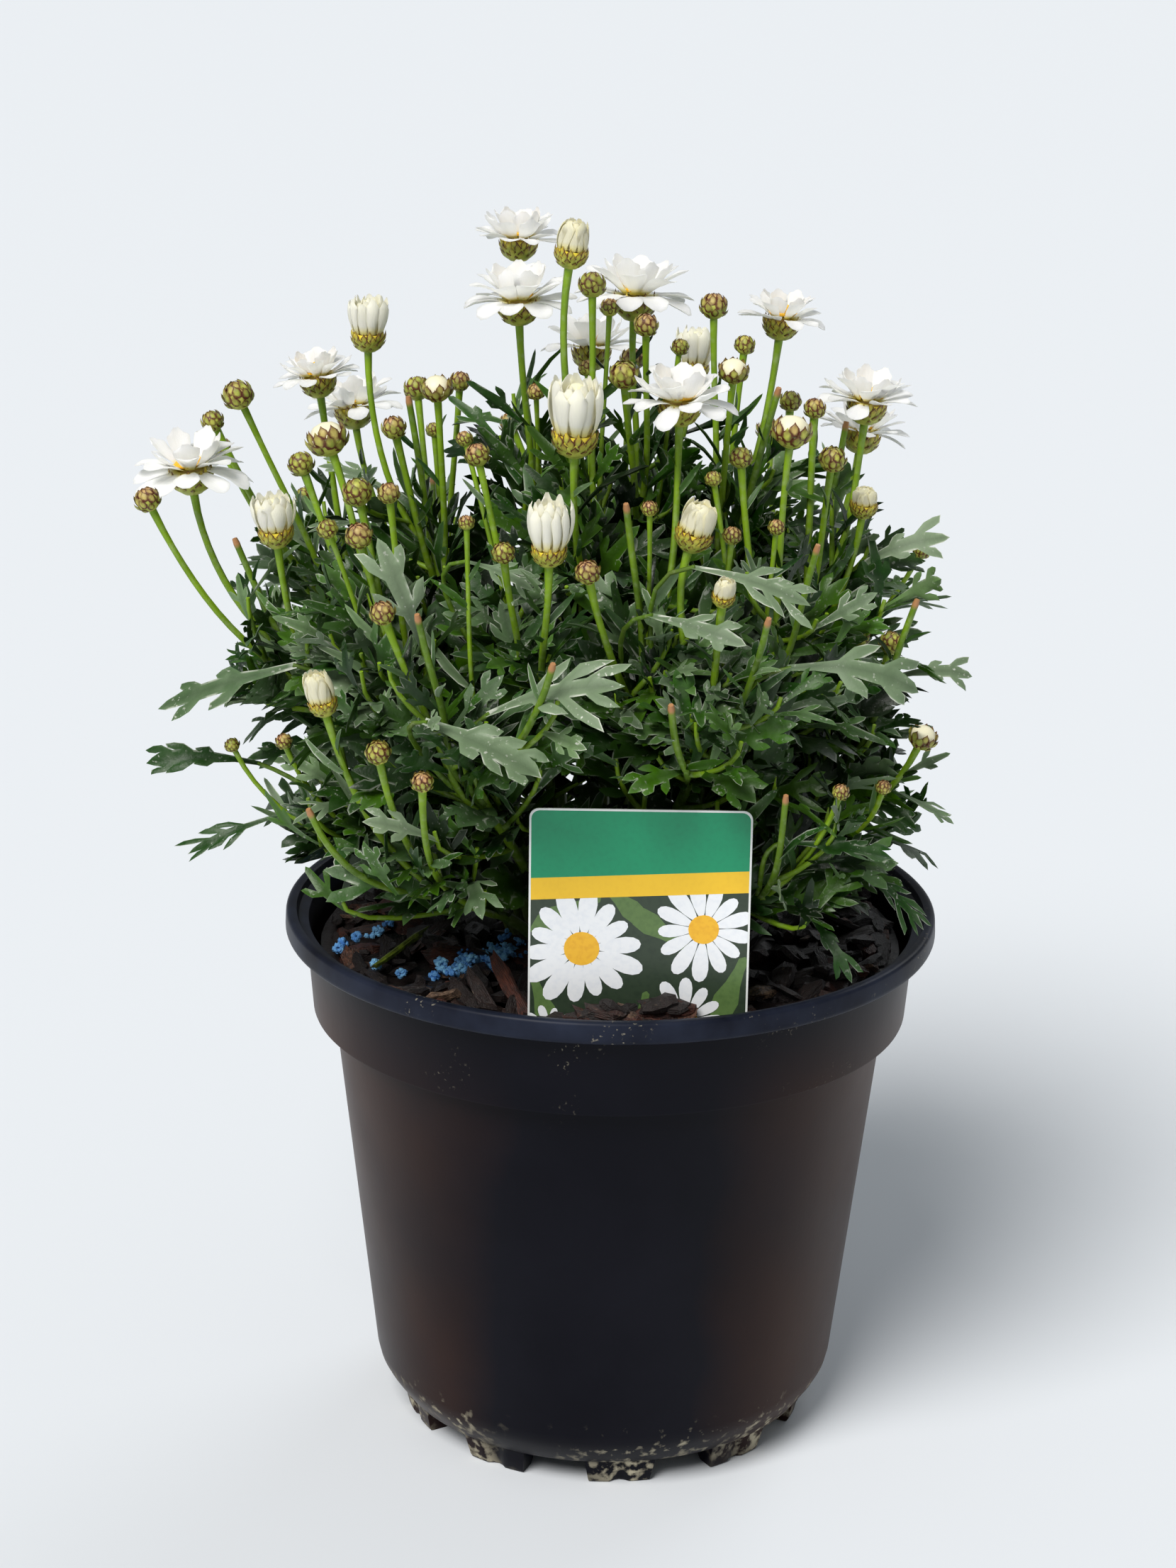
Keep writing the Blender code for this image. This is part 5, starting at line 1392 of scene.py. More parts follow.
@dataclass
class HeadShapes:
    """Buds and cups of width 1: a core clad in overlapping bracts that follow the golden angle."""

    finish: Material
    bud_half: float = 0.45
    cup_height: float = 0.60
    bract_length: float = 0.40

    def bracts(self) -> Collection:
        """Two bract shapes of length 1: a broad one for buds and a narrow one for cups.

        Returns:
            The shapes.
        """
        meshes = []
        for number, (half, droop) in enumerate(((0.34, 0.75), (0.25, 0.55))):
            sheet = Sheet()
            sheet.grid(3, 2, lambda u, v: (
                u - 0.16 * abs(v) * u ** 2,
                v * half * (0.75 + 0.5 * math.sin(math.pi * u * 0.9)) * (1.0 - 0.7 * u ** 3)))
            bend = Bend(droop, power=1.0, curl=0.8)
            meshes.append(sheet.solid(f"bract_shape_{number}", bend, 0.12, -0.02))
        return shapes_collection("bract_shapes", meshes)

    def core(self, name: str, rows: Outline, cream_from: float, gold_from: float) -> Mesh:
        """A turned core with faint petal ridges where petals show.

        Args:
            name: the mesh's name.
            rows: radius and height of each ring, from the top down, closed at both ends.
            cream_from: the height above which cream petals show.
            gold_from: the height above which it is yellow.

        Returns:
            The closed core, with the attributes that its finish reads.
        """
        points, faces = turned(rows, 14)
        for point in points:
            if point.z > cream_from:
                ridge = 1.0 + 0.05 * math.cos(7.0 * math.atan2(point.y, point.x))
                point.x *= ridge
                point.y *= ridge
        mesh = mesh_from(name, points, faces)
        store(mesh, "cream", [1.0 if p.z > cream_from else 0.0 for p in points])
        store(mesh, "gold", [1.0 if p.z > gold_from else 0.0 for p in points])
        store(mesh, "warm", [0.8 if p.z > 0.6 else 0.2 for p in points])
        return mesh

    def clad(self, count: int, first: float, last: float, half: float, warmth: float,
             shape: int) -> list[Spot]:
        """Bracts up a rounded body.

        Args:
            count: how many there are.
            first: the angle above the foot of the lowest one, in degrees.
            last: the angle of the highest one.
            half: the height of the body's middle.
            warmth: how warm the highest ones are.
            shape: the number of their shape.

        Returns:
            Their spots.
        """
        spots = []
        for k in range(count):
            share = k / (count - 1)
            angle = math.radians(first + (last - first) * share ** 0.95)
            spin = k * GOLDEN_ANGLE
            out = compass(spin)
            place = out * (0.455 * math.sin(angle)) + UP * (half * (1.0 - 0.93 * math.cos(angle)))
            ahead = (out * (0.455 * math.cos(angle)) + UP * (half * math.sin(angle))).normalized()
            face = out * ahead.z - UP * ahead.dot(out)
            length = self.bract_length * (0.86 + 0.2 * math.sin(math.pi * share))
            warm = warmth * share + 0.12 * (k % 3)
            turn = frame_of(ahead + face * 0.16, face)
            gilt = share ** 1.2 * shape
            spots.append(Spot(place, turn, (length, length, length), shape, (k % 5) / 4.0, warm, gilt))
        return spots

    def collection(self, tree: GrowthTree) -> Collection:
        """Grow every head shape with a tree.

        Args:
            tree: the tree that clads a core.

        Returns:
            The heads in the order of their kinds.
        """
        half = self.bud_half
        bud = [(0.0, half * 1.93)]
        for angle in (150, 125, 100, 75, 50, 28):
            turn = math.radians(angle)
            bud.append((0.45 * math.sin(turn), half * (1.0 - 0.93 * math.cos(turn))))
        bud.append((0.0, 0.01))
        top = self.cup_height
        cup = [(0.0, top - 0.04), (0.40, top - 0.04), (0.465, top), (0.475, top - 0.07), (0.455, 0.36),
               (0.37, 0.18), (0.22, 0.06), (0.0, 0.01)]
        plans = (
            ("tight", self.core("tight_core", bud, 2.0, 2.0), self.clad(28, 34.0, 150.0, half, 0.45, 0)),
            ("warm", self.core("warm_core", bud, 2.0, 2.0), self.clad(26, 34.0, 148.0, half, 0.95, 0)),
            ("cream", self.core("cream_core", bud, 0.52, 2.0), self.clad(20, 34.0, 96.0, half, 0.6, 0)),
            ("cup", self.core("cup_core", cup, 2.0, top - 0.2), self.clad(40, 17.0, 72.0, top, 0.3, 1)))
        bract_shapes = self.bracts()
        meshes = []
        for name, core, spots in plans:
            head = clothe(f"{name}_head", core, tree, spots, bract_shapes, self.finish)
            meshes.append(head.data)
            bpy.data.objects.remove(head)
        return shapes_collection("head_shapes", meshes)


class Arc:
    """A cubic curve that may sway to one side near its start."""

    def __init__(self, *controls: Vector, sway: Vector = Vector()) -> None:
        """Hold its four control points and how far it sways."""
        self.controls = controls
        self.sway = sway

    def at(self, t: float) -> Vector:
        """The point at a share of the curve.

        Args:
            t: the share.

        Returns:
            The point.
        """
        a, b, c, d = self.controls
        s = 1.0 - t
        bent = self.sway * (math.sin(TURN * t) * s * s)
        return a * s ** 3 + b * (3.0 * s * s * t) + c * (3.0 * s * t * t) + d * t ** 3 + bent

    def ahead(self, t: float) -> Vector:
        """The direction at a share of the curve."""
        t = min(0.98, max(0.02, t))
        return (self.at(t + 0.02) - self.at(t - 0.02)).normalized()

    def length(self) -> float:
        """About how long the curve is."""
        return sum((self.at((k + 1) / 8.0) - self.at(k / 8.0)).length for k in range(8))


@dataclass
class Wood:
    """Lines with a thickness, an age and cut ends, which become stems and stalks."""

    points: list[Vector] = field(default_factory=list)
    edges: list[tuple[int, int]] = field(default_factory=list)
    thickness: list[float] = field(default_factory=list)
    age: list[float] = field(default_factory=list)
    cut: list[float] = field(default_factory=list)

    def add(self, arc: Arc, widths: tuple[float, float], ages: tuple[float, float], count: int,
            flare: float = 1.0, cut: bool = False, beyond: Vector | None = None,
            sunk: Vector | None = None) -> None:
        """Add a line along a curve.

        Args:
            arc: the curve.
            widths: radius at its start and end.
            ages: age at its start and end.
            count: how many steps it has.
            flare: how much thicker its last step is.
            cut: whether it ends in a cut.
            beyond: a last point past its end, inside a head.
            sunk: a first point before its start, in the ground.
        """
        first = len(self.points)
        rows = [(sunk, widths[0], ages[0], 0.0)] if sunk is not None else []
        for k in range(count + 1):
            t = k / count
            width = widths[0] + (widths[1] - widths[0]) * t
            if k >= count - 1:
                width *= 1.0 + (flare - 1.0) * (0.35 if k == count - 1 else 1.0)
            rows.append((arc.at(t), width, ages[0] + (ages[1] - ages[0]) * t, 0.0))
        if cut:
            end, width, age, _ = rows[-1]
            rows.append((end + arc.ahead(1.0) * (1.4 * MM), width * 1.06, age, 1.0))
            rows.append((end + arc.ahead(1.0) * (3.0 * MM), width * 0.8, age, 1.0))
        if beyond is not None:
            rows.append((beyond, rows[-1][1], ages[1], 0.0))
        for point, width, age, end in rows:
            self.points.append(point)
            self.thickness.append(width)
            self.age.append(age)
            self.cut.append(end)
        self.edges += [(k, k + 1) for k in range(first, len(self.points) - 1)]

    def mesh(self, name: str) -> Mesh:
        """The lines as a mesh of edges.

        Args:
            name: its name.

        Returns:
            The mesh.
        """
        mesh = bpy.data.meshes.new(name)
        mesh.from_pydata([tuple(p) for p in self.points], self.edges, [])
        for word in ("thickness", "age", "cut"):
            store(mesh, word, getattr(self, word))
        return mesh


@dataclass
class Head:
    """An open or half-open head on its stalk: where its cup ends, how it leans, and its table entry."""

    number: int
    place: Vector
    axis: Vector
    item: Entry

    def carry(self, spot: Spot) -> Spot:
        """Move a spot from the head's own frame to the plant's.

        Args:
            spot: the spot, changed in place.

        Returns:
            The same spot.
        """
        turn = upright(self.axis, 0.0)
        spot.place = self.place + turn @ spot.place
        spot.turn = turn @ spot.turn
        return spot


@dataclass
class Room:
    """The space that leaves may fill."""

    heads: list[tuple[Vector, float]] = field(default_factory=list)
    margin: float = 1.5 * MM
    rim_radius: float = 84.0 * MM
    rim_top: float = 162.0 * MM
    label_side: tuple[float, float] = (-23.5 * MM, 38.5 * MM)
    label_front: float = -71.0 * MM
    label_top: float = 212.0 * MM
    dome: tuple[tuple[float, float], ...] = (
        (150, 72), (166, 90), (182, 102), (205, 110), (228, 114), (248, 114),
        (264, 108), (280, 98), (294, 84), (308, 60), (320, 34), (332, 0))

    def dome_radius(self, height: float) -> float:
        """How far the foliage reaches at a height.

        Args:
            height: the height.

        Returns:
            The radius.
        """
        for (low, near), (high, far) in zip(self.dome, self.dome[1:]):
            if height < high * MM:
                share = max(0.0, (height / MM - low) / (high - low))
                return (near + (far - near) * share) * MM
        return 0.0

    def allows(self, foot: Vector, tip: Vector, half: float) -> bool:
        """Whether a leaf from foot to tip fits: in the box and dome, off the pot, label and heads.

        Args:
            foot: the leaf's foot.
            tip: its tip.
            half: half its width.

        Returns:
            Whether it fits.
        """
        low, high = CAD_BOX
        middle = foot.lerp(tip, 0.55) + UP * ((tip - foot).length * 0.08)
        for p in (middle, tip):
            reach = math.hypot(p.x, p.y)
            room = self.margin + half
            if any(p[i] - room < low[i] or p[i] + room > high[i] for i in range(3)):
                return False
            if p.z < MULCH_TOP + 4.0 * MM + half * 0.5 + 0.36 * max(0.0, reach - 46.0 * MM):
                return False
            if reach > self.rim_radius and p.z < self.rim_top:
                return False
            beside = self.label_side[0] - half < p.x < self.label_side[1] + half
            if beside and p.y < self.label_front + half and p.z < self.label_top + half:
                return False
            if any((p - place).length < size for place, size in self.heads):
                return False
        return math.hypot(tip.x, tip.y) < self.dome_radius(tip.z)


class Stock:
    """What the plant is grown from: trees, finishes and shapes, and the room that its leaves may fill."""

    def __init__(self, clad: GrowthTree) -> None:
        """Make the finishes and the shapes.

        Args:
            clad: the tree that clads a core.
        """
        self.clad = clad
        self.stem = stem_tree()
        self.leaf = LeafGreen().make()
        self.stalk = StalkGreen().make()
        self.bract = BractGreen().make()
        self.white = PetalSkin("petal_white", tint(254, 254, 250), tint(246, 234, 104), 0.24).make()
        self.cream = PetalSkin("petal_cream", tint(255, 253, 232), tint(246, 232, 130), 0.28).make()
        self.yellow = FloretYellow().make()
        self.leaves = leaf_blades()
        self.petals = petal_blades()
        self.florets = floret_shape()
        self.heads = HeadShapes(self.bract).collection(clad)
        self.room = Room([(vec(place), size * MM) for place, size in FEED_CLEARINGS])


class Load(Enum):
    """What a stem carries, by its word in the table."""

    BLOOM = "bloom"
    OPENING = "opening"
    BUD = "bud"
    STUB = "stub"
    LEAF = "leaf"


@dataclass
class LeafyStem:
    """One leafy stem: its wood, stalks, side shoots, leaves, buds, cups and cut stubs."""

    rank: int
    fork: Vector
    load: tuple[Entry, ...]
    stock: Stock
    main_leaves: int = 12
    shoots: int = 5
    shoot_leaves: int = 5
    foot_radius: float = 2.0 * MM
    fork_radius: float = 1.25 * MM
    stalk_radius: float = 0.92 * MM
    sway: float = 4.4 * MM
    shaded_level: float = 212.0 * MM
    heads: list[Head] = field(default_factory=list)

    def __post_init__(self) -> None:
        """Draw the main stem and start the lists of what grows on it."""
        self.rng = random.Random(700 + self.rank)
        self.stem = self.stem_arc()
        self.wood = Wood()
        self.leaves: list[Spot] = []
        self.green: list[Spot] = []
        self.stalks: list[Arc] = []
        self.guards: list[tuple[Vector, float]] = []

    def stem_arc(self) -> Arc:
        """The main stem: upright at the foot, leaning out at the fork.

        Returns:
            The curve from its foot to its fork.
        """
        lean = Vector((self.fork.x, self.fork.y, 0.0)) - CROWN_CENTRE
        share = min(1.0, lean.length / (75.0 * MM))
        spot = CROWN_CENTRE + lean.normalized() * (CROWN_RADIUS * (0.25 + 0.75 * share))
        foot = Vector((spot.x, spot.y, MULCH_TOP + STEM_START))
        rise = self.fork.z - foot.z
        out = Vector((self.fork.x - foot.x, self.fork.y - foot.y, 0.0))
        below = self.fork - UP * (rise * 0.32) - out * 0.3
        return Arc(foot, foot + UP * (rise * 0.35) + out * 0.12, below, self.fork)

    def stalk_arc(self, goal: Vector, axis: Vector, rank: int, rise: float) -> Arc:
        """A stalk from its fork on the stem to what it carries.

        Args:
            goal: where it ends.
            axis: where it points there.
            rank: its number, which sets how far down it forks.
            rise: how far under its end it forks, at least.

        Returns:
            The curve.
        """
        t = 1.0 - 0.075 * rank
        while t > 0.4 and self.stem.at(t).z > goal.z - rise:
            t -= 0.02
        start = self.stem.at(t)
        near = min(1.0, t + 0.03)
        ahead = (self.stem.at(near) - self.stem.at(near - 0.06)).normalized()
        run = (goal - start).length
        flat = Vector((goal.x - start.x, goal.y - start.y, 0.0))
        turn = self.rng.uniform(0.0, TURN)
        sway = compass(turn) * (self.sway * min(1.0, run / (60.0 * MM)))
        leaving = start + ahead * (run * 0.25) + flat * 0.18
        return Arc(start, leaving, goal - axis * (run * 0.34), goal, sway=sway)

    def head_axis(self, goal: Vector, item: Entry) -> Vector:
        """The direction in which a head faces.

        Args:
            goal: where it is.
            item: its entry in the table.

        Returns:
            The direction.
        """
        if Load(item[0]) in (Load.BLOOM, Load.OPENING):
            return Vector((item[6], item[7], 1.0)).normalized()
        flat = Vector((goal.x - self.fork.x, goal.y - self.fork.y, 0.0))
        return (UP + flat.normalized() * min(0.45, flat.length / (70.0 * MM))).normalized()

    def width_of(self, kind: Load, item: Entry) -> float:
        """The width of a bud or of a head's cup, or 0 for a cut stub.

        Args:
            kind: what it is.
            item: its entry in the table.

        Returns:
            The width.
        """
        if kind is Load.BLOOM:
            return BLOOM_CUP + item[4] * BLOOM_CUP_SHARE * MM
        if kind is Load.OPENING:
            return item[4] * OPENING_CUP_SHARE * MM
        return item[4] * MM if kind is Load.BUD else 0.0

    def lay_out(self) -> None:
        """Place the stem, its stalks, buds, cups and stubs, and remember its open heads."""
        sunk = self.stem.at(0.0) - UP * (STEM_SINK + STEM_START - GAP)
        self.wood.add(self.stem, (self.foot_radius, self.fork_radius), (0.8, 0.1), 14, sunk=sunk)
        for number, item in enumerate(self.load):
            kind = Load(item[0])
            if kind is Load.LEAF:
                continue
            goal = vec(item[1:4])
            axis = self.head_axis(goal, item)
            width = self.width_of(kind, item)
            goal -= axis * (width / 2.0 if kind is Load.BUD else width * CUP_SHARE / 2.0)
            arc = self.stalk_arc(goal, axis, number, STUB_RISE if kind is Load.STUB else STALK_RISE)
            self.stalks.append(arc)
            thin = self.stalk_radius * (0.72 if kind is Load.BUD and width < 6.0 * MM else 1.0)
            steps = 9 + int(arc.length() / (12.0 * MM))
            if kind is Load.STUB:
                self.wood.add(arc, (thin * 1.15, thin), (0.5, 0.35), steps, cut=True)
                continue
            inside = goal + axis * (width * 0.12)
            self.wood.add(arc, (thin * 1.2, thin), (0.35, 0.05), steps, flare=1.3, beyond=inside)
            turn = upright(axis, self.rng.uniform(0.0, TURN))
            shape = self.bud_kind(width) if kind is Load.BUD else HeadKind.CUP
            self.green.append(Spot(goal, turn, (width, width, width), shape.value, self.rng.random()))
            self.guards.append((goal + axis * width * 0.5, width * 0.5 + 2.0 * MM))
            if kind is not Load.BUD:
                top = goal + axis * (width * CUP_SHARE)
                self.heads.append(Head(0, top, axis, item))
                self.guards.append((top + axis * item[4] * 0.2 * MM, item[4] * 0.42 * MM + 1.0 * MM))

    def bud_kind(self, width: float) -> HeadKind:
        """Large buds show cream petals, small ones are tight, and some are warm brown.

        Args:
            width: the bud's width.

        Returns:
            The kind.
        """
        if width > 9.5 * MM:
            return HeadKind.CREAM_BUD
        if width > 7.6 * MM and self.rng.random() < 0.35:
            return HeadKind.CREAM_BUD
        return HeadKind.WARM_BUD if self.rng.random() < 0.5 else HeadKind.TIGHT_BUD

    def leaf(self, kind: LeafKind, foot: Vector, heading: Vector, length: float, sag: float) -> None:
        """Add a leaf if it fits.

        Args:
            kind: the size of leaf.
            foot: where it grows from.
            heading: where it points.
            length: how long it is.
            sag: how far its tip sinks, as a share of its length.
        """
        rng = self.rng
        shape = rng.choice(kind.value)
        roll = rng.uniform(-0.8, 0.8)
        tone = rng.uniform(0.0, 1.0)
        tip = foot + heading * length - UP * (length * sag)
        if not self.stock.room.allows(foot, tip, length * 0.2):
            return
        # Painted light and shade: the random tone is lowered for leaves deep inside and low down and raised
        # for those high and far out, so shaded leaves are painted darker.
        depth = math.hypot(tip.x, tip.y) / (95.0 * MM)
        height = (tip.z - 175.0 * MM) / (110.0 * MM)
        shade = min(1.0, max(0.0, 0.18 * height + 0.48 * depth + 0.80 * tone - 0.46))
        face = UP * 0.8 + Vector((tip.x, tip.y, 0.0)).normalized() * 0.8
        spot = self.stock.leaves.aim(shape, foot - heading * (0.8 * MM), tip, face, roll, tone=shade)
        spot.warm = rng.random() ** 2
        self.leaves.append(spot)

    def side_of(self, arc: Arc, t: float, turn: float, outward: float) -> Vector:
        """A direction away from a stem, partly towards the outside of the plant.

        Args:
            arc: the stem.
            t: the place on it.
            turn: the side of it.
            outward: how far it turns towards the outside.

        Returns:
            The direction.
        """
        ahead = arc.ahead(t)
        ring = Matrix.Rotation(turn, 3, ahead) @ ahead.orthogonal().normalized()
        spot = arc.at(t)
        away = (Vector((spot.x, spot.y, 0.0)) - CROWN_CENTRE).normalized()
        return (ring + away * outward).normalized()

    def add_leaves(self) -> None:
        """Add the leaves along the stem, its side shoots and the lower part of its stalks."""
        rng = self.rng
        self.key_leaves()
        turn = rng.uniform(0.0, TURN)
        for k in range(self.main_leaves):
            t = 0.28 + 0.72 * (k + 0.5) / self.main_leaves
            turn += GOLDEN_ANGLE
            heading = (self.side_of(self.stem, t, turn, 0.6) + UP * rng.uniform(0.1, 0.9)).normalized()
            length = rng.uniform(34.0, 49.0) * MM
            self.leaf(LeafKind.LARGE, self.stem.at(t), heading, length, rng.uniform(0.05, 0.4))
        for k in range(self.shoots):
            t = 0.42 + 0.56 * (k + 0.5) / self.shoots
            turn += GOLDEN_ANGLE
            self.shoot(self.stem, t, turn)
        for arc in self.stalks:
            turn += GOLDEN_ANGLE
            self.stalk_leaves(arc, turn)

    def shoot(self, parent: Arc, t: float, turn: float, share: float = 1.0) -> None:
        """Add a short side shoot with its leaves.

        Args:
            parent: the stem or stalk that it grows from.
            t: where it grows on that.
            turn: the side that it grows on.
            share: its size.
        """
        rng = self.rng
        start = parent.at(t)
        side = self.side_of(parent, t, turn, 0.9)
        length = rng.uniform(26.0, 44.0) * share * MM
        end = start + (side + UP * rng.uniform(0.5, 1.1)).normalized() * length
        if not self.stock.room.allows(start, end, 0.0):
            return
        arc = Arc(start, start + (side * 0.7 + UP * 0.3) * (length * 0.35), end - UP * (length * 0.3), end)
        count = round(self.shoot_leaves * share)
        before = len(self.leaves)
        for k in range(count):
            along = 0.22 + 0.78 * (k + 0.5) / count
            turn += GOLDEN_ANGLE
            way = self.side_of(arc, along, turn, 0.4) + arc.ahead(along) * 0.7 + UP * rng.uniform(0.0, 0.6)
            size = rng.uniform(26.0, 38.0) * MM * (1.0 - 0.3 * along) * (0.5 + 0.5 * share)
            kind = LeafKind.LARGE if along < 0.6 and share == 1.0 else LeafKind.MIDDLE
            self.leaf(kind, arc.at(along), way.normalized(), size, rng.uniform(0.0, 0.22))
        if len(self.leaves) > before + 1:
            self.wood.add(arc, (0.95 * MM, 0.6 * MM), (0.4, 0.1), 6)

    def stalk_leaves(self, arc: Arc, turn: float) -> None:
        """Add leaves that get smaller up a stalk, and small shoots in the lower ones' axils.

        Args:
            arc: the stalk.
            turn: the side on which they start.
        """
        rng = self.rng
        length = arc.length()
        steps = max(4, int(length / (7.5 * MM)))
        for k in range(steps):
            share = 0.05 + 0.85 * (k + 0.5) / steps
            turn += GOLDEN_ANGLE
            if share > 0.6 and rng.random() < 0.5:
                continue
            way = self.side_of(arc, share, turn, 0.3) + arc.ahead(share) * 0.7 + UP * rng.uniform(0.2, 0.9)
            size = (37.0 - 30.0 * share) * rng.uniform(0.8, 1.2) * MM
            kind = LeafKind.LARGE if share < 0.25 else LeafKind.MIDDLE if share < 0.55 else LeafKind.NARROW
            self.leaf(kind, arc.at(share), way.normalized(), size, rng.uniform(0.0, 0.2))
        for t in (0.22, 0.42):
            turn += GOLDEN_ANGLE
            self.shoot(arc, t, turn, 0.62)

    def key_leaves(self) -> None:
        """Add the leaves that the table gives by foot and tip, on their own petioles.

        Those that hang low are narrower, and a lower tone paints shade on them.
        """
        for number, item in enumerate(self.load):
            if Load(item[0]) is not Load.LEAF:
                continue
            foot, tip = vec(item[1:4]), vec(item[4:7])
            run = tip - foot
            flat = Vector((run.x, run.y, 0.001 * MM))
            heading = (run.normalized() + UP * 0.35).normalized()
            shape = (number + self.rank) % len(LeafKind.LARGE.value)
            face = UP + flat.normalized() * 0.2 - Vector((0.0, 0.9 if foot.y < 40.0 * MM else -0.4, 0.0))
            low = tip.z < self.shaded_level
            width = run.length * 0.66 if low else None
            # Painted shade: leaves that hang low get a lower tone than the others.
            tone = 0.5 if low else 0.72 + 0.04 * number
            spot = self.stock.leaves.aim(shape, foot - heading * MM, tip, face, 0.0, width, tone)
            shift = self.stock.leaves.way_in(spot)
            spot.place += shift
            self.leaves.append(spot)
            arc = self.stalk_arc(foot + shift, heading, number, LEAF_RISE)
            self.wood.add(arc, (1.0 * MM, 0.6 * MM), (0.4, 0.5), 10)

    def build(self) -> None:
        """Grow the stem as one piece."""
        stock = self.stock
        title = f"leafy_branch_{self.rank + 1:02d}"
        piece = grow(title, self.wood.mesh(title + "_wood"), stock.stem, {
            "Wood finish": stock.stalk, "Leaf finish": stock.leaf, "Head finish": stock.bract,
            "Leaf spots": spots_object(title + "_leaves", self.leaves), "Leaf shapes": stock.leaves.shapes,
            "Head spots": spots_object(title + "_heads", self.green), "Head shapes": stock.heads})
        settle(piece, "leaf_green", f"leafy_stem_{self.rank + 1:02d}")


@dataclass(frozen=True)
class PetalRing:
    """One ring of petals: how many, how far they reach, where they start, and how they stand."""

    count: int
    reach: float
    level: float
    root: float
    rise: float
    spread: float


@dataclass
class Bloom:
    """An open bloom: three rings of white petals round a dome of yellow florets."""

    head: Head
    rings: tuple[PetalRing, ...] = (
        PetalRing(11, 1.0, 0.5 * MM, 3.6 * MM, -0.12, 0.26),
        PetalRing(8, 0.90, 1.1 * MM, 3.2 * MM, 0.42, 0.18),
        PetalRing(7, 0.78, 1.6 * MM, 2.8 * MM, 0.95, 0.15))
    disc_radius: float = 4.3 * MM
    disc_height: float = 2.6 * MM
    disc_foot: float = 1.9 * MM
    florets: int = 84

    def petal_spots(self, library: Blades) -> list[Spot]:
        """The petals: an outer layer that spreads and two inner ones that stand up over the disc.

        Args:
            library: the petal shapes.

        Returns:
            Their spots.
        """
        rng = random.Random(300 + self.head.number)
        radius = self.head.item[4] / 2.0 * MM
        lift = math.radians(self.head.item[5])
        ceiling = CAD_BOX[1].z - self.head.place.z - 1.5 * MM
        spots = []
        start = rng.uniform(0.0, TURN)
        for layer, ring in enumerate(self.rings):
            for k in range(ring.count):
                out = compass(start + TURN * (k + rng.uniform(-0.16, 0.16)) / ring.count)
                far = radius * ring.reach * rng.uniform(0.92, 1.0)
                tilt = lift - 0.06 + ring.rise + rng.uniform(-1.0, 1.0) * ring.spread
                flat = (far - ring.root) * math.cos(max(0.0, tilt - 0.15)) + ring.root
                sink = 0.05 * far if layer == 0 else 0.0
                rise = min((far - ring.root) * math.sin(tilt) - sink, ceiling - ring.level)
                tip = out * flat + UP * (ring.level + rise)
                foot = out * ring.root + UP * ring.level
                face = (UP * (tip - foot).length - out * rise).normalized()
                kind = PetalKind.UPRIGHT if layer == 2 or rng.random() < 0.3 * layer else PetalKind.SPREAD
                shape = rng.choice(kind.value)
                width = radius * rng.uniform(0.92, 1.08)
                spot = library.aim(shape, foot, tip, face, rng.uniform(-0.15, 0.15), width)
                spots.append(self.head.carry(spot))
            start += TURN / ring.count / 2.0
        return spots

    def dome(self) -> Mesh:
        """The receptacle under the florets.

        Returns:
            The closed dome.
        """
        place = upright(self.head.axis, 0.0)
        profile = ((0.0, 0.0), (0.93, 0.0), (0.97, 0.2), (0.8, 0.55), (0.45, 0.82), (0.0, 0.9))
        points, faces = turned([(r * self.disc_radius, self.disc_foot + h * self.disc_height)
                                for r, h in reversed(profile)], 16)
        return mesh_from("dome", [self.head.place + place @ p for p in points], faces)

    def floret_spots(self) -> list[Spot]:
        """The florets over the dome, by the golden angle.

        Returns:
            Their spots.
        """
        place = upright(self.head.axis, 0.0)
        rng = random.Random(500 + self.head.number)
        spots = []
        for k in range(self.florets):
            share = math.sqrt((k + 0.5) / self.florets)
            out = compass(k * GOLDEN_ANGLE)
            level = self.disc_foot + self.disc_height * (0.86 * math.cos(share * 1.45))
            axis = (UP * math.cos(share * 1.2) + out * math.sin(share * 1.2)).normalized()
            spot = self.head.place + place @ (out * (self.disc_radius * 0.9 * share) + UP * level)
            size = rng.uniform(0.42, 0.52) * MM
            turn = upright(place @ axis, 0.0)
            spots.append(Spot(spot, turn, (size, size, size * 1.5), 0, 1.0 - 0.6 * share))
        return spots

    def build(self, stock: Stock) -> None:
        """Grow the petals and the florets as two pieces.

        Args:
            stock: what the plant is grown from.
        """
        title = f"bloom_{self.head.number:02d}"
        petals = self.petal_spots(stock.petals)
        corolla = clothe(title + "_corolla", None, stock.clad, petals, stock.petals.shapes, stock.white)
        settle(corolla, "petal_white", title + "_petals")
        grains = self.floret_spots()
        disc = clothe(title + "_florets", self.dome(), stock.clad, grains, stock.florets, stock.yellow)
        settle(disc, "floret_yellow", title + "_disc")


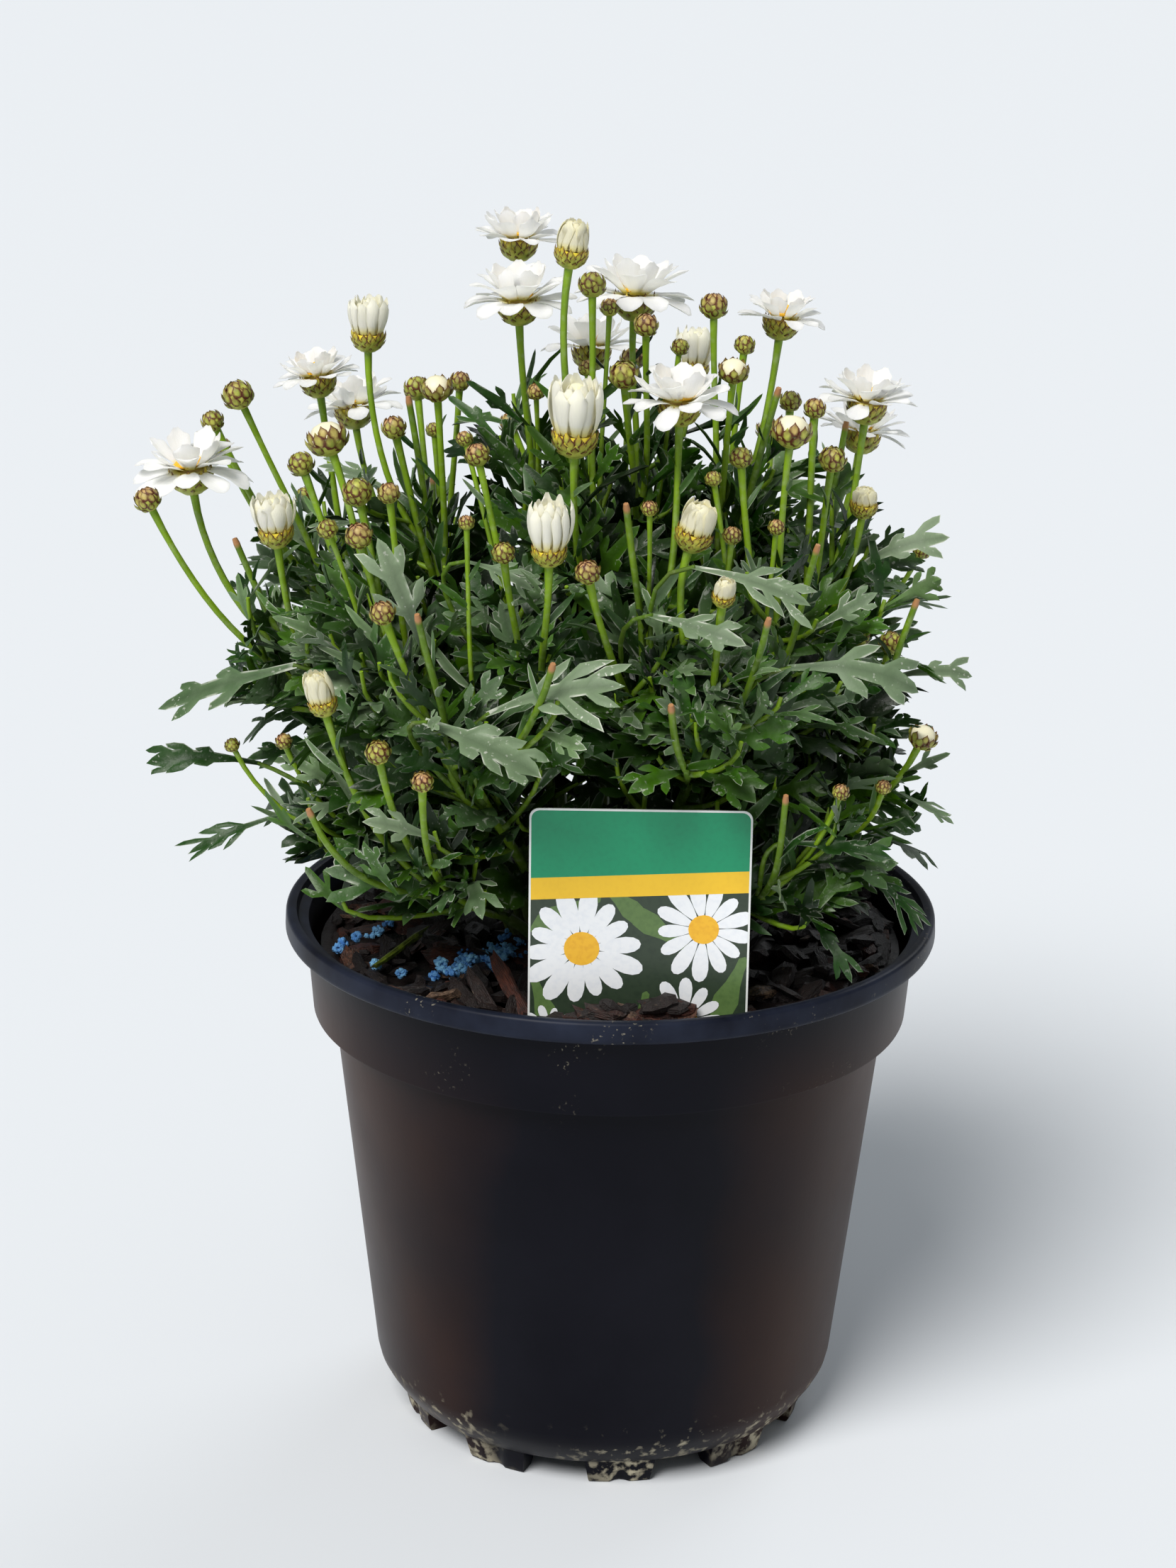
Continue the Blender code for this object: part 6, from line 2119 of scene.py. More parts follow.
@dataclass
class HalfOpenHead:
    """A half-open head: an upright bundle of cream-white petals."""

    head: Head
    open_height: float = 9.5
    rings: tuple[tuple[int, float, float, float, float], ...] = (
        (11, 0.37, 0.50, 0.97, 0.92), (9, 0.27, 0.34, 1.0, 0.84), (6, 0.14, 0.14, 0.95, 0.7))

    def heart(self) -> Mesh:
        """The youngest petals in the middle: one closed ridged body, pale between the others.

        Returns:
            The closed body.
        """
        width, height = self.head.item[4] * MM, self.head.item[5] * MM
        top = min(height * 0.84, CAD_BOX[1].z - self.head.place.z - 1.2 * MM)
        profile = ((0.0, 1.0), (0.1, 0.97), (0.19, 0.84), (0.27, 0.5), (0.3, 0.25), (0.3, 0.0), (0.0, 0.0))
        points, faces = turned([(width * r, top * z) for r, z in profile], 22)
        place = upright(self.head.axis, 0.0)
        for number, point in enumerate(points):
            ridge = 0.93 if number % 2 else 1.07
            wavy = Vector((point.x * ridge, point.y * ridge, point.z + GAP))
            points[number] = self.head.place + place @ wavy
        mesh = mesh_from("heart", points, faces, 80.0)
        store(mesh, "along", [0.8] * len(points))
        store(mesh, "warm", [0.7] * len(points))
        return mesh

    def petal_spots(self, library: Blades) -> list[Spot]:
        """The petals, in three rings that close over each other, each with its own tip.

        Args:
            library: the petal shapes.

        Returns:
            Their spots.
        """
        rng = random.Random(400 + self.head.number)
        width, height = self.head.item[4] * MM, self.head.item[5] * MM
        ceiling = CAD_BOX[1].z - self.head.place.z - 0.8 * MM
        start = rng.uniform(0.0, TURN)
        flare = 1.0 if self.head.item[5] > self.open_height else 0.58
        spots = []
        for count, low, high, reach, broad in self.rings:
            for k in range(count):
                out = compass(start + TURN * (k + rng.uniform(-0.12, 0.12)) / count)
                foot = out * (width * low) + UP * GAP
                top = min(height * reach * rng.uniform(0.82, 1.0), ceiling)
                tip = out * (width * high * flare * rng.uniform(0.85, 1.1)) + UP * top
                shape = rng.choice(PetalKind.UPRIGHT.value)
                across = width * broad * rng.uniform(0.92, 1.08)
                spot = library.aim(shape, foot, tip, -out, rng.uniform(-0.2, 0.2), across)
                spot.warm = 0.85 if flare < 1.0 else 0.2
                spots.append(self.head.carry(spot))
        return spots

    def build(self, stock: Stock) -> None:
        """Grow the petals as one piece.

        Args:
            stock: what the plant is grown from.
        """
        title = f"opening_head_{self.head.number:02d}"
        petals = self.petal_spots(stock.petals)
        shapes = stock.petals.shapes
        piece = clothe(title + "_petals", self.heart(), stock.clad, petals, shapes, stock.cream)
        settle(piece, "petal_cream", title)


def floret_shape() -> Collection:
    """A floret of radius 1: a short tube with a dimple at its top.

    Returns:
        The shape, in a collection.
    """
    rows = ((0.0, 0.55), (0.55, 0.9), (0.95, 0.5), (0.8, -0.6), (0.0, -0.7))
    points, faces = turned(rows, 6)
    return shapes_collection("floret_shapes", [mesh_from("floret_shape", points, faces, 80.0)])


@dataclass
class NurseryPot:
    """The moulded pot: lip, collar, tapered wall, chamfered foot, ten grooved feet and drain holes."""

    rim: float = 95.0 * MM
    height: float = 158.0 * MM
    lip_depth: float = 6.5 * MM
    lip_width: float = 3.4 * MM
    collar_depth: float = 31.0 * MM
    collar_top: float = 89.0 * MM
    collar_foot: float = 87.0 * MM
    wall_top: float = 81.0 * MM
    wall_foot: float = 68.5 * MM
    wall_foot_level: float = 16.5 * MM
    chamfer: float = 62.5 * MM
    chamfer_level: float = 8.0 * MM
    wall: float = 1.6 * MM
    foot_round: float = 3.2 * MM
    sides: int = 144
    foot_count: int = 10
    foot_angle: float = math.radians(19.5)
    foot_turn: float = math.radians(4.7)
    foot_inner: float = 52.0 * MM
    foot_outer: float = 60.0 * MM
    foot_overlap: float = 0.8 * MM
    groove: float = 1.4 * MM
    pad: float = 10.0 * MM
    drain_count: int = 5
    drain_radius: float = 4.5 * MM
    drain_ring: float = 40.0 * MM
    drain_turn: float = math.radians(22.0)

    def profile(self) -> Outline:
        """The wall's section, from the middle of the underside out and up, over the lip and back inside.

        Returns:
            Radius and height of each corner.
        """
        top, floor, wall = self.height, self.chamfer_level, self.wall
        shelf = top - self.collar_depth
        lip = top - self.lip_depth
        inner = self.rim - self.lip_width
        return [
            (0.0, floor), (self.chamfer, floor), (self.wall_foot, self.wall_foot_level),
            (self.wall_top, shelf), (self.collar_foot, shelf + 0.4 * MM), (self.collar_top, lip),
            (self.rim - 0.6 * MM, lip), (self.rim, lip + 1.0 * MM),
            (self.rim - 0.25 * MM, top - 0.7 * MM), (self.rim - 1.3 * MM, top),
            (inner, top - 0.3 * MM), (inner - 0.4 * MM, top - 2.6 * MM),
            (self.collar_top - 0.9 * MM, top - 3.2 * MM), (self.collar_top - wall, lip - 2.0 * MM),
            (self.collar_foot - wall, shelf + 2.0 * MM),
            (self.wall_top - wall, shelf + wall), (self.wall_foot - wall, self.wall_foot_level + 0.4 * MM),
            (self.chamfer - wall, floor + wall), (0.0, floor + wall)]

    def shell(self) -> Mesh:
        """The turned wall with its drain holes cut.

        Returns:
            The wall.
        """
        profile = self.profile()
        radii = [0.6 * MM] * len(profile)
        radii[2] = self.foot_round
        points, faces = turned(list(reversed(eased(profile, radii))), self.sides)
        body = shown("shell", mesh_from("shell", points, faces, 38.0))
        top, low, wide = 14.0 * MM, 2.0 * MM, self.drain_radius
        drum, sides = turned(((0.0, top), (wide, top), (wide, low), (0.0, low)), 24)
        drains = []
        for turn in around(self.drain_count, self.drain_turn):
            middle = compass(turn) * self.drain_ring
            drains.append(mesh_from("drain", [p + middle for p in drum], sides))
        cutters = shapes_collection("drains", drains)
        step = body.modifiers.new("drains", "BOOLEAN")
        step.operation = "DIFFERENCE"
        step.operand_type = "COLLECTION"
        step.collection = cutters
        seen = body.evaluated_get(bpy.context.evaluated_depsgraph_get())
        made = bpy.data.meshes.new_from_object(seen)
        bpy.data.objects.remove(body)
        for cutter in list(cutters.objects):
            bpy.data.objects.remove(cutter)
        return made

    def foot(self) -> Mesh:
        """One foot, at the front: an arc-shaped block, narrower below, with a groove in its outer face.

        Returns:
            The closed foot.
        """
        half = self.foot_angle / 2.0
        steps = 12
        top = self.chamfer_level + self.foot_overlap
        points = []
        rows = ((0.0, 0.0), (0.45, 0.0), (0.86, 0.0), (0.97, 0.35 * MM), (1.0, 1.0 * MM))
        for share, inset in rows:
            squeeze = 1.0 - 0.13 * share - inset * 8.0
            outer = self.chamfer - 0.4 * MM + (self.foot_outer - self.chamfer + 0.4 * MM) * share - inset
            inner = self.foot_inner + 1.6 * MM * share + inset
            for k in range(steps + 1):
                angle = half * squeeze * (2.0 * k / steps - 1.0)
                dip = self.groove * max(0.0, 1.0 - (abs(angle) / math.radians(2.6)) ** 2)
                points.append(Vector((math.sin(angle), -math.cos(angle), 0.0)) * (outer - dip))
                points[-1].z = top * (1.0 - share)
            for k in range(5):
                angle = half * squeeze * (1.0 - 2.0 * k / 4.0)
                points.append(Vector((math.sin(angle), -math.cos(angle), 0.0)) * inner)
                points[-1].z = top * (1.0 - share)
        mesh = mesh_from("foot", points, tube_faces(len(rows), steps + 6), 35.0)
        outward(mesh)
        return mesh

    def build(self, tree: GrowthTree, finish: Material) -> None:
        """Grow the pot with its feet as one piece.

        Args:
            tree: the tree that clads a core.
            finish: the pot's plastic.
        """
        top = self.chamfer_level + self.foot_overlap
        pad_rows = ((0.0, top), (self.pad + 0.6 * MM, top), (self.pad, 0.5 * MM),
                    (self.pad - 0.5 * MM, 0.0), (0.0, 0.0))
        points, faces = turned(pad_rows, 48)
        shapes = shapes_collection("pot_feet", [self.foot(), mesh_from("pad", points, faces, 35.0)])
        full = (1.0, 1.0, 1.0)
        spots = [Spot(Vector(), spun(turn), full, 0) for turn in around(self.foot_count, self.foot_turn)]
        spots.append(Spot(Vector(), Matrix.Identity(3), full, 1))
        settle(clothe("nursery_pot", self.shell(), tree, spots, shapes, finish), "pot_black", "pot")


def chip_mesh(name: str, rng: random.Random) -> Mesh:
    """A split piece of bark of length 1: a slab with broken ends and uneven faces.

    Args:
        name: its name.
        rng: its random draws.

    Returns:
        The closed chip.
    """
    sections = (-0.5, -0.28, 0.05, 0.3, 0.5)
    ring = ((-0.5, -0.28), (0.0, -0.5), (0.5, -0.3), (0.5, 0.25), (0.05, 0.5), (-0.45, 0.3))
    points = []
    for x in sections:
        taper = 1.0 if abs(x) < 0.4 else rng.uniform(0.45, 0.85)
        slant = rng.uniform(-0.08, 0.08)
        for y, z in ring:
            shift = slant if abs(x) > 0.4 else 0.0
            points.append(Vector((x + shift * (1.0 if y > 0.0 else -1.0) + rng.uniform(-0.07, 0.07),
                                  y * taper * rng.uniform(0.65, 1.15), z * taper * rng.uniform(0.5, 1.35))))
    mesh = mesh_from(name, points, tube_faces(len(sections), len(ring)), 25.0)
    outward(mesh)
    fibre = mesh.attributes.new("fibre", "FLOAT_VECTOR", "POINT")
    fibre.data.foreach_set("vector", [c for p in points for c in (p.x, p.y * 0.5, p.z * 0.3)])
    return mesh


@dataclass
class BarkMulch:
    """The bark mulch: an uneven bed covered in loose chips, heaped before the label."""

    edge: float = 84.8 * MM
    rings: int = 18
    sides: int = 60
    chips: int = 500
    chip_spread: float = 80.5 * MM
    chip_limit: float = 84.5 * MM
    small_chip_limit: float = 79.5 * MM
    rim_chips: int = 90
    heap_chips: int = 64
    chip_shapes: int = 9

    def level(self, x: float, y: float) -> float:
        """The height of the bed at a place.

        Args:
            x: the place to the right.
            y: the place to the back.

        Returns:
            The height.
        """
        swell = noise.noise(Vector((x, y, 0.0)) * 90.0) * 1.6 * MM
        swell += noise.noise(Vector((x, y, 0.02)) * 320.0) * 0.9 * MM
        return MULCH_TOP - 1.6 * MM + swell

    def bed(self) -> Mesh:
        """The bed: a disc with an uneven top and a flat underside.

        Returns:
            The closed bed.
        """
        points = [Vector((0.0, 0.0, self.level(0.0, 0.0)))]
        faces = []
        for ring in range(1, self.rings + 1):
            reach = self.edge * ring / self.rings
            for angle in around(self.sides):
                x, y = reach * math.cos(angle), reach * math.sin(angle)
                points.append(Vector((x, y, self.level(x, y))))
        last = len(points)
        foot = COMPOST_TOP + GAP
        for angle in around(self.sides):
            points.append(Vector((self.edge * math.cos(angle), self.edge * math.sin(angle), foot)))
        points.append(Vector((0.0, 0.0, foot)))
        for k in range(self.sides):
            n = (k + 1) % self.sides
            faces.append((0, 1 + k, 1 + n))
            for ring in range(self.rings):
                a = 1 + ring * self.sides
                b = a + self.sides
                faces.append((a + k, b + k, b + n, a + n))
            faces.append((len(points) - 1, last + n, last + k))
        mesh = mesh_from("mulch_bed", points, faces)
        store(mesh, "tone", [0.12] * len(points))
        return mesh

    def by_label(self, x: float, y: float, deep: float, wide: float) -> bool:
        """Whether a place is within two distances, in millimetres, of the label's middle."""
        return abs(y - LABEL_CENTRE[1]) < deep * MM and abs(x - LABEL_CENTRE[0]) < wide * MM

    def loose_chips(self, rng: random.Random) -> list[Spot]:
        """The chips that lie about on the bed.

        Args:
            rng: their random draws.

        Returns:
            Their spots.
        """
        spots = []
        while len(spots) < self.chips:
            radius = self.chip_spread * math.sqrt(rng.random())
            angle = rng.uniform(0.0, TURN)
            x, y = radius * math.cos(angle), radius * math.sin(angle)
            length = rng.uniform(6.0, 18.0)
            size = (length, length * rng.uniform(0.35, 0.7), rng.uniform(2.0, 5.0))
            if radius + length * 0.5 * MM > self.chip_limit:
                size = (9.0, 4.0, 2.2)
                if radius > self.small_chip_limit:
                    continue
            if self.by_label(x, y, 4.0, 34.0):
                continue
            place = Vector((x, y, self.level(x, y) + rng.uniform(0.0, 1.0) * 3.0 * MM))
            turn = spun(rng.uniform(0.0, TURN), rng.uniform(-0.6, 0.6), rng.uniform(-0.9, 0.9))
            tone = rng.random() ** 1.5
            shape = rng.randrange(self.chip_shapes)
            spots.append(Spot(place, turn, tuple(s * MM for s in size), shape, tone))
        return spots

    def edge_chips(self, rng: random.Random) -> list[Spot]:
        """The small chips that lie along the pot's wall.

        Args:
            rng: their random draws.

        Returns:
            Their spots.
        """
        spots = []
        for k in range(self.rim_chips):
            angle = TURN * (k + rng.uniform(-0.4, 0.4)) / self.rim_chips
            radius = rng.uniform(77.0, 81.0) * MM
            x, y = radius * math.cos(angle), radius * math.sin(angle)
            if self.by_label(x, y, 5.0, 36.0):
                continue
            size = (rng.uniform(7.0, 13.0) * MM, rng.uniform(3.2, 4.6) * MM, rng.uniform(1.8, 3.2) * MM)
            turn = spun(angle + math.pi / 2.0 + rng.uniform(-0.15, 0.15), rng.uniform(-0.3, 0.3))
            place = Vector((x, y, self.level(x, y) + rng.uniform(0.6, 2.6) * MM))
            spots.append(Spot(place, turn, size, rng.randrange(self.chip_shapes), rng.random() ** 1.5))
        return spots

    def placed_chips(self, rng: random.Random) -> list[Spot]:
        """The heap before the label, and the few that the picture shows in their places.

        Args:
            rng: their random draws.

        Returns:
            Their spots.
        """
        spots = []
        for k in range(self.heap_chips):
            x = -26.0 + 1.04 * k + rng.uniform(-1.0, 1.0)
            length = rng.uniform(6.0, 14.0)
            width = length * rng.uniform(0.35, 0.55)
            aside = rng.uniform(-0.4, 0.4)
            half = length * 0.5 * abs(math.sin(aside)) + width * 0.5
            front = math.sqrt(max(0.0, 83.5 ** 2 - (abs(x) + 3.0) ** 2)) - half
            back = 73.8 + half
            if front < back:
                continue
            peak = 2.6 + 6.4 * math.exp(-((x - 10.0) / 17.0) ** 2)
            place = vec((x, -rng.uniform(back, front), MULCH_TOP / MM + rng.uniform(0.2, 1.0) * peak))
            size = (length * MM, width * MM, rng.uniform(2.0, 4.0) * MM)
            turn = spun(aside, rng.uniform(-0.5, 0.5), rng.uniform(-0.2, 1.1))
            spots.append(Spot(place, turn, size, k % self.chip_shapes, rng.random() ** 1.3))
        for place, heading, size, shape, tone, warm in (
                ((-28.0, -63.0, 155.6), (0.97, -1.65, -1.2), (23.0, 4.2, 2.2), 2, 0.88, 0.0),
                ((-35.5, -65.5, 153.6), (0.7, -0.76, -0.9), (15.0, 4.0, 2.4), 4, 0.62, 0.0),
                ((-40.5, -61.0, 152.4), (0.6, -0.7, -0.5), (12.0, 3.6, 2.2), 1, 0.45, 0.0),
                ((-60.0, -27.0, 152.8), (0.48, 0.88, 0.08), (29.0, 2.1, 1.9), 3, 0.5, 1.0)):
            turn = frame_of(Vector(heading), Vector((-0.3, -0.8, 0.6)))
            spots.append(Spot(vec(place), turn, tuple(value * MM for value in size), shape, tone, warm))
        return spots

    def build(self, tree: GrowthTree, finish: Material) -> None:
        """Grow the bed and its chips as one piece.

        Args:
            tree: the tree that clads a core.
            finish: the bark.
        """
        rng = random.Random(17)
        shapes = shapes_collection("chips", [chip_mesh(f"chip_{k}", rng) for k in range(self.chip_shapes)])
        rng = random.Random(31)
        spots = self.loose_chips(rng) + self.edge_chips(rng) + self.placed_chips(rng)
        settle(clothe("mulch_chips", self.bed(), tree, spots, shapes, finish), "bark", "bark_mulch")


@dataclass
class FeedPatch:
    """A patch of crumbly blue feed granules lying on the mulch."""

    number: int
    line: tuple[float, float, float, float]
    crumbs: int
    blobs: tuple[tuple[float, float], ...]
    grains: int = 11
    blob_grains: int = 30
    blob_radius: float = 1.1 * MM

    def shapes(self) -> Collection:
        """Four uneven grains of radius 1.

        Returns:
            The grains, in a collection.
        """
        rng = random.Random(5)
        meshes = []
        for k in range(4):
            work = bmesh.new()
            bmesh.ops.create_icosphere(work, subdivisions=1, radius=1.0)
            for vert in work.verts:
                vert.co *= rng.uniform(0.75, 1.15)
            mesh = bpy.data.meshes.new(f"grain_{k}")
            work.to_mesh(mesh)
            work.free()
            meshes.append(mesh)
        return shapes_collection("grains", meshes)

    def spots(self) -> list[Spot]:
        """The grains, in crumbly clusters.

        Returns:
            Their spots.
        """
        rng = random.Random(60 + self.number)
        hearts = []
        near, far = Vector(self.line[:2]), Vector(self.line[2:])
        for _ in range(self.crumbs):
            spot = near.lerp(far, rng.random()) + Vector((rng.gauss(0.0, 2.9), rng.gauss(0.0, 2.9)))
            hearts.append((spot, MULCH_TOP + rng.uniform(2.2, 5.2) * MM, self.grains, 0.0))
        level = MULCH_TOP + 2.6 * MM
        hearts += [(Vector(spot), level, self.blob_grains, self.blob_radius) for spot in self.blobs]
        spots = []
        for spot, level, grains, radius in hearts:
            heart = Vector((spot.x * MM, spot.y * MM, level))
            pale = rng.random()
            for _ in range(grains):
                size = rng.uniform(0.4, 0.95) * MM
                way = Vector((rng.gauss(0.0, 0.8), rng.gauss(0.0, 0.8), rng.gauss(0.0, 0.5))) * MM
                if radius:
                    way = way.normalized() * radius
                turn = spun(rng.uniform(0.0, TURN), x=rng.uniform(0.0, 3.0))
                tone = 0.6 * pale + 0.4 * rng.random()
                spots.append(Spot(heart + way, turn, (size, size, size), rng.randrange(4), tone))
        return spots

    def build(self, tree: GrowthTree, finish: Material) -> None:
        """Grow the patch as one piece.

        Args:
            tree: the tree that clads a core.
            finish: the blue feed.
        """
        title = f"feed_crumbs_{self.number}"
        piece = clothe(title, None, tree, self.spots(), self.shapes(), finish)
        settle(piece, "feed_blue", f"feed_granules_{self.number}")


class Ink(Enum):
    """The printed colours of the label, in the order of its slots: their names and two shades each."""

    CARD = ("card_white", (240, 242, 240), (226, 230, 228))
    HEADER = ("header_green", (14, 148, 102), (12, 136, 94))
    STRIP = ("strip_yellow", (248, 200, 44), (240, 190, 40))
    PICTURE = ("picture_dark", (52, 66, 50), (36, 48, 38))
    LEAF = ("leaf_print", (96, 124, 70), (70, 98, 54))
    PETAL = ("petal_print", (246, 248, 251), (228, 233, 241))
    DISC = ("disc_print", (248, 190, 46), (226, 150, 30))

    def make(self) -> Material:
        """Build the ink's material.

        Returns:
            The material.
        """
        name, colour, shade = self.value
        return PrintedCard(name, tint(*colour), tint(*shade)).make()


@dataclass
class CareLabel:
    """The stick-in card: a bare green header over a yellow strip and a plain pattern of daisies."""

    width: float = 60.0 * MM
    top: float = 211.0 * MM
    foot: float = 141.0 * MM
    thickness: float = 0.62 * MM
    corner: float = 2.6 * MM
    border: float = 0.55 * MM
    header: float = 18.5 * MM
    strip: float = 6.2 * MM
    slant: float = 1.4 * MM
    points: list[Vector] = field(default_factory=list)
    faces: Faces = field(default_factory=list)
    inks: list[int] = field(default_factory=list)
    window: tuple[tuple[tuple[float, float], float], ...] = ()

    def plate(self, outline: Outline, front: float, back: float, ink: Ink) -> None:
        """Add a flat plate.

        Args:
            outline: its corners, across and up from the middle of the card's foot, counter-clockwise.
            front: how far its face stands before the card's middle plane.
            back: how far its back does.
            ink: its colour.
        """
        outline = self.clipped(outline)
        first = len(self.points)
        count = len(outline)
        if count < 3:
            return
        for depth in (front, back):
            for x, z in outline:
                self.points.append(Vector((LABEL_CENTRE[0] + x, LABEL_CENTRE[1] - depth, self.foot + z)))
        self.faces.append(tuple(first + k for k in range(count)))
        self.faces.append(tuple(first + count + k for k in reversed(range(count))))
        for k in range(count):
            n = (k + 1) % count
            self.faces.append((first + k, first + count + k, first + count + n, first + n))
        self.inks += [list(Ink).index(ink)] * (count + 2)

    def clipped(self, outline: Outline) -> Outline:
        """The part of an outline that the window leaves.

        Args:
            outline: its corners.

        Returns:
            The corners of that part.
        """
        for normal, limit in self.window:
            kept = []
            for here, there in zip(outline, outline[1:] + outline[:1]):
                a = here[0] * normal[0] + here[1] * normal[1] - limit
                b = there[0] * normal[0] + there[1] * normal[1] - limit
                if a <= 0.0:
                    kept.append(here)
                if (a < 0.0 < b) or (b < 0.0 < a):
                    share = a / (a - b)
                    kept.append(tuple(p + (q - p) * share for p, q in zip(here, there)))
            outline = kept
        return outline

    def rounded(self, inset: float, low: float) -> Outline:
        """The card's outline, drawn in by an inset, with rounded top corners.

        Args:
            inset: how far it is drawn in.
            low: the height of its foot.

        Returns:
            Its corners.
        """
        half = self.width / 2.0 - inset
        top = self.top - self.foot - inset
        corner = self.corner - inset * 0.5
        outline = [(-half, low), (half, low)]
        for side, start in ((1.0, 0.0), (-1.0, 1.0)):
            for k in range(7):
                angle = math.pi / 2.0 * (start + k / 6.0)
                across = side * (half - corner) + corner * math.cos(angle)
                outline.append((across, top - corner + corner * math.sin(angle)))
        return outline

    def daisy(self, x: float, z: float, radius: float, petals: int, turn: float, face: float) -> None:
        """Add a plain daisy: narrow petals round a disc.

        Args:
            x: its middle across the card.
            z: its middle above the card's foot.
            radius: how far its petals reach.
            petals: how many it has.
            turn: where the first one points.
            face: how far it stands before the card's middle plane.
        """
        for k, angle in enumerate(around(petals, turn)):
            size = radius * (0.9 + 0.1 * math.sin(5.0 * k + x))
            outline = []
            for share in around(16):
                reach = size * (0.60 + 0.40 * math.cos(share))
                side = size * 0.115 * math.sin(share) * (1.2 + 0.5 * math.cos(share))
                outline.append((x + reach * math.cos(angle) - side * math.sin(angle),
                                z + reach * math.sin(angle) + side * math.cos(angle)))
            self.plate(outline, face + 0.0016 * MM * k, face - 0.01 * MM, Ink.PETAL)
        size = radius * 0.27
        disc = [(x + size * math.cos(turn), z + size * math.sin(turn)) for turn in around(20)]
        self.plate(disc, face + 0.038 * MM, face - 0.01 * MM, Ink.DISC)

    def picture(self, face: float) -> None:
        """Add the printed leaves and daisies within the window.

        Args:
            face: how far the picture's ground stands before the card's middle plane.
        """
        leaf_face = face + 0.010 * MM
        for level, (x, z, reach, turn) in enumerate((
                (-20.0, 40.0, 11.0, 0.5), (-4.0, 43.0, 9.0, 2.4), (25.0, 18.0, 11.0, 1.2),
                (5.0, 36.0, 10.0, -0.6), (-26.0, 14.0, 9.0, 1.9), (1.0, 10.0, 8.0, 1.4))):
            outline = []
            for share in around(14):
                along = math.cos(share) * reach
                side = math.sin(share) * reach * 0.22 * (1.2 + 0.5 * math.cos(3.0 * share))
                outline.append(((x + along * math.cos(turn) - side * math.sin(turn)) * MM,
                                (z + along * math.sin(turn) + side * math.cos(turn)) * MM))
            self.plate(outline, leaf_face + 0.002 * MM * level, face - 0.01 * MM, Ink.LEAF)
        flower_face = leaf_face + 0.016 * MM
        for level, (x, z, radius, petals, turn) in enumerate((
                (17.5, 36.0, 15.5, 13, 0.3), (-15.5, 30.0, 18.0, 14, 0.1),
                (13.0, 9.5, 13.0, 12, 0.0), (-24.0, 6.0, 8.0, 11, 0.2))):
            self.daisy(x * MM, z * MM, radius * MM, petals, turn, flower_face + 0.04 * MM * level)

    def build(self) -> None:
        """Lay out the card and its printing as one piece."""
        half = self.thickness / 2.0 - 0.06 * MM
        face = half + 0.010 * MM
        back = half - 0.02 * MM
        slant = self.slant
        edge = self.width / 2.0 - self.border
        split = self.top - self.foot - self.header
        low = split - self.strip
        self.plate(self.rounded(0.0, 0.0), half, -half, Ink.CARD)
        header = self.rounded(self.border, 0.0)
        header[:2] = [(-edge, split - slant), (edge, split + slant)]
        self.plate(header, face, back, Ink.HEADER)
        strip = [(-edge, low - slant), (edge, low + slant), (edge, split + slant), (-edge, split - slant)]
        self.plate(strip, face, back, Ink.STRIP)
        ground = [(-edge, self.border), (edge, self.border), (edge, low + slant), (-edge, low - slant)]
        self.plate(ground, face, back, Ink.PICTURE)
        self.window = (((-1.0, 0.0), edge), ((1.0, 0.0), edge), ((0.0, -1.0), -self.border),
                       ((-slant / edge, 1.0), low))
        self.picture(face)
        mesh = bpy.data.meshes.new("care_label_card")
        mesh.from_pydata([tuple(p) for p in self.points], [], self.faces)
        for ink in Ink:
            mesh.materials.append(ink.make())
        mesh.polygons.foreach_set("material_index", self.inks)
        outward(mesh)
        settle(shown("care_label_card", mesh), "label", "care_label")


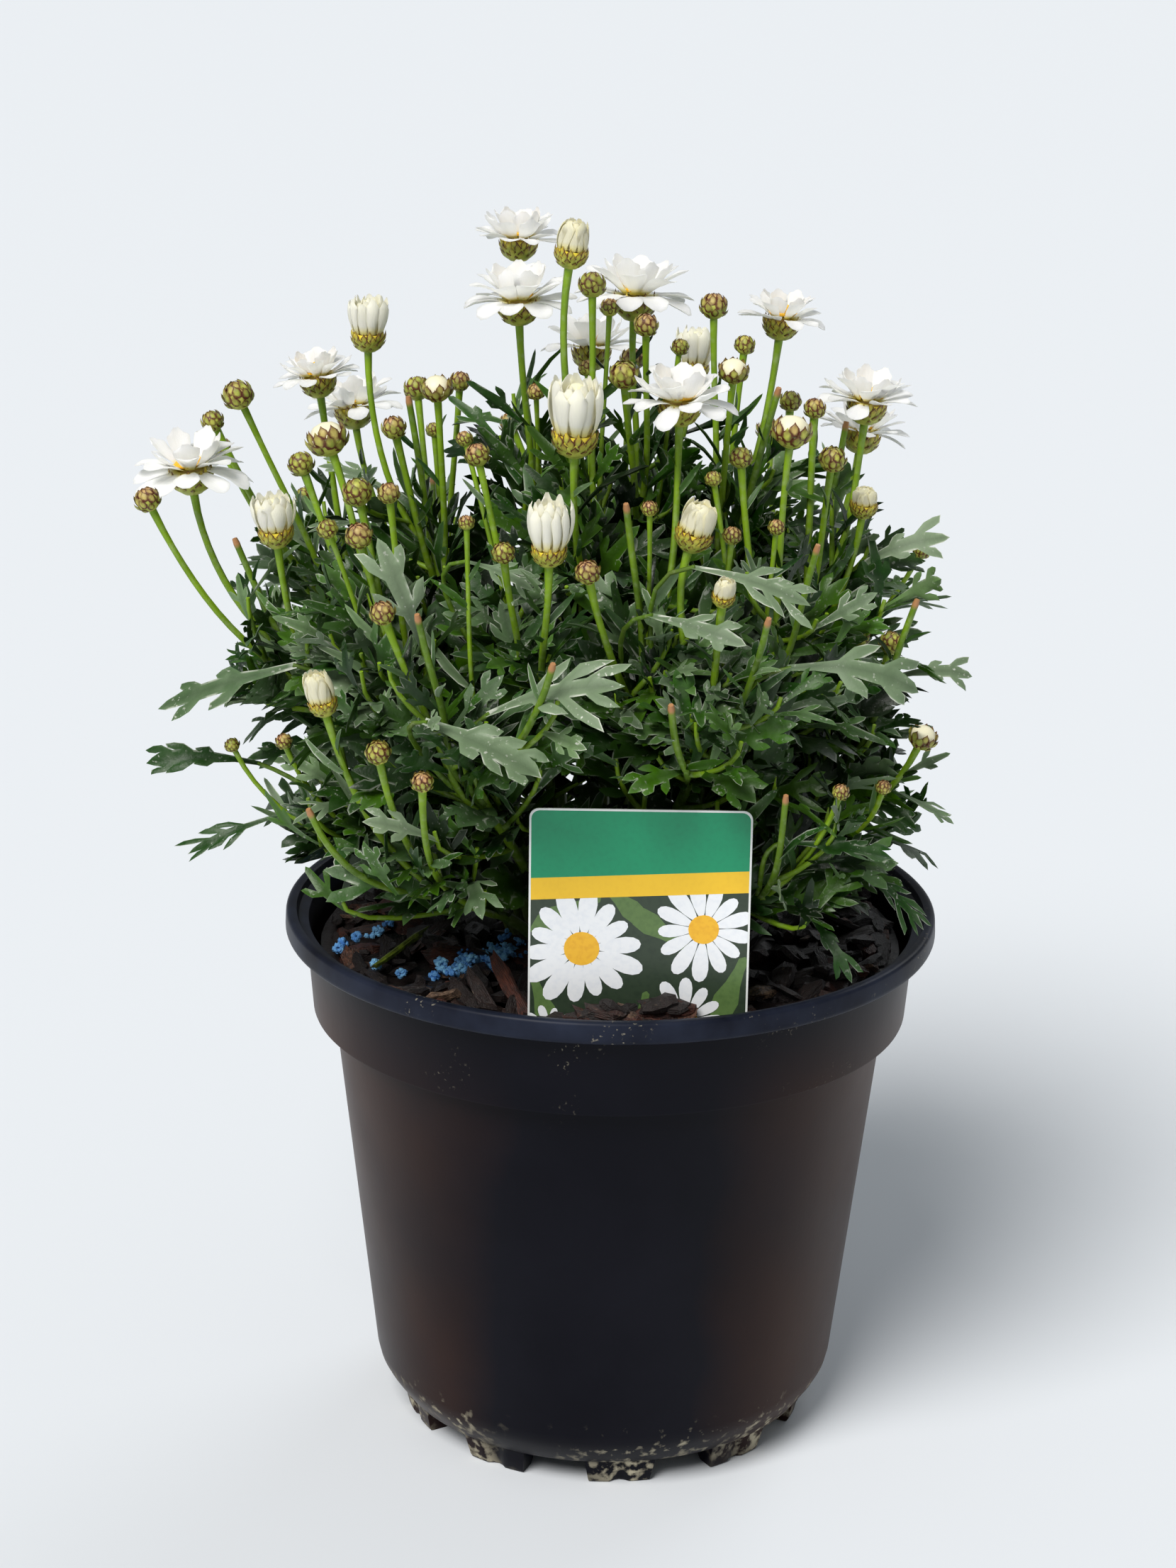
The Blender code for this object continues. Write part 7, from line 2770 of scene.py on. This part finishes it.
@dataclass
class Studio:
    """The pale floor, the soft light and the camera at the picture's angle."""

    focal_pixels: float = 4815.3
    picture_height: float = 2212.0
    distance: float = 940.0 * MM
    height: float = 502.09 * MM
    offset: float = -7.11 * MM
    pitch: float = 0.3167
    roll: float = 0.0146
    floor_colour: Colour = tint(227, 231, 236)
    sky_colour: Colour = tint(230, 236, 240)
    softness: float = math.radians(30.0)
    sky_power: float = 0.30

    def floor(self) -> None:
        """A wide pale floor."""
        mesh = bpy.data.meshes.new("studio_floor")
        mesh.from_pydata([(-30, -30, 0), (30, -30, 0), (30, 30, 0), (-30, 30, 0)], [], [(0, 1, 2, 3)])
        paint = Surface("studio_floor", 0.9, Specular_IOR_Level=0.1, Base_Color=self.floor_colour)
        mesh.materials.append(paint.material)
        ground = shown("studio_floor", mesh)

    def sun(self, name: str, power: float, colour: tuple[float, float, float], place: Vector) -> None:
        """Add soft light that comes from a place and falls on the plant.

        Args:
            name: its name.
            power: its strength.
            colour: its colour.
            place: where it comes from.
        """
        light = bpy.data.lights.new(name, "SUN")
        light.energy = power
        light.color = colour
        light.angle = self.softness
        lamp = shown(name, light)
        lamp.location = place
        lamp.rotation_euler = (Vector((0.0, 0.0, 0.2)) - place).to_track_quat("-Z", "Y").to_euler()

    def light(self) -> None:
        """Soft daylight from above and the left, and a weaker light from behind."""
        world = bpy.data.worlds.new("studio_sky")
        world.use_nodes = True
        back = world.node_tree.nodes["Background"]
        back.inputs["Color"].default_value = self.sky_colour
        back.inputs["Strength"].default_value = self.sky_power
        bpy.context.scene.world = world
        self.sun("daylight", 3.2, (1.0, 0.98, 0.95), Vector((-0.9, -1.6, 2.3)))
        self.sun("back_light", 0.5, (0.95, 0.98, 1.0), Vector((0.9, 1.4, 1.5)))

    def camera(self) -> None:
        """The camera, fitted to the pot's edges in the picture."""
        lens = bpy.data.cameras.new("picture_camera")
        lens.sensor_fit = "VERTICAL"
        lens.sensor_height = 36.0
        lens.sensor_width = 36.0
        lens.lens = self.focal_pixels / self.picture_height * 36.0
        lens.clip_start = 0.01
        ahead = Vector((0.0, math.cos(self.pitch), -math.sin(self.pitch)))
        above = Vector((0.0, math.sin(self.pitch), math.cos(self.pitch)))
        right = Vector((1.0, 0.0, 0.0))
        side = right * math.cos(self.roll) + above * math.sin(self.roll)
        top = above * math.cos(self.roll) - right * math.sin(self.roll)
        viewer = shown("picture_camera", lens)
        viewer.matrix_world = Matrix((
            (side.x, top.x, -ahead.x, self.offset), (side.y, top.y, -ahead.y, -self.distance),
            (side.z, top.z, -ahead.z, self.height), (0.0, 0.0, 0.0, 1.0)))
        bpy.context.scene.camera = viewer

    def build(self) -> None:
        """Set up the whole studio."""
        self.camera()
        self.floor()
        self.light()
        bpy.context.scene.view_settings.view_transform = "Standard"


def plant_stems(stock: Stock) -> None:
    """Grow every leafy stem, bloom and half-open head.

    Args:
        stock: what the plant is grown from.
    """
    stems = [LeafyStem(rank, vec(fork), load, stock) for rank, (fork, load) in enumerate(STEMS)]
    for stem in stems:
        stem.lay_out()
        stock.room.heads += stem.guards
    made = {Load.BLOOM: 0, Load.OPENING: 0}
    for stem in stems:
        stem.add_leaves()
        stem.build()
        for head in stem.heads:
            kind = Load(head.item[0])
            made[kind] += 1
            head.number = made[kind]
            opened = Bloom(head) if kind is Load.BLOOM else HalfOpenHead(head)
            opened.build(stock)


def dress_compost(finish: Material) -> None:
    """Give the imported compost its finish.

    Args:
        finish: the finish.
    """
    compost = frame["nodes"]["compost"].data
    compost.materials.clear()
    compost.materials.append(finish)


def clear_workshop() -> None:
    """Remove the shapes and points that the pieces were grown from."""
    kept = set(bpy.context.scene.objects)
    for item in list(bpy.data.objects):
        if item not in kept:
            bpy.data.objects.remove(item)
    for group in list(bpy.data.collections):
        if group not in list(bpy.context.scene.collection.children_recursive):
            bpy.data.collections.remove(group)


def main() -> None:
    """Build every piece in order."""
    logging.basicConfig(level=logging.INFO, format="%(message)s")
    Studio().build()
    clad = clad_tree()
    NurseryPot().build(clad, PotPlastic().make())
    dress_compost(Compost().make())
    BarkMulch().build(clad, Bark().make())
    feed = FeedBlue().make()
    FeedPatch(1, (-48.0, -42.0, -27.0, -25.0), 58, ((-49.5, -44.5), (-59.0, -42.5))).build(clad, feed)
    blobs = ((-78.0, -24.0), (-77.0, -19.5), (-73.5, -14.5), (-67.5, -8.5), (-66.5, -36.0))
    FeedPatch(2, (-72.0, -17.0, -68.0, -10.0), 2, blobs).build(clad, feed)
    CareLabel().build()
    plant_stems(Stock(clad))
    clear_workshop()


if __name__ == "__main__":
    main()
